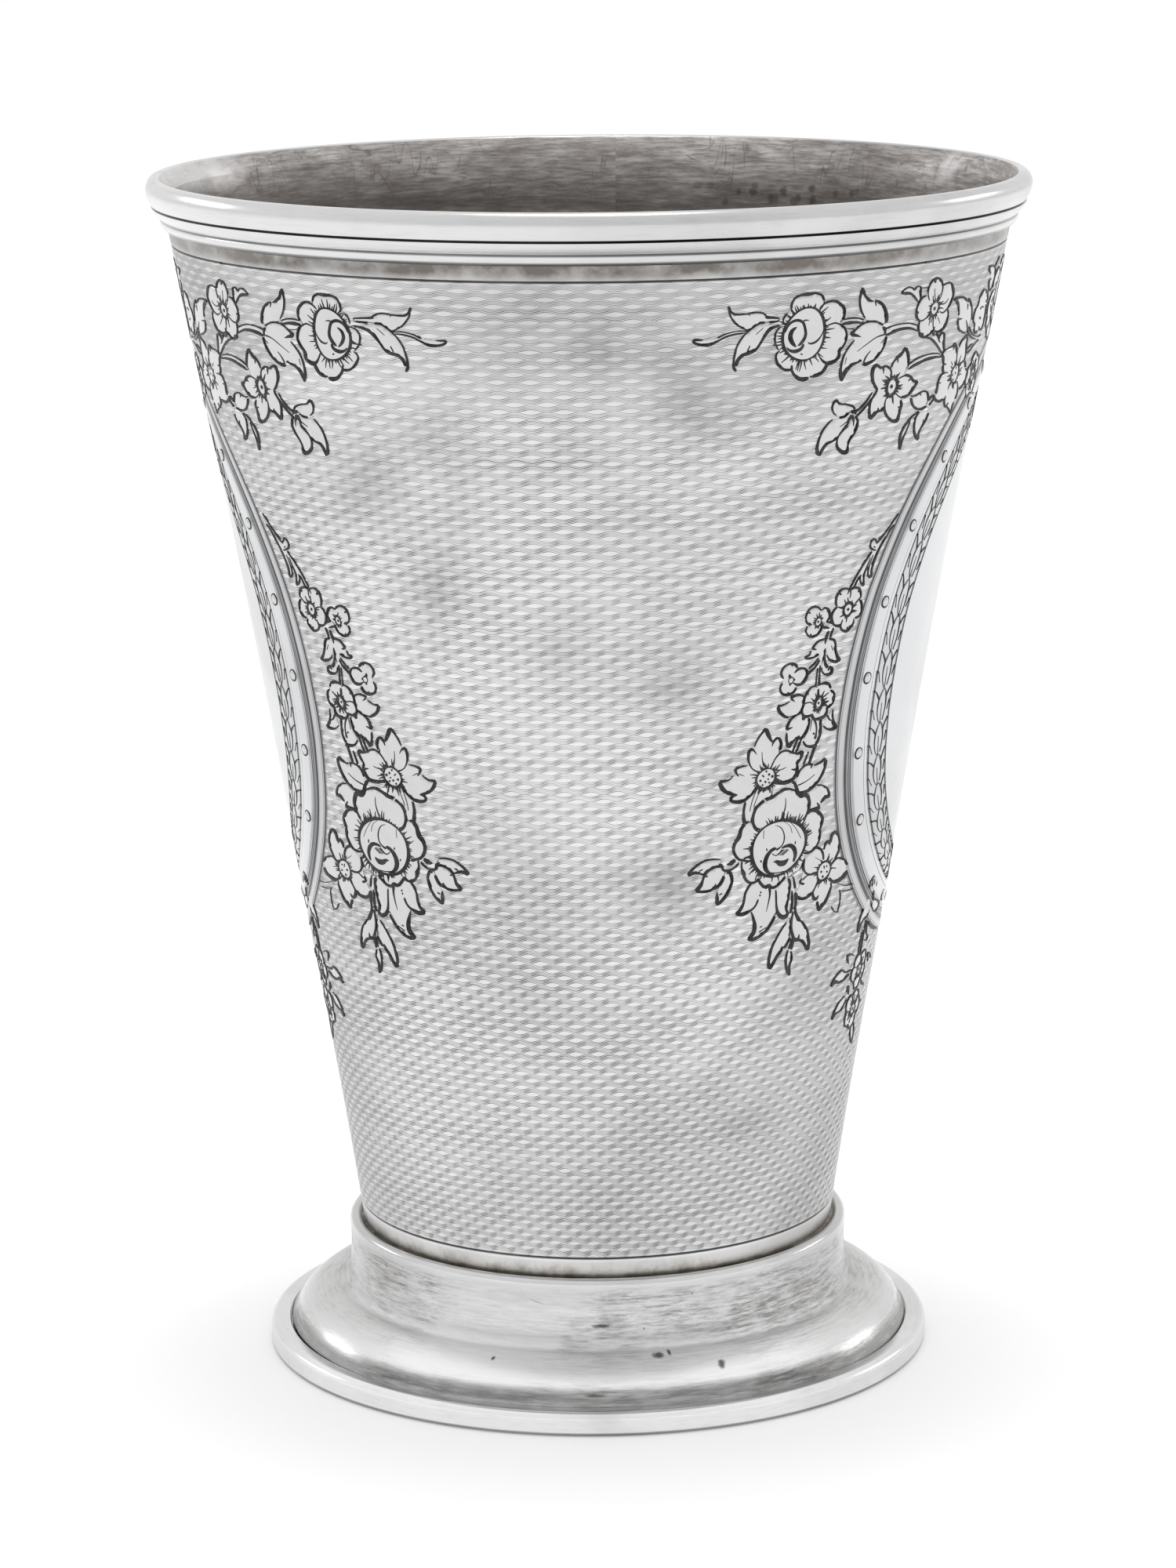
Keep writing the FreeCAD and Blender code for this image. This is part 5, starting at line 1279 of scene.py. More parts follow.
s .12 .15 .15 .15 .15 .2 .2 .08|27.67,86.4 27.6,86.67 27.33,86.78 27.0,86.6 26.9,86.28 27.05,85.9 27.44,85.7 27.87,85.6
s .2 .06|27.4,86.05 27.67,85.83
s .2 .15 .15 .2 .25 .25 .2 .25 .25 .15 .12 .1 .06|30.05,87.78 29.55,87.44 29.0,86.67 28.44,85.9 28.05,85.2 27.78,84.45 27.64,83.78 27.67,83.1 27.44,83.0 27.17,83.33 27.17,84.0 27.33,84.67 27.5,85.2
s .12 .15 .15 .15 .15 .15 .12 .04|27.28,85.55 26.9,85.1 26.44,84.55 26.0,83.9 25.55,83.2 25.17,82.55 24.9,82.0 24.72,81.67
s .08 .2 .2 .15 .25 .2 .15 .06|27.17,85.0 26.95,84.33 26.72,83.67 26.67,83.0 26.78,82.28 26.4,82.55 26.17,83.0 26.22,83.44
s .06 .12 .12|26.1,83.33 25.78,82.78 25.5,82.2
p 30.44,88.83 29.78,88.17 29.0,87.33 28.22,86.67 27.6,86.67 27.33,86.78 27.0,86.6 26.9,86.28 27.05,85.9 27.28,85.55 26.9,85.1 26.44,84.55 26.0,83.9 25.55,83.2 25.17,82.55 24.95,82.2 25.5,82.2 25.78,82.78 26.1,83.33 26.4,82.55 26.78,82.28 26.67,83.0 26.72,83.67 27.17,84.0 27.17,83.33 27.44,83.0 27.67,83.1 27.64,83.78 27.78,84.45 28.05,85.2 28.44,85.9 29.0,86.67 29.55,87.44 30.05,87.78
@O
s .15 .25 .1|23.0,78.28 22.78,77.67 22.67,77.0
s .15 .2 .1|23.55,78.5 23.33,77.89 23.28,77.44
s .2 .15 .15 .15 .25|22.94,77.55 22.44,77.5 21.9,77.4 21.5,77.1 21.22,76.72
s .25 .08|21.22,76.7 21.72,76.6
s .1|21.1,76.5 20.94,76.1
s .25 .1|20.44,75.95 21.05,76.13
s .3 .2 .12 .08|20.44,75.95 20.89,75.78 21.55,75.83 22.1,76.05
s .15 .2 .12 .15 .2 .3 .2|23.28,77.44 23.78,77.28 24.05,76.9 24.17,76.33 24.39,75.78 24.67,75.33 25.0,75.13
s .2 .3 .2 .15 .08|25.0,75.13 24.44,75.0 23.89,75.1 23.44,75.39 23.17,75.78
s .05|23.5,76.78 23.8,76.2
s .1 .2 .25 .35|22.83,76.55 22.83,75.89 23.0,75.1 23.44,74.55
s .1 .2 .25 .25 .2 .12 .1 .05|23.5,74.22 23.78,74.55 24.05,74.33 24.05,73.95 23.67,73.8 23.1,73.9 22.78,74.22 22.67,74.67
s .08 .15 .15|22.1,75.67 21.67,75.17 21.05,74.72
s .1 .2 .25 .25|22.28,75.44 21.89,74.89 21.33,74.44 20.89,74.1
s .08 .1 .12|22.17,74.67 22.17,73.78 22.2,72.89
s .1 .15 .25|22.44,74.89 22.5,74.0 22.61,72.94
p 22.94,77.55 22.44,77.5 21.9,77.4 21.5,77.1 21.22,76.72 20.94,76.1 20.44,75.95 20.89,75.78 21.55,75.83 22.1,76.05 22.3,75.4 22.7,74.9 22.83,75.89 22.83,76.55 23.2,75.8 23.44,75.39 23.89,75.1 24.44,75.0 25.0,75.13 24.67,75.33 24.39,75.78 24.17,76.33 24.05,76.9 23.78,77.28 23.28,77.44
p 22.83,75.5 23.0,75.1 23.44,74.55 23.78,74.55 24.05,74.33 24.05,73.95 23.67,73.8 23.1,73.9 22.78,74.22 22.6,74.8
@N3
s .15 .2 .15 .12 .15 .2 .12|18.22,74.1 17.94,74.55 18.0,75.0 18.33,75.39 18.89,75.52 19.44,75.39 19.72,75.05
s .25|19.0,75.42 19.15,75.3
s .15 .2 .15 .15 .2 .2 .25 .25 .15|19.39,74.55 19.78,74.83 20.22,74.92 20.72,74.78 20.98,74.44 20.94,73.89 20.55,73.39 20.0,73.28 19.39,73.55
s .12 .15 .2 .2 .25 .15 .15|18.17,73.67 17.98,73.22 18.11,72.72 18.55,72.42 19.11,72.39 19.61,72.61 19.83,73.0
s .25|18.85,72.5 19.05,72.6
e .1|19.11,73.83 .3,.32 0,360
s .4 .1|18.95,74.1 18.83,74.5
s .25|19.44,74.0 19.44,73.75
s .2|19.05,73.55 19.0,73.3
p 18.22,74.1 17.94,74.55 18.0,75.0 18.33,75.39 18.89,75.52 19.44,75.39 19.72,75.05 19.78,74.83 20.22,74.92 20.72,74.78 20.98,74.44 20.94,73.89 20.55,73.39 20.0,73.28 19.83,73.0 19.61,72.61 19.11,72.39 18.55,72.42 18.11,72.72 17.98,73.22 18.17,73.67
@N4
e .1|22.81,71.08 .38,.44 0,360
e .18|22.81,71.08 .52,.6 0,360
d 22.78,71.1 .13
h 22.81,71.08 .56,.64 0,360 26 .12,.4 .1
s .12 .12 .25 .12 .1 .1|21.05,71.2 21.0,71.78 21.22,72.33 21.61,72.78 22.1,72.89 22.4,72.7
s .3 .1|21.25,72.25 21.4,72.1
s .1 .12 .3 .15 .1|22.44,72.89 22.89,73.0 23.55,73.0 24.0,72.78 24.22,72.39
s .3|23.5,72.95 23.7,72.85
s .08 .12 .15 .12 .12 .08|24.33,72.17 24.72,71.89 24.87,71.33 24.72,70.78 24.28,70.44 24.0,70.33
s .4 .1|24.75,71.5 24.65,71.2
s .12 .12 .25 .3 .12 .12 .1|24.06,70.39 24.1,69.89 23.78,69.6 23.28,69.47 22.78,69.42 22.33,69.72 22.22,70.1
s .1 .1 .15|21.05,71.22 21.44,71.33 22.0,71.22
s .1 .15 .15 .3 .15 .1|21.05,71.2 20.87,70.78 20.9,70.33 21.22,69.95 21.78,69.9 22.1,70.1
s .2 .25|22.55,72.55 22.6,71.78
s .08 .15|24.0,72.0 23.28,71.6
s .2 .15|23.33,71.05 24.1,70.55
s .1 .2|22.39,70.2 22.44,70.67
p 21.05,71.2 21.0,71.78 21.22,72.33 21.61,72.78 22.1,72.89 22.44,72.89 22.89,73.0 23.55,73.0 24.0,72.78 24.22,72.39 24.33,72.17 24.72,71.89 24.87,71.33 24.72,70.78 24.28,70.44 24.06,70.39 24.1,69.89 23.78,69.6 23.28,69.47 22.78,69.42 22.33,69.72 21.78,69.9 21.22,69.95 20.9,70.33 20.87,70.78
@Q
s .25 .12 .05|17.94,71.42 18.55,71.44 19.22,71.72
s .3 .25 .25 .15|17.94,71.35 18.17,70.78 18.67,70.33 19.28,70.05
s .25 .2 .15 .1|19.28,72.05 19.78,72.22 20.44,72.22 21.0,71.95
s .25 .05|19.3,72.0 19.83,71.6
s .1 .12 .2 .3 .25|20.78,70.39 20.0,70.1 19.55,69.78 19.28,69.22 19.17,68.87
s .25 .06|19.17,68.87 19.89,69.05
s .12 .2 .3|19.29,68.5 19.35,67.8 19.65,67.03
s .3 .3 .06|19.7,66.97 20.0,67.44 20.41,67.68
s .15 .2 .15|20.82,68.1 20.53,67.3 20.18,66.44
s .1 .2 .15|21.18,67.8 20.94,67.1 20.65,66.38
s .08 .12 .15 .2 .2 .2|21.88,69.68 21.94,69.1 21.76,68.38 21.35,67.9 21.06,67.68 20.82,68.0
s .3 .4|21.0,70.0 21.2,69.6
s .1 .15 .2 .2 .3|21.41,67.44 21.76,66.97 22.29,66.74 22.76,66.71 23.29,66.76
s .15 .25 .25 .2 .4|23.41,69.32 23.47,68.62 23.53,67.91 23.35,67.2 23.06,66.97
s .2 .2 .15 .12 .3|22.12,69.79 22.53,69.44 22.88,68.74 22.98,68.03 22.88,67.44
s .2|22.53,68.1 22.76,67.97
s .12 .04|22.18,69.56 22.12,68.38
s .25 .2 .12 .25 .25|24.18,69.68 24.53,69.2 25.0,68.97 25.29,68.62 25.82,68.26
s .2 .2 .15 .12 .06|25.82,68.26 25.35,68.1 24.76,68.1 24.24,68.32 23.82,68.62
s .08 .15 .25|24.88,70.15 25.06,69.2 25.6,68.4
s .3 .25 .25|23.06,66.74 22.82,65.9 22.53,65.03
s .08 .15|22.29,66.26 21.82,64.97
p 17.94,71.42 18.55,71.44 19.22,71.72 19.28,72.05 19.78,72.22 20.44,72.22 21.0,71.95 20.87,70.78 20.78,70.39 20.0,70.1 19.28,70.05 18.67,70.33 18.17,70.78
p 20.78,70.39 20.0,70.1 19.55,69.78 19.28,69.22 19.17,68.87 19.29,68.5 19.35,67.8 19.65,67.03 20.0,67.44 20.41,67.68 20.82,68.0 21.06,67.68 21.35,67.9 21.76,68.38 21.94,69.1 21.88,69.68 21.2,70.0
p 22.12,69.79 21.9,68.6 21.41,67.44 21.76,66.97 22.29,66.74 22.76,66.71 23.29,66.76 23.53,67.91 23.47,68.62 23.41,69.32 22.7,69.5
p 24.18,69.68 23.82,68.62 24.24,68.32 24.76,68.1 25.35,68.1 25.82,68.26 25.29,68.62 25.06,69.2 24.88,70.15
@T
e .12|17.35,64.2 1.08,.97 0,360
d 17.29,64.91 .11
d 17.65,64.56 .13
d 18.06,64.32 .15
s .15|16.85,64.6 17.1,64.35
d 16.7,64.03 .13
d 17.3,63.85 .12
d 17.6,64.09 .09
d 17.76,63.73 .1
d 17.0,63.56 .1
h 17.35,64.2 1.02,.95 0,360 60 .12,.5 .09
s .06 .12 .15 .3|15.7,67.56 16.0,68.26 16.41,68.85 16.82,69.26
s .35 .4 .3 .1|16.82,69.26 17.06,68.74 17.35,68.26 17.68,67.8
s .06 .15 .25 .2 .25 .08|17.68,67.38 17.82,67.8 18.18,68.15 18.53,68.03 18.79,67.44 18.74,66.85
s .04 .08 .25|16.59,66.97 16.71,66.15 17.0,65.44
s .3 .25 .2 .12 .15 .2|15.24,67.32 15.12,66.74 15.24,66.03 15.59,65.44 16.06,65.09 16.65,64.9
s .35 .2 .05|15.24,67.32 15.59,67.26 16.0,66.74
s .3 .12 .05|13.82,65.5 14.41,65.68 15.12,65.74
s .3 .2 .15|13.82,65.5 13.94,65.09 14.24,64.74
s .12 .04|14.2,65.0 14.88,64.68
s .3 .12 .05|12.24,64.38 13.12,64.44 13.65,64.85
s .3 .35 .25 .25 .08|12.24,64.32 12.53,63.68 13.06,63.2 13.71,62.97 14.24,62.88
s .1 .25 .25 .25 .3 .15 .12 .15|14.24,62.85 13.65,62.68 13.59,62.32 14.06,62.12 14.76,62.12 15.35,62.32 15.82,62.68 16.41,63.2
s .12 .12 .12 .12 .15 .15 .2 .3|17.82,65.32 18.06,65.85 18.53,66.44 19.12,66.74 19.7,66.71 20.29,66.44 21.0,66.26 21.47,66.44
s .35 .25 .08|21.47,66.44 21.41,65.85 21.0,65.2
s .15 .08 .04|18.29,64.91 19.0,64.88 19.65,65.06
s .08 .25 .3 .3 .3 .25 .35|21.0,65.2 21.12,64.5 20.82,63.9 20.41,63.56 19.7,63.44 19.0,63.5 18.29,63.74
s .08 .3|20.29,64.74 21.0,64.6
s .15 .2 .3 .35|15.24,62.0 15.12,61.2 15.18,60.38 15.35,59.85
s .15|15.35,59.85 15.82,59.97
s .05|16.3,63.0 15.95,62.0 15.8,61.0
s .05|16.8,63.0 16.4,62.1 16.2,61.4
p 15.7,67.56 16.0,68.26 16.41,68.85 16.82,69.26 17.06,68.74 17.35,68.26 17.68,67.8 18.18,68.15 18.53,68.03 18.79,67.44 18.6,66.5 19.12,66.74 19.7,66.71 20.29,66.44 21.0,66.26 21.47,66.44 21.41,65.85 21.0,65.2 21.12,64.5 20.82,63.9 20.41,63.56 19.7,63.44 19.0,63.5 18.3,63.6 17.4,62.9 16.41,63.2 15.82,62.68 15.35,62.32 14.76,62.12 14.06,62.12 13.59,62.32 13.65,62.68 13.71,62.97 13.06,63.2 12.53,63.68 12.24,64.38 13.12,64.44 13.65,64.85 13.94,65.09 13.82,65.5 14.41,65.68 15.12,65.74 15.12,66.74 15.24,67.32 15.59,67.26
p 15.35,62.32 15.24,62.0 15.12,61.2 15.18,60.38 15.35,59.85 16.3,59.9 16.5,61.2 17.5,62.0 18.3,62.15 18.3,63.6 17.4,63.0 16.41,63.2
@R2
e .26|19.8,56.85 3.45,2.82 0,360
h 19.8,56.85 3.45,2.82 0,360 110 .15,.5 .09
s .25 .3 .2 .25 .2 .08|17.59,62.0 18.29,62.15 19.0,62.5 19.7,62.76 20.41,62.74 21.12,62.5
s .15 .25 .25 .25 .25 .3 .4|17.41,61.85 16.88,61.62 16.47,61.2 16.24,60.5 16.29,59.8 16.65,59.2 17.24,58.9
s .3 .3 .4 .4 .4 .35 .25 .2 .3|20.65,63.5 21.12,62.97 21.47,62.26 21.94,61.8 22.53,61.9 23.0,61.44 23.29,60.74 23.12,60.03 22.65,59.2
s .05 .1 .15 .25|19.94,61.9 20.04,61.09 19.88,60.26 19.7,59.9
s .04 .1 .12 .15 .12 .15 .3|19.0,59.2 19.65,58.97 20.12,58.44 20.33,57.8 20.24,57.2 19.88,56.85 19.41,56.68
s .3 .35 .45 .5 .45 .3 .15|19.41,56.85 18.82,56.68 18.35,56.15 18.18,55.44 18.35,54.85 18.82,54.38 19.53,54.2
s .15 .25 .35 .4 .35 .2|20.12,56.74 20.7,56.9 21.3,56.85 21.82,56.44 22.06,55.8 21.88,55.1
s .1 .1 .15|18.94,56.38 19.53,56.09 20.24,56.62
s .1|19.75,56.1 20.5,56.6
s .1|20.0,56.0 20.9,56.6
s .1|20.3,56.0 21.1,56.5
s .1 .35 .6 .6 .15|19.24,55.44 19.65,55.44 20.12,55.2 20.7,55.2 21.18,55.56
s .15|18.2,57.0 18.28,56.7
s .15|21.85,57.25 21.88,56.9
s .15|17.6,55.85 17.72,55.6
s .15 .1 .08|18.82,54.38 19.88,54.26 20.94,54.32
s .06|20.7,59.44 21.3,58.97 21.88,58.38 22.6,57.4
s .05|20.0,59.5 20.9,58.9 21.3,58.1
s .05|17.65,58.9 17.7,58.0
s .25 .25 .3 .3 .25 .2 .15|23.06,59.8 23.65,60.09 24.35,59.97 25.06,59.5 25.47,58.97 25.41,58.26 25.24,57.97
s .35 .2 .15 .15 .15 .2 .2|25.25,57.95 25.41,57.32 25.35,56.74 24.94,56.09 24.24,55.74 23.53,55.74 23.12,55.9
s .2 .06|23.24,57.97 24.0,57.97
s .3 .3 .4 .3 .25 .25 .2 .2 .25 .3|15.41,59.85 15.0,59.32 14.82,58.5 14.41,57.94 14.29,57.35 14.47,56.76 14.94,56.24 15.53,56.06 15.9,55.95 16.24,55.88
s .12 .12 .4 .2 .2 .15 .25|15.41,55.94 15.41,55.24 15.7,54.7 15.88,54.18 16.35,53.7 17.06,53.6 17.65,53.94
p 17.41,61.85 18.29,62.15 19.0,62.5 19.7,62.76 20.41,62.74 21.12,62.5 21.94,61.8 22.53,61.9 23.0,61.44 23.29,60.74 23.12,60.03 23.65,60.09 24.35,59.97 25.06,59.5 25.47,58.97 25.41,58.26 25.25,57.95 25.41,57.32 25.35,56.74 24.94,56.09 24.24,55.74 23.6,55.74 23.5,54.9 23.2,54.2 22.3,53.8 21.6,53.5 21.06,53.68 20.12,52.9 19.53,52.74 19.06,53.03 18.59,52.9 18.0,53.32 17.65,53.8 17.06,53.6 16.35,53.7 15.88,54.18 15.7,54.7 15.41,55.24 15.41,55.94 14.94,56.24 14.47,56.76 14.29,57.35 14.41,57.94 14.82,58.5 15.0,59.32 15.41,59.85 16.29,59.8 16.24,60.5 16.47,61.2 16.88,61.62
@R2low
s .12 .2 .15 .2 .25 .3|16.82,53.6 16.35,53.1 16.1,52.53 16.0,51.7 15.7,51.0 15.18,50.6
s .35 .35 .25 .2 .25|15.18,50.6 16.0,50.44 16.7,50.65 17.41,51.1 17.76,51.82
s .2|17.92,52.3 17.95,52.1
s .2|17.98,52.6 18.02,52.4
s .08 .25 .4 .4 .35|17.06,50.53 17.41,49.82 17.65,49.1 17.59,48.4 16.94,47.76
s .3 .3 .25 .25 .15 .06|16.94,47.76 17.76,47.7 18.59,48.0 19.41,48.53 20.0,49.24 20.3,49.7
s .15 .04|18.24,48.35 19.18,48.76
s .12|18.3,48.86 18.6,48.94
s .25 .2 .2 .3 .15 .15 .15 .2|17.53,53.85 18.0,53.32 18.59,52.9 19.06,53.03 19.53,52.74 20.12,52.9 20.7,53.32 21.06,53.68
s .3 .2 .12 .04|19.08,52.85 19.2,52.15 19.12,51.32 18.94,50.38
s .15 .2 .2 .25 .3 .4 .4 .3|19.94,52.5 20.06,51.8 20.18,51.09 20.3,50.6 20.53,50.1 21.0,49.62 21.47,49.44 22.06,49.68
s .25 .25 .15 .15 .2 .2 .25|21.53,53.44 21.82,52.85 21.88,52.15 21.82,51.3 21.7,50.3 21.85,50.0 22.1,49.7
s .12 .15 .2|22.12,53.56 22.41,52.97 22.65,52.26
s .12 .25 .25 .15|22.24,52.03 22.41,51.2 22.47,50.4 22.35,49.74
s .3 .25 .15 .2 .25 .35 .15|22.7,51.8 22.94,50.97 23.0,50.2 23.1,49.8 23.24,49.5 23.7,48.9 24.06,48.68
p 16.82,53.6 16.35,53.1 16.1,52.53 16.0,51.7 15.7,51.0 15.18,50.6 16.0,50.44 16.7,50.65 17.06,50.53 17.41,49.82 17.65,49.1 17.59,48.4 16.94,47.76 17.76,47.7 18.59,48.0 19.41,48.53 20.0,49.24 20.3,49.9 20.53,50.1 21.0,49.62 21.47,49.44 22.06,49.68 21.7,50.3 21.82,51.3 21.88,52.15 21.82,52.85 21.53,53.44 20.7,53.32 20.12,52.9 19.53,52.74 19.06,53.03 18.59,52.9 18.0,53.32 17.53,53.85
p 22.12,53.56 22.41,52.97 22.65,52.26 22.94,50.97 23.0,50.2 22.47,50.0 22.47,50.4 22.41,51.2 22.24,52.03 21.88,52.9
@V1
s .08 .12 .15 .2 .25 .25 .35|21.94,48.85 21.35,48.2 20.76,47.38 20.29,46.56 20.08,45.74 20.0,45.03 20.24,44.26
s .35 .35 .3 .2|20.24,44.26 20.65,44.8 21.12,45.5 21.7,45.97
s .25 .2 .08|21.94,46.2 22.29,46.44 22.76,47.15
s .1 .2|21.7,46.44 21.7,45.9
p 21.94,48.85 21.35,48.2 20.76,47.38 20.29,46.56 20.08,45.74 20.0,45.03 20.24,44.26 20.65,44.8 21.12,45.5 21.7,45.97 22.29,46.44 22.76,47.15 22.6,48.4 22.3,49.5
@V2
s .12 .2 .2 .25 .35 .2 .3 .25 .3|22.76,49.85 22.65,48.9 22.76,48.1 23.06,47.4 23.41,46.85 24.06,46.7 24.76,46.44 25.24,45.97 25.7,45.38
s .15 .12 .15 .2 .3 .35|24.06,48.74 24.65,48.26 25.24,47.62 25.59,46.8 25.82,46.1 25.76,45.38
s .1 .2|24.02,47.32 24.02,46.74
p 22.76,49.85 22.65,48.9 22.76,48.1 23.06,47.4 23.41,46.85 24.06,46.7 24.76,46.44 25.24,45.97 25.7,45.38 25.82,46.1 25.59,46.8 25.24,47.62 24.65,48.26 24.06,48.74 23.7,48.9 23.24,49.5
@V3
s .1|22.94,47.0 22.76,45.97
s .1 .2 .2 .25 .25|22.65,45.85 22.47,45.03 22.65,44.2 23.0,43.5 23.41,43.2
s .35 .2|23.24,46.8 23.12,45.85
s .1 .1 .25 .35|23.12,45.7 23.41,44.9 23.12,44.2 23.24,43.4
p 22.65,45.85 22.47,45.03 22.65,44.2 23.0,43.5 23.41,43.2 23.24,43.6 23.12,44.2 23.41,44.9 23.12,45.7
@W1
s .3 .2 .15 .12 .12 .06|9.41,55.06 9.88,55.65 10.47,56.1 11.18,56.44 12.0,56.53 12.88,56.44
s .3 .25 .12 .05|9.41,55.06 10.0,55.26 10.59,55.18 11.18,54.94
s .12|10.59,55.41 11.0,55.59
p 9.41,55.06 9.88,55.65 10.47,56.1 11.18,56.44 12.0,56.53 12.88,56.44 13.1,55.8 12.47,55.68 11.76,55.47 11.18,54.94 10.59,55.18 10.0,55.26
@W2
s .1 .12 .2 .2 .15 .3 .35|13.06,55.65 12.47,55.68 11.76,55.47 11.29,55.06 11.08,54.53 10.88,53.94 10.35,53.4
s .25 .15 .12 .15 .2 .2|10.35,53.4 11.06,53.24 11.76,53.24 12.35,53.47 13.06,53.82 13.47,54.65
s .15|11.18,54.94 11.59,54.79
s .1 .15|12.53,54.0 12.5,53.53
p 13.06,55.65 12.47,55.68 11.76,55.47 11.29,55.06 11.08,54.53 10.88,53.94 10.35,53.4 11.06,53.24 11.76,53.24 12.35,53.47 13.06,53.82 13.47,54.65 13.6,55.2
@W3
s .25 .2 .2 .2 .25 .25|14.06,55.12 14.41,54.3 14.29,53.47 13.88,52.65 13.35,52.1 12.82,51.76
s .25 .35 .08|12.82,51.76 12.82,52.4 12.76,53.1
s .12|13.0,52.76 13.35,52.94
s .25|13.8,55.1 13.85,54.85
p 14.06,55.12 14.41,54.3 14.29,53.47 13.88,52.65 13.35,52.1 12.82,51.76 12.82,52.4 12.76,53.1 13.06,53.82 13.47,54.65 13.6,55.2
@Wst
s .15 .25 .25 .2 .12 .2|12.7,56.0 13.12,55.76 13.24,55.35 13.76,55.18 14.47,55.35 15.06,55.82
s .1 .35 .3|13.65,55.82 14.12,55.9 14.59,56.24
@X
e .12|26.73,53.44 1.02,.92 0,360
d 26.3,53.4 .13
s .15|26.6,54.0 26.75,53.65
d 27.25,53.26 .12
d 26.65,52.85 .14
d 27.1,53.85 .1
h 26.73,53.44 1.0,.92 0,360 44 .12,.45 .09
s .08 .25 .25 .25 .3 .2 .2 .25 .25 .2 .15|26.35,55.68 26.41,56.15 26.82,56.44 27.18,56.26 27.35,56.97 27.88,57.26 28.47,56.74 28.82,56.03 28.88,55.2 28.47,54.5 27.88,54.03
s .2 .05|26.9,56.38 27.18,55.97
s .25 .2 .25 .25|25.0,56.15 25.65,55.9 26.18,55.32 26.41,54.62
s .2 .25 .2 .2 .25|23.47,55.2 23.47,54.26 23.88,53.68 24.59,53.4 25.65,53.47
s .12 .2 .25|23.44,53.2 23.3,52.74 23.88,52.56
s .15 .1 .06|23.53,52.97 24.12,53.32 24.7,53.35
s .35 .3 .25 .25 .2 .15 .35|22.76,51.8 23.06,51.3 23.65,51.03 24.35,51.0 25.18,51.26 25.65,51.9 26.0,52.5
s .12 .3 .3|25.41,51.5 25.59,50.9 26.06,50.56
s .3 .1|26.06,50.56 26.4,50.97
s .3 .25 .35 .35 .3 .2 .15 .12|26.29,50.3 26.59,49.74 26.76,49.44 27.24,49.74 27.82,50.15 28.18,50.8 28.41,51.5 28.3,51.9
s .3 .25 .25 .3 .4 .4|27.76,52.5 28.35,52.1 29.0,51.88 29.7,51.94 30.53,52.24 31.1,52.65
s .2 .15 .12 .12 .2|27.82,53.85 28.47,54.26 29.0,54.38 30.2,54.0 31.0,53.3
s .15 .05|27.76,53.56 28.9,53.35
s .08 .04|26.0,54.6 25.0,55.1
p 26.35,55.68 26.41,56.15 26.82,56.44 27.18,56.26 27.35,56.97 27.88,57.26 28.47,56.74 28.82,56.03 28.88,55.2 28.6,54.4 29.0,54.38 30.2,54.0 31.0,53.3 31.1,52.65 30.53,52.24 29.7,51.94 29.0,51.88 28.4,52.0 28.41,51.5 28.18,50.8 27.82,50.15 27.24,49.74 26.76,49.44 26.29,50.3 26.06,50.56 25.59,50.9 25.4,51.4 25.18,51.26 24.35,51.0 23.65,51.03 23.06,51.3 22.76,51.8 23.3,52.74 23.44,53.2 23.47,54.26 23.47,55.2 24.24,55.74 25.0,56.15 25.65,55.9
@Xleaf
s .1 .1 .1|29.0,49.35 29.7,48.7 30.53,48.55
s .04 .06 .05 .04|30.06,50.88 30.38,50.4 30.5,49.47 30.36,48.65
s .05 .08 .07 .05|29.65,51.6 30.53,51.3 31.35,51.12 32.76,51.0
s .04 .07 .07 .04|29.94,50.88 30.88,50.6 31.82,50.5 32.88,50.47
@LR
s .1 .12 .15 .15 .2|21.18,63.8 21.47,64.5 21.94,64.85 22.53,64.97 22.94,64.9
s .15 .06|23.0,64.97 22.82,64.5
s .06 .15 .35|23.24,64.74 23.94,64.85 24.76,65.2
s .35 .25 .2 .2 .2 .25 .35|24.82,65.1 24.82,64.38 24.53,63.56 23.94,62.85 23.12,62.32 22.29,62.1 21.47,62.15
s .12 .08 .04|21.35,62.97 22.41,63.26 23.47,63.8
p 21.18,63.8 21.47,64.5 21.94,64.85 22.53,64.97 23.24,64.74 23.94,64.85 24.76,65.2 24.82,64.38 24.53,63.56 23.94,62.85 23.12,62.32 22.29,62.1 21.47,62.15 21.12,62.97
s .08 .12 .15 .2 .2|24.06,62.6 24.76,62.5 25.47,62.15 25.94,61.56 26.06,61.1
s .15 .3 .3 .1|26.06,61.1 25.47,61.15 25.06,60.9 24.88,60.68
s .12 .25|24.3,60.8 24.76,60.26
s .3 .2 .15|24.82,60.2 24.06,60.15 23.35,59.97
p 24.06,62.6 24.76,62.5 25.47,62.15 25.94,61.56 26.06,61.1 25.47,61.15 25.06,60.9 24.76,60.26 24.06,60.15 23.35,60.2 23.2,61.3 23.0,62.1
@Y
s .1 .25 .3 .4|36.75,47.6 36.17,47.0 35.9,46.17 36.08,45.33
s .4 .3 .1|36.08,45.33 36.5,46.0 37.08,46.37
s .1 .1 .08|37.17,46.42 38.17,46.6 38.67,47.2
s .15 .2 .2|37.6,45.3 37.33,44.33 37.33,42.9
s .12 .2 .2|38.1,46.2 38.0,44.5 38.0,42.83
s .2 .2 .15 .25|38.67,46.0 38.75,45.17 39.17,44.5 39.83,44.25
s .25 .2 .06|39.83,44.17 39.5,43.83 38.5,44.08
s .2 .2 .35 .2 .1|39.17,45.83 40.0,45.25 40.83,45.0 42.33,44.5 44.17,44.17
s .2 .15 .3 .25 .2 .2|37.5,49.6 37.5,50.25 38.0,50.67 38.83,50.67 39.58,50.17 39.75,49.4
s .2|38.1,50.6 38.3,49.67
s .2|38.67,50.4 39.0,49.75
s .3 .3 .3|39.17,49.0 39.5,48.25 40.17,47.97
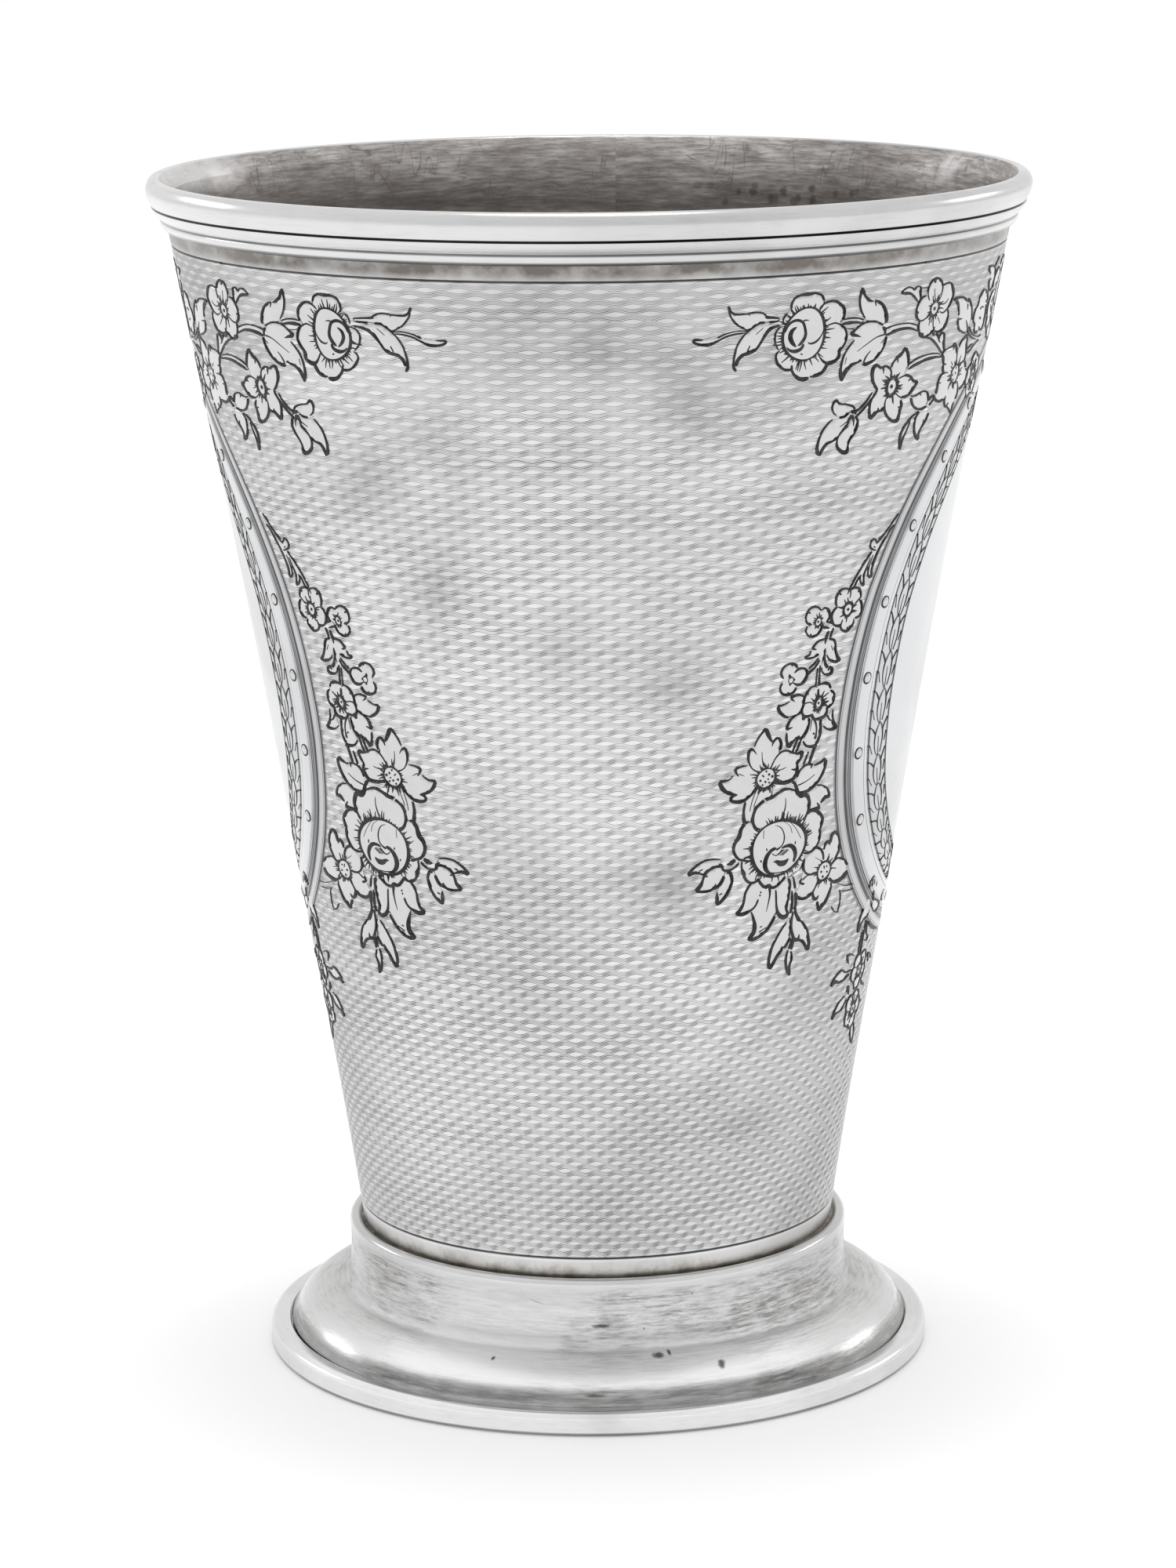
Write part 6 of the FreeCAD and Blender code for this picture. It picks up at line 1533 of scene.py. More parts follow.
s .12 .15 .3|40.33,47.9 41.5,47.6 42.83,47.0
s .3 .2 .15 .08|42.83,47.0 41.67,46.5 40.67,46.58 39.67,47.17
s .3 .15 .1|34.08,43.17 35.0,43.25 36.08,42.87
s .35 .08|34.15,43.08 34.83,42.25
s .35 .2 .2 .15 .15 .12|31.33,40.58 31.67,41.17 32.5,41.7 33.5,41.87 34.33,41.5 35.83,41.47
s .3 .35 .15 .15 .12|31.33,40.58 32.0,40.92 33.0,40.67 34.0,40.67 35.5,41.08
s .4 .25 .15 .08|32.83,36.8 33.17,37.67 34.0,38.42 35.33,38.8
s .35 .2 .15 .25 .15|32.83,36.8 33.5,37.25 35.0,37.45 35.33,37.92 36.17,38.25
s .15 .3 .08|35.58,39.17 35.92,39.63 36.33,38.75
s .25 .15 .08|41.17,42.03 42.33,41.87 43.33,41.17
s .3 .1|41.25,42.0 42.0,41.08
s .1 .15 .3|40.0,39.67 40.67,39.08 41.83,38.75
s .2|40.8,37.1 42.0,37.03
s .15 .25 .2|39.2,34.9 39.6,33.8 40.9,32.7
s .2 .3 .15|40.9,32.7 41.0,33.9 40.2,35.0
p 39.2,34.9 39.6,33.8 40.9,32.7 41.0,33.9 40.2,35.0
p 31.33,40.58 31.67,41.17 32.5,41.7 33.5,41.87 34.33,41.5 35.5,41.3 34.0,40.67 33.0,40.67 32.0,40.92
p 32.83,36.8 33.17,37.67 34.0,38.42 35.33,38.8 36.17,38.25 35.33,37.92 35.0,37.45 33.5,37.25
p 36.75,47.6 36.17,47.0 35.9,46.17 36.08,45.33 36.5,46.0 37.08,46.37 38.17,46.6 38.67,47.2 38.3,48.3 37.5,48.5
p 40.33,47.9 41.5,47.6 42.83,47.0 41.67,46.5 40.67,46.58 39.67,47.17 39.3,48.0
"""


def numbers(text):
    return [float(v) for v in text.replace(",", " ").split()]


def pairs(text):
    v = numbers(text)
    return np.array(v).reshape(-1, 2)


def read_drawing(text):
    items, strokes, name = [], [], ""
    for line in text.strip().splitlines():
        line = line.strip()
        if line.startswith("@"):
            name, strokes = line[1:], []
            continue
        kind, rest = line[0], line[2:]
        if kind == "s":
            w, p = rest.split("|")
            strokes.append(pairs(p))
            items.append((name, "s", numbers(w), strokes[-1]))
        elif kind == "e":
            w, p = rest.split("|")
            items.append((name, "e", numbers(w), numbers(p)))
        elif kind == "h":
            items.append((name, "h", None, numbers(rest)))
        elif kind == "d":
            items.append((name, "d", None, numbers(rest)))
        elif kind == "p":
            items.append((name, "p", None, pairs(rest)))
        elif kind == "P":
            whole = []
            for tok in rest.split():
                q = strokes[int(tok.strip("~"))]
                whole.append(q[::-1] if tok.startswith("~") else q)
            items.append((name, "p", None, np.vstack(whole)))
    return items


def rosette(cu, cz, size, petals, seed):
    """A small open flower where the drawing shows one only as a few cuts near the turn of the wall."""
    rng = np.random.default_rng(seed)
    k = REF / float(wall_r(cz))
    out = []
    ang0 = rng.uniform(0, 6.28)
    phi = np.linspace(0, 2 * math.pi, 16 * petals + 1)
    lobe = np.abs(np.cos(petals * (phi - ang0) / 2.0)) ** 0.45
    rad = size * (0.66 + 0.34 * lobe) * (1 + 0.05 * np.cos(3 * phi + seed))
    ring = np.stack([cu + k * rad * np.cos(phi), cz + rad * np.sin(phi)], -1)
    out.append(("ros", "p", None, ring[:-1]))
    for j in range(petals):
        a = ring[j * 16:(j + 1) * 16 + 1]
        out.append(("ros", "s", [0.10, 0.14, 0.2, 0.22, 0.15], a[::2]))
    for j in range(petals):
        b = ang0 + (2 * j + 1) * math.pi / petals
        r0, r1 = 0.34 * size, 0.72 * size
        out.append(("ros", "s", [0.12, 0.10, 0.14], np.array([[cu + k * r * math.cos(b + 0.06 * (r - r0)), cz + r * math.sin(b)]
                                                               for r in np.linspace(r0, r1, 4)])))
    out.append(("ros", "e", [0.14], [cu, cz, k * 0.27 * size, 0.27 * size, 0, 360]))
    out.append(("ros", "d", None, [cu, cz, 0.09 * size]))
    out.append(("ros", "h", None, [cu, cz, k * 0.28 * size, 0.28 * size, 0, 360, 8 * petals, 0.06 * size, 0.24 * size, 0.08]))
    return out


DRAWING = read_drawing(GARLAND)
# the large rose over the middle of each medallion is cut like the small one beside it, turned the other way
for it in list(DRAWING):
    if it[0] == "R1":
        _, kind, w, v = it
        if kind in ("s", "p"):
            q = np.array(v)
            q[:, 0] = 46.0 - 1.0 * (q[:, 0] - 17.2)
            q[:, 1] += 0.3
            DRAWING.append(("K1", kind, w, q))
        else:
            q = list(v)
            q[0] = 46.0 - 1.0 * (q[0] - 17.2)
            q[1] += 0.3
            DRAWING.append(("K1", kind, w, q))
DRAWING += rosette(41.3, 100.9, 2.3, 5, 3)
DRAWING += rosette(38.45, 41.0, 2.0, 5, 4)
DRAWING += rosette(38.6, 36.8, 2.1, 5, 5)


# ------------------------------------------------------------------ engraving: solids
class Heap:
    """Many small closed shells gathered into one mesh, each with its own cell of the map."""

    def __init__(self, cells):
        self.side = int(math.ceil(math.sqrt(cells)))
        self.cell = 0
        self.count = 0
        self.verts = []
        self.faces = {}

    def frame(self):
        c = self.cell
        self.cell += 1
        return (c % self.side) / self.side, (c // self.side) / self.side, 0.96 / self.side

    def add(self, verts, groups):
        """groups: (faces, smooth, uv in 0..1 of the cell)"""
        x0, y0, s = self.frame()
        for faces, smooth, uv in groups:
            faces = np.asarray(faces)
            if not len(faces):
                continue
            key = (faces.shape[1], smooth)
            uv = np.asarray(uv, dtype=float) * s + np.array([x0, y0])
            self.faces.setdefault(key, []).append((faces + self.count, uv))
        self.verts.append(np.asarray(verts, dtype=float))
        self.count += len(verts)

    def make(self, name, mat, node):
        groups, uvs = [], []
        for (k, smooth), parts in self.faces.items():
            groups.append((np.vstack([p[0] for p in parts]), smooth))
            uvs.append(np.vstack([p[1] for p in parts]))
        return build(name, np.vstack(self.verts), groups, uv=uvs, mat=mat, node=node)


def tangents(theta, z):
    r = wall_r(z)
    ds = np.gradient(theta) * r
    dz = np.gradient(z) / 0.983
    n = np.maximum(np.hypot(ds, dz), 1e-9)
    return ds / n, dz / n, r


def ribbon(heap, theta, z, w, top=0.066, mid=0.055, low=-0.08, lift=0.0):
    """A cut of the graver, filled with oxide: five-sided closed strip along the wall."""
    tx, tz, r = tangents(theta, z)
    m = len(theta)
    w = np.maximum(np.broadcast_to(w, (m,)), 0.02)
    off = [(0.5, top), (0.0, mid), (-0.5, top), (-0.5, low), (0.5, low)]
    P = []
    for o, h in off:
        P.append(on_wall(theta + (-tz) * o * w / r, z + tx * o * w * 0.983, h + lift))
    P = np.stack(P, 1).reshape(-1, 3)
    idx = np.arange(m * 5).reshape(m, 5)
    quads, uv = [], []
    v = np.linspace(0.02, 0.98, m)
    for k in range(5):
        k2 = (k + 1) % 5
        quads.append(np.stack([idx[:-1, k], idx[:-1, k2], idx[1:, k2], idx[1:, k]], -1))
        u0, u1 = k / 5.0, (k + 0.9) / 5.0
        uv.append(np.stack([np.stack([np.full(m - 1, u0), v[:-1]], -1), np.stack([np.full(m - 1, u1), v[:-1]], -1),
                            np.stack([np.full(m - 1, u1), v[1:]], -1), np.stack([np.full(m - 1, u0), v[1:]], -1)], 1))
    caps = np.stack([idx[-1], idx[0][::-1]])
    cuv = np.array([[(0.2 * j, 0.985 + 0.01 * (j % 2)) for j in range(5)], [(0.2 * j, 0.0 + 0.01 * (j % 2)) for j in range(5)]])
    heap.add(P, [(np.vstack(quads), False, np.vstack(uv)), (caps, False, cuv)])


def disc_dot(heap, theta, z, rad, top=0.066, low=-0.08, dome=0.0, rings=1, n=12, lift=0.0):
    """A punched dot (flat) or a raised stud (dome > 0)."""
    ph = np.arange(n) * 2 * math.pi / n
    r = float(wall_r(z))
    verts, rows = [], []
    rr = [(1.0, low)] + [(math.cos(0.5 * math.pi * k / rings) if dome else 1.0, top + dome * math.sin(0.5 * math.pi * k / rings)) for k in range(rings)]
    for f, h in rr:
        rows.append(len(verts))
        for a in ph:
            verts.append(on_wall(theta + f * rad * math.cos(a) / r, z + f * rad * math.sin(a), h + lift))
    verts.append(on_wall(theta, z, top + dome + lift)); c_top = len(verts) - 1
    verts.append(on_wall(theta, z, low + lift)); c_low = len(verts) - 1
    quads, uvq, tris, uvt = [], [], [], []
    for a, b in zip(rows[:-1], rows[1:]):
        for k in range(n):
            k2 = (k + 1) % n
            quads.append((a + k, a + k2, b + k2, b + k))
            u0, u1 = k / n, (k + 1) / n
            v0, v1 = 0.5 + 0.4 * rows.index(a) / len(rows), 0.5 + 0.4 * (rows.index(a) + 0.9) / len(rows)
            uvq.append([(u0, v0), (u1, v0), (u1, v1), (u0, v1)])
    disk = lambda k, x: (x + 0.2 * math.cos(2 * math.pi * k / n), 0.24 + 0.2 * math.sin(2 * math.pi * k / n))
    for k in range(n):
        k2 = (k + 1) % n
        tris.append((rows[-1] + k, rows[-1] + k2, c_top)); uvt.append([disk(k, 0.25), disk(k + 1, 0.25), (0.25, 0.24)])
        tris.append((rows[0] + k2, rows[0] + k, c_low)); uvt.append([disk(k + 1, 0.72), disk(k, 0.72), (0.72, 0.24)])
    sm = bool(dome)
    heap.add(np.array(verts), [(quads, sm, uvq), (tris, sm, uvt)])


def plate(heap, theta, z, lift):
    """A petal or leaf burnished bright: thin closed piece draped over the wall, slightly cushioned."""
    rm = float(np.mean(wall_r(z)))
    t0, z0 = float(np.mean(theta)), float(np.mean(z))
    poly = np.stack([(theta - t0) * rm, z - z0], -1)
    fine = []
    for a, b in zip(poly, np.roll(poly, -1, 0)):
        m = max(1, int(math.ceil(np.linalg.norm(b - a) / 0.3)))
        for q in range(m):
            fine.append(a + (b - a) * q / m)
    fine = np.array(fine)
    lo, hi = fine.min(0), fine.max(0)
    step = 0.42
    gx, gy = np.meshgrid(np.arange(lo[0], hi[0], step), np.arange(lo[1], hi[1], step * 0.866))
    gx[1::2] += step / 2
    g = np.stack([gx.ravel(), gy.ravel()], -1)
    a, b = fine, np.roll(fine, -1, 0)
    inside = np.zeros(len(g), bool)
    for p, q in zip(a, b):
        cross = ((p[1] > g[:, 1]) != (q[1] > g[:, 1]))
        with np.errstate(divide="ignore", invalid="ignore"):
            xs = (q[0] - p[0]) * (g[:, 1] - p[1]) / (q[1] - p[1]) + p[0]
        inside ^= cross & (g[:, 0] < xs)

    def dist(pts):
        ab = b - a
        l2 = np.maximum((ab ** 2).sum(1), 1e-12)
        t = np.clip(((pts[:, None, :] - a[None]) * ab[None]).sum(-1) / l2[None], 0, 1)
        near = a[None] + t[..., None] * ab[None]
        return np.sqrt(((pts[:, None, :] - near) ** 2).sum(-1)).min(1)

    g = g[inside]
    if len(g):
        g = g[dist(g) > 0.16]
    pts = np.vstack([fine, g])
    v2, edges, faces, *_ = delaunay_2d_cdt([Vector((float(p[0]), float(p[1]))) for p in pts], [], [list(range(len(fine)))], 1, 1e-5)
    v2 = np.array([[p[0], p[1]] for p in v2])
    tri = []
    for f in faces:
        for k in range(1, len(f) - 1):
            tri.append((f[0], f[k], f[k + 1]))
    if not tri:
        return
    tri = np.array(tri)
    area = ((v2[tri[:, 1]] - v2[tri[:, 0]])[:, 0] * (v2[tri[:, 2]] - v2[tri[:, 0]])[:, 1]
            - (v2[tri[:, 1]] - v2[tri[:, 0]])[:, 1] * (v2[tri[:, 2]] - v2[tri[:, 0]])[:, 0])
    tri = tri[np.abs(area) > 1e-9]
    area = area[np.abs(area) > 1e-9]
    tri[area < 0] = tri[area < 0][:, ::-1]
    used = np.unique(tri)
    remap = np.full(len(v2), -1)
    remap[used] = np.arange(len(used))
    v2, tri = v2[used], remap[tri]
    d = dist(v2)
    h = 0.012 + 0.030 * (1 - np.exp(-d / 0.45)) + lift
    th, zz = t0 + v2[:, 0] / rm, z0 + v2[:, 1]
    top = on_wall(th, zz, h)
    low = on_wall(th, zz, -0.07)
    n = len(v2)
    directed = {}
    for t in tri:
        for k in range(3):
            directed[(t[k], t[(k + 1) % 3])] = True
    rim = [(p, q) for (p, q) in directed if (q, p) not in directed]
    sides = np.array([(p + n, q + n, q, p) for p, q in rim])
    span = float((hi - lo).max()) + 1e-6
    uv = (v2 - lo) / span
    uv_top = uv[tri] * 0.80
    uv_low = uv[tri][:, ::-1] * 0.17 + np.array([0.82, 0.82])
    k = np.arange(len(rim)) / len(rim)
    uv_side = np.stack([np.stack([k * 0.8, np.full(len(rim), 0.84)], -1), np.stack([(k + 0.9 / len(rim)) * 0.8, np.full(len(rim), 0.84)], -1),
                        np.stack([(k + 0.9 / len(rim)) * 0.8, np.full(len(rim), 0.9)], -1), np.stack([k * 0.8, np.full(len(rim), 0.9)], -1)], 1)
    heap.add(np.vstack([top, low]), [(tri, True, uv_top), (tri[:, ::-1] + n, True, uv_low), (sides, False, uv_side)])


def place(u, z, which):
    """Angle for a drawn point: 0 right front, 1 left front, 2 right back, 3 left back."""
    rng = (0.0, 1.3, 2.9, 4.1)[which]
    z2 = z + 0.05 * np.sin(0.9 * u + rng) * np.cos(0.6 * z + 2 * rng) * (which > 0)
    u2 = u + 0.07 * np.sin(0.7 * z + rng) * np.cos(0.5 * u + rng) * (which > 0)
    if which == 1:
        # the left front copy was cut by hand a little nearer to the middle, and its leaves longer
        over = np.clip((z2 - 92.0) / 4.0, 0, 1)
        low = np.interp(u2, [8, 26, 31, 36, 52], [1.1, 1.1, 0.7, 0.3, 0.0])
        high = np.interp(u2, [7, 13, 14.5, 17, 20, 26, 31, 36, 52], [1.4, 1.25, 0.35, 0.3, 0.85, 0.9, 1.3, 1.0, 0.0])
        mid = np.clip((106.2 - z2) / 1.5, 0, 1) * np.interp(u2, [18, 21, 29, 31], [0.0, 0.9, 0.9, 0.0])
        u2 = u2 - (1 - over) * low - over * np.maximum(high, mid)
    th = u2 / REF + OVAL_TAPER
    if which == 1:
        th = -th
    elif which == 2:
        th = math.pi - th
    elif which == 3:
        th = math.pi + th
    return th, z2


def widths(w, pts, s):
    if len(w) == 1:
        return np.full(len(s), w[0])
    if len(w) == len(pts):
        d = np.concatenate([[0], np.cumsum(np.linalg.norm(np.diff(pts, axis=0), axis=1))])
        return np.interp(s, d / d[-1], w)
    return np.interp(s, np.linspace(0, 1, len(w)), w)


def engrave(which, tag):
    rng = np.random.default_rng(100 + which)
    cuts = Heap(3400)
    leaves = Heap(90)
    count = 0
    for name, kind, w, v in DRAWING:
        if kind == "s":
            c, s = spline(v, step=0.17)
            ww = widths(w, v, s) * STROKE * (1 + 0.08 * rng.normal())
            ends = np.minimum(s, 1 - s) * max(0.3, float(np.linalg.norm(np.diff(c, axis=0), axis=1).sum()))
            ww = np.maximum(ww, 0.05) * np.clip(0.45 + ends / 0.25, 0.45, 1)
            th, z = place(c[:, 0], c[:, 1], which)
            ribbon(cuts, th, z, ww, lift=0.0003 * (count % 7))
        elif kind == "e":
            cu, cz, a, b, t0, t1 = v
            t = np.radians(np.linspace(t0, t1, max(14, int((a + b) * 14))))
            wob = 1 + 0.03 * np.sin(3 * t + cu)
            th, z = place(cu + a * wob * np.cos(t), cz + b * wob * np.sin(t), which)
            ribbon(cuts, th, z, w[0] * STROKE * (1 + 0.35 * np.sin(2 * t + cz)), lift=0.0003 * (count % 7))
        elif kind == "h":
            cu, cz, a, b, t0, t1, n, l0, l1, hw = v
            k = REF / float(wall_r(cz))
            for j in range(int(n)):
                t = math.radians(t0 + (t1 - t0) * (j + 0.25 * rng.normal()) / n)
                dx, dz = math.cos(t) / max(a, 0.05), math.sin(t) / max(b, 0.05)
                q = math.hypot(dx, dz)
                dx, dz = dx / q, dz / q
                ln = 1.15 * l0 + (1.9 * l1 - l0) * rng.uniform() ** 1.8
                bend = 0.12 * rng.normal()
                f = np.linspace(0.0, 1.0, 3)
                pu = cu + a * math.cos(t) + k * (dx * f - dz * bend * f * f) * ln
                pz = cz + b * math.sin(t) + (dz * f + dx * bend * f * f) * ln
                th, z = place(pu, pz, which)
                ribbon(cuts, th, z, 1.75 * hw * STROKE * np.array([1.25, 0.80, 0.30]), lift=0.0003 * (count % 7))
        elif kind == "d":
            th, z = place(np.float64(v[0]), np.float64(v[1]), which)
            disc_dot(cuts, float(th), float(z), v[2])
        else:
            th, z = place(v[:, 0], v[:, 1], which)
            plate(leaves, th, z, 0.0012 * (count % 5))
        count += 1
    leaves.make("garland_petals_" + tag, mat_petal, "body_wall")
    cuts.make("garland_cuts_" + tag, mat_oxide, "body_wall")


STROKE = 1.10
for which, tag in enumerate(("right_front", "left_front", "right_back", "left_back")):
    engrave(which, tag)

# ------------------------------------------------------------------ oval medallions
# cuts that follow the oval: distance inward from its outline, width, depth, darkness
RINGS = [(0.0, 0.28, 0.07, 1.0), (0.30, 0.06, 0.015, 0.5), (1.00, 0.06, 0.015, 0.5), (1.38, 0.44, 0.10, 1.0),
         (1.72, 0.10, 0.02, 0.7), (1.92, 0.14, 0.05, 1.0), (2.18, 0.18, 0.05, 1.0), (2.50, 0.06, 0.02, 0.6),
         (2.68, 0.05, 0.02, 0.45), (4.35, 0.05, 0.02, 0.5), (5.20, 0.30, 0.08, 1.0), (8.70, 0.26, 0.08, 1.0)]


def ring_tone(d):
    """Faint film left between the rings of the frame; the middle is wiped bright."""
    return 0.24 if 0.05 < d < 2.7 else (0.17 if 5.3 < d < 8.6 else 0.05)


def medallion(side, tag):
    """side +1 is centred on +X, -1 on -X. One closed relief over the sunk oval of the wall."""
    rows = [(-0.12, -0.20, 0.0), (-0.12, -0.012, 0.0)]
    last = -0.12
    for d, w, dep, dark in RINGS:
        e = 0.03 if w > 0.08 else 0.015
        for dd, hh, cc in ((d - w / 2 - e, 0.0, 0.0), (d - w / 2, -dep * 0.7, dark * 0.9), (d, -dep, dark), (d + w / 2, -dep * 0.7, dark * 0.9), (d + w / 2 + e, 0.0, 0.0)):
            if dd > last + 0.01:
                gap = dd - last
                if hh == 0.0 and gap > 0.45:
                    for q in range(1, int(gap / 0.3)):
                        rows.append((last + gap * q / int(gap / 0.3), None, ring_tone(last + gap * q / int(gap / 0.3))))
                rows.append((dd, hh, max(cc, ring_tone(dd))))
                last = dd
    for d in (9.3, 10.5, 12, 13.5, 15, 16.5, 18, 19.5, 21, 22.5, 24, 25.2, 26.1):
        rows.append((d, None, 0.0))
    n = 384
    t = np.arange(n) * 2 * math.pi / n
    verts, cut = [], []
    for d, h, c in rows:
        a = 26.5 - d
        u, z = oval_at(t, np.full(n, a))
        base = 0.0
        if 0.1 < d < 1.25:
            base = 0.05 * math.sin(math.pi * (d - 0.1) / 1.15)
        elif 2.7 < d < 5.1:
            base = 0.07 * math.sin(math.pi * (d - 2.7) / 2.4)
        elif 5.3 < d < 8.6:
            base = 0.03 * math.sin(math.pi * (d - 5.3) / 3.3) - 0.01
        hh = base if h is None else h + (base if h == 0.0 else 0.0)
        if d > 8.8:
            hh = 0.010 * np.sin(2 * t + 0.6 * d) * np.cos(0.35 * d) - 0.012
        th = side * (0.5 * math.pi + u / wall_r(z))
        verts.append(on_wall(th, z, hh))
        cut.append(np.full(n, c))
    R = len(rows)
    centre = on_wall(side * 0.5 * math.pi, OVAL_Z, -0.012)
    # the underside, following the wall more coarsely
    back = []
    for d in (0.0, 3.0, 7.0, 12.0, 17.0, 22.0, 25.5):
        u, z = oval_at(t, np.full(n, 26.5 - d))
        back.append(on_wall(side * (0.5 * math.pi + u / wall_r(z)), z, -0.205))
    back_c = on_wall(side * 0.5 * math.pi, OVAL_Z, -0.205)
    V = np.vstack(verts + back + [centre[None], back_c[None]])
    idx = np.arange(R * n).reshape(R, n)
    bid = R * n + np.arange(len(back) * n).reshape(len(back), n)
    ct, cb = len(V) - 2, len(V) - 1

    def turn_in(outer, inner):
        o2, i2 = np.roll(outer, -1), np.roll(inner, -1)
        return np.stack([outer, o2, i2, inner], -1)

    quads = np.vstack([turn_in(idx[k], idx[k + 1]) for k in range(R - 1)])
    bq = np.vstack([turn_in(bid[k], bid[k + 1])[:, ::-1] for k in range(len(back) - 1)] + [turn_in(idx[0], bid[0])[:, ::-1]])
    tf = np.stack([idx[-1], np.roll(idx[-1], -1), np.full(n, ct)], -1)
    tb = np.stack([np.roll(bid[-1], -1), bid[-1], np.full(n, cb)], -1)
    if side < 0:
        quads, bq, tf, tb = quads[:, ::-1], bq[:, ::-1], tf[:, ::-1], tb[:, ::-1]
    flat = np.zeros((len(V), 2))
    for k, (d, h, c) in enumerate(rows):
        a = (26.5 - d) / 27.0
        flat[idx[k]] = np.stack([0.26 + 0.235 * a * np.cos(t), 0.5 + 0.47 * a * np.sin(t)], -1)
    for k, d in enumerate((0.0, 3.0, 7.0, 12.0, 17.0, 22.0, 25.5)):
        a = (26.5 - d) / 27.0
        flat[bid[k]] = np.stack([0.76 + 0.20 * a * np.cos(t), 0.5 + 0.40 * a * np.sin(t)], -1)
    flat[ct] = (0.26, 0.5)
    flat[cb] = (0.76, 0.5)
    uvb = flat[bq]
    joint = len(bq) - n
    ring_uv = flat[bid[0]]
    grown = (ring_uv - np.array([0.76, 0.5])) * 1.08 + np.array([0.76, 0.5])
    inner_uv = ring_uv
    if side > 0:
        uvb[joint:] = np.stack([inner_uv, np.roll(inner_uv, -1, 0), np.roll(grown, -1, 0), grown], 1)
    else:
        uvb[joint:] = np.stack([grown, np.roll(grown, -1, 0), np.roll(inner_uv, -1, 0), inner_uv], 1)
    cuts_ = np.concatenate([np.concatenate(cut), np.zeros(len(back) * n + 2)])
    ob = build("medallion_" + tag, V, [(quads, True), (bq, False), (tf, True), (tb, False)], cut=cuts_,
               uv=[flat[quads], uvb, flat[tf], flat[tb]], mat=mat_field, node="body_wall")
    ob.data.set_sharp_from_angle(angle=math.radians(60))

    # laurel: overlapping leaves between the two inner rings, tips upward, and the studs between the rings
    lines = Heap(700)
    studs = Heap(24)
    rng = np.random.default_rng(7)

    def along(td, half, w, step=0.28, lift=0.0):
        td = np.array(td, float)
        q, s = spline(td * np.array([0.46, 1.0]), step=step)
        tt, dd = q[:, 0] / 0.46, q[:, 1]
        if half:
            tt = 180.0 - tt
        u, z = oval_at(np.radians(tt), 26.5 - dd)
        th = side * (0.5 * math.pi + u / wall_r(z))
        ww = 1.35 * np.interp(s, np.linspace(0, 1, len(w)), w)
        ribbon(lines, th, z, ww, top=0.045 + lift, mid=0.012 + lift, low=-0.1)

    for half in (0, 1):
        for k in range(-10, 9):
            T = 186.2 + 8.85 * k + 0.25 * rng.normal()
            if T < 92 or T > 262:
                continue
            along([(T, 5.25), (T + 1, 5.75), (T + 2.8, 6.3)], half, [0.08, 0.14, 0.16])
            along([(T + 0.3, 6.95), (T + 1.3, 6.62), (T + 2.8, 6.3), (T + 5.3, 6.2), (T + 8, 6.5), (T + 9.3, 6.93)], half, [0.10, 0.16, 0.12, 0.07, 0.07, 0.12])
            along([(T + 0.3, 6.98), (T + 1, 7.3), (T + 3, 7.65), (T + 6, 7.7), (T + 8.9, 7.35)], half, [0.10, 0.18, 0.14, 0.08, 0.12])
            along([(T + 4, 6.92), (T + 9.4, 6.97)], half, [0.03, 0.08])
            along([(T + 2.8, 7.66), (T + 1.3, 8.1), (T + 0.5, 8.55)], half, [0.16, 0.12, 0.10])
            along([(T + 4.6, 5.35), (T + 7.4, 5.85)], half, [0.06, 0.03])
            along([(T + 4.4, 8.5), (T + 6.8, 8.1)], half, [0.06, 0.03])
    # knot and crossing stems at the foot of the laurel
    for half in (0, 1):
        for dd in (5.7, 6.3, 7.5, 8.2):
            along([(264, dd), (268, dd + 0.15), (270.5, 6.9)], half, [0.10, 0.16, 0.08])
    STUD_HALF = [98.7, 117.5, 134.0, 150.5, 166.5, 182.3, 199.0, 216.0, 254.0]
    for a in STUD_HALF + [180 - v for v in STUD_HALF] + [270.0]:
        u, z = oval_at(np.radians(a), 23.10)
        th = side * (0.5 * math.pi + float(u) / float(wall_r(z)))
        disc_dot(studs, th, float(z), 0.50, top=0.03, low=-0.10, dome=0.22, rings=5, n=24)
        # dark oxide seam round the stud; its extra width on the lower side is painted shadow under the stud
        ph = np.radians(np.linspace(-88, 268, 22))
        ribbon(lines, th + 0.55 * np.cos(ph) / float(wall_r(z)), float(z) + 0.55 * np.sin(ph),
               0.10 + 0.11 * np.clip(-np.sin(ph + 0.5), 0, 1), top=0.092, mid=0.080, low=-0.1)
    lines.make("medallion_cuts_" + tag, mat_oxide, "body_wall")
    studs.make("medallion_studs_" + tag, mat_petal, "body_wall")


medallion(1, "right")
medallion(-1, "left")

# ------------------------------------------------------------------ stage
def make_floor():
    m = new_mat("studio_floor")
    n = Net(m)
    p = n.out((0.82, 0.82, 0.82, 1.0), 0.9, None, metallic=0.0)
    p.inputs["Specular IOR Level"].default_value = 0.1
    p.inputs["Emission Color"].default_value = (1.0, 1.0, 1.0, 1.0)
    p.inputs["Emission Strength"].default_value = 0.23
    return m


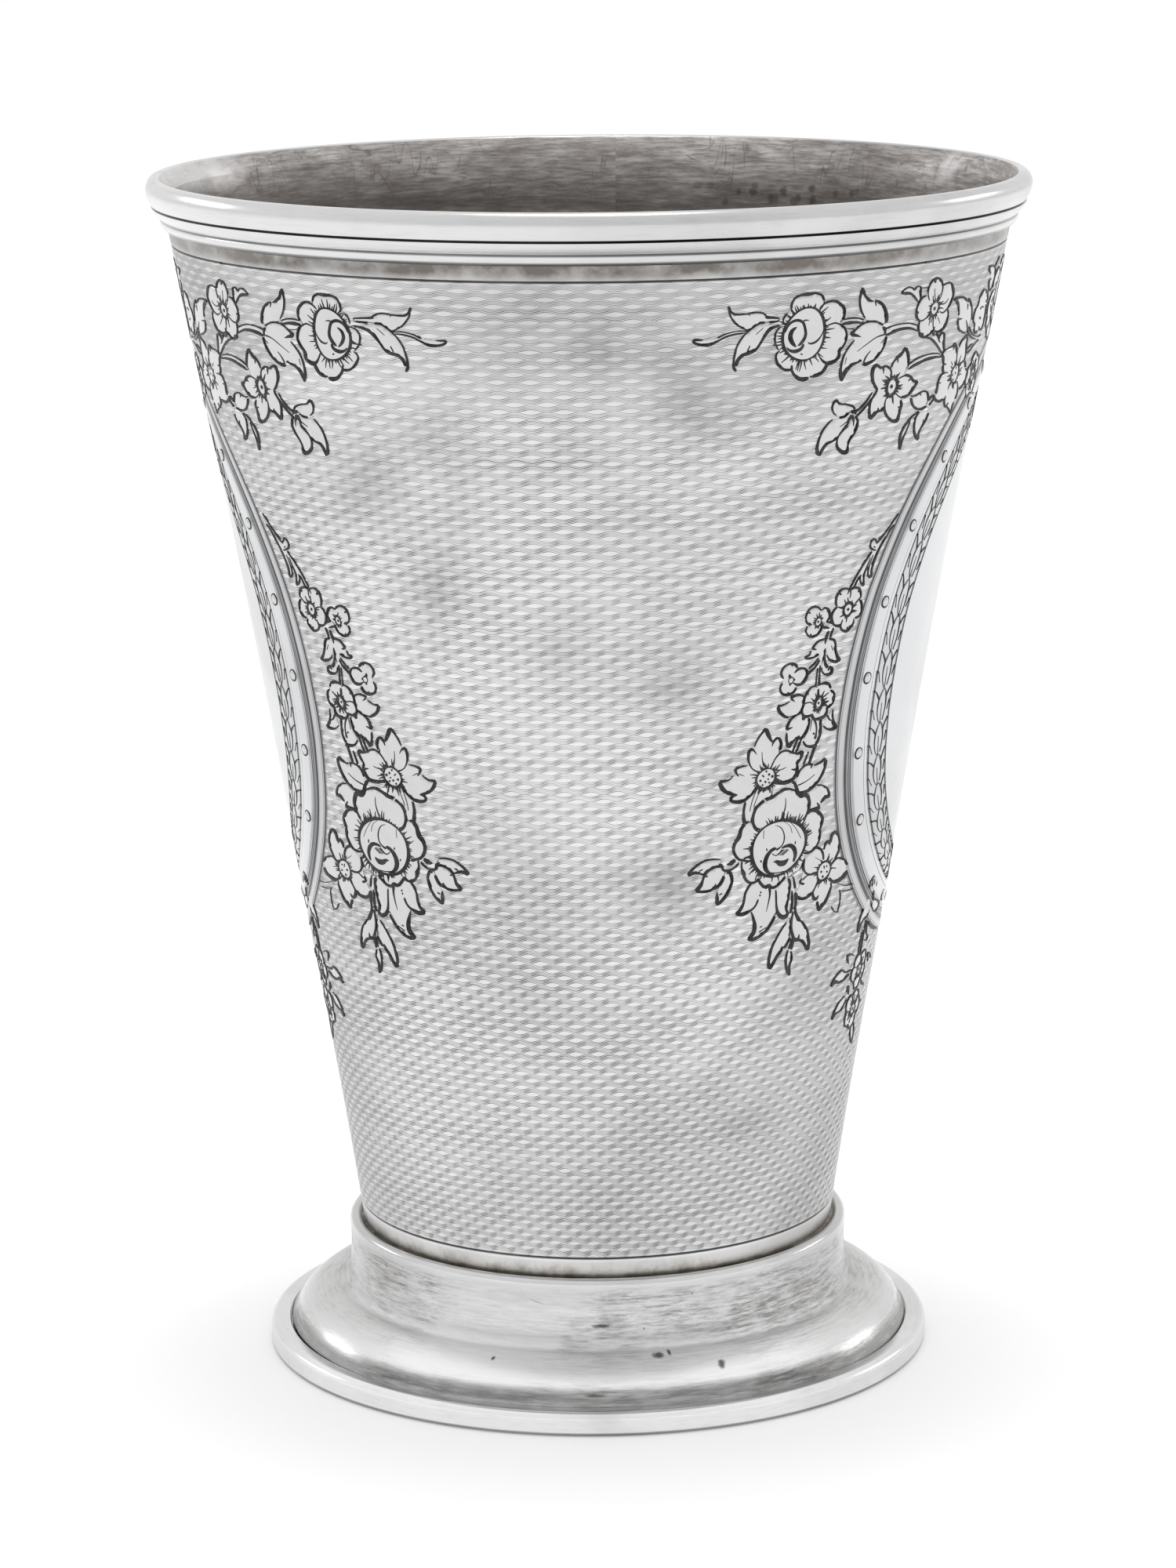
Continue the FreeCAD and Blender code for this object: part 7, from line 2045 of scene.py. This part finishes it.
me = bpy.data.meshes.new("studio_floor")
S = 9.0
me.from_pydata([(-S, -S, 0), (S, -S, 0), (S, S, 0), (-S, S, 0)], [], [(0, 1, 2, 3)])
floor = bpy.data.objects.new("studio_floor", me)
bpy.context.scene.collection.objects.link(floor)
me.materials.append(make_floor())
floor.location.z = -0.0001

scene = bpy.context.scene
scene.view_settings.view_transform = "Standard"
scene.view_settings.look = "None"
scene.view_settings.exposure = 0.0
scene.view_settings.gamma = 1.0

world = bpy.data.worlds.new("studio")
scene.world = world
world.use_nodes = True
wt = world.node_tree
wt.nodes.clear()
bg = wt.nodes.new("ShaderNodeBackground")
wo = wt.nodes.new("ShaderNodeOutputWorld")
wt.links.new(bg.outputs[0], wo.inputs[0])
tc = wt.nodes.new("ShaderNodeTexCoord")
# a dim opening of the studio towards the front, soft white everywhere else
dot = wt.nodes.new("ShaderNodeVectorMath"); dot.operation = "DOT_PRODUCT"
wt.links.new(tc.outputs["Generated"], dot.inputs[0])
dot.inputs[1].default_value = AROUND.to_3x3() @ Vector((0.0, -0.97, 0.24)).normalized()
wr = wt.nodes.new("ShaderNodeValToRGB")
wr.color_ramp.interpolation = "EASE"
wr.color_ramp.elements[0].position = 0.20
wr.color_ramp.elements[0].color = (0.95, 0.95, 0.95, 1)
wr.color_ramp.elements[1].position = 0.95
wr.color_ramp.elements[1].color = (0.86, 0.86, 0.86, 1)
wt.links.new(dot.outputs["Value"], wr.inputs[0])
wt.links.new(wr.outputs[0], bg.inputs[0])
bg.inputs[1].default_value = 1.0


def area(name, loc, target, sx, sy, power):
    d = bpy.data.lights.new(name, "AREA")
    d.shape = "RECTANGLE"
    d.size, d.size_y = sx, sy
    d.energy = power
    o = bpy.data.objects.new(name, d)
    bpy.context.scene.collection.objects.link(o)
    loc = AROUND @ Vector(loc)
    o.location = loc
    o.rotation_mode = "QUATERNION"
    o.rotation_quaternion = (Vector(target) - loc).to_track_quat("-Z", "Y")
    return o


area("soft_top", (0.0, 0.10, 1.30), (0.0, 0.0, 0.05), 0.40, 0.40, 4.2)
area("soft_left", (-0.95, 0.50, 0.42), (0.0, 0.0, 0.06), 0.42, 0.18, 0.50)
area("soft_right", (0.95, 0.50, 0.42), (0.0, 0.0, 0.06), 0.42, 0.18, 0.50)
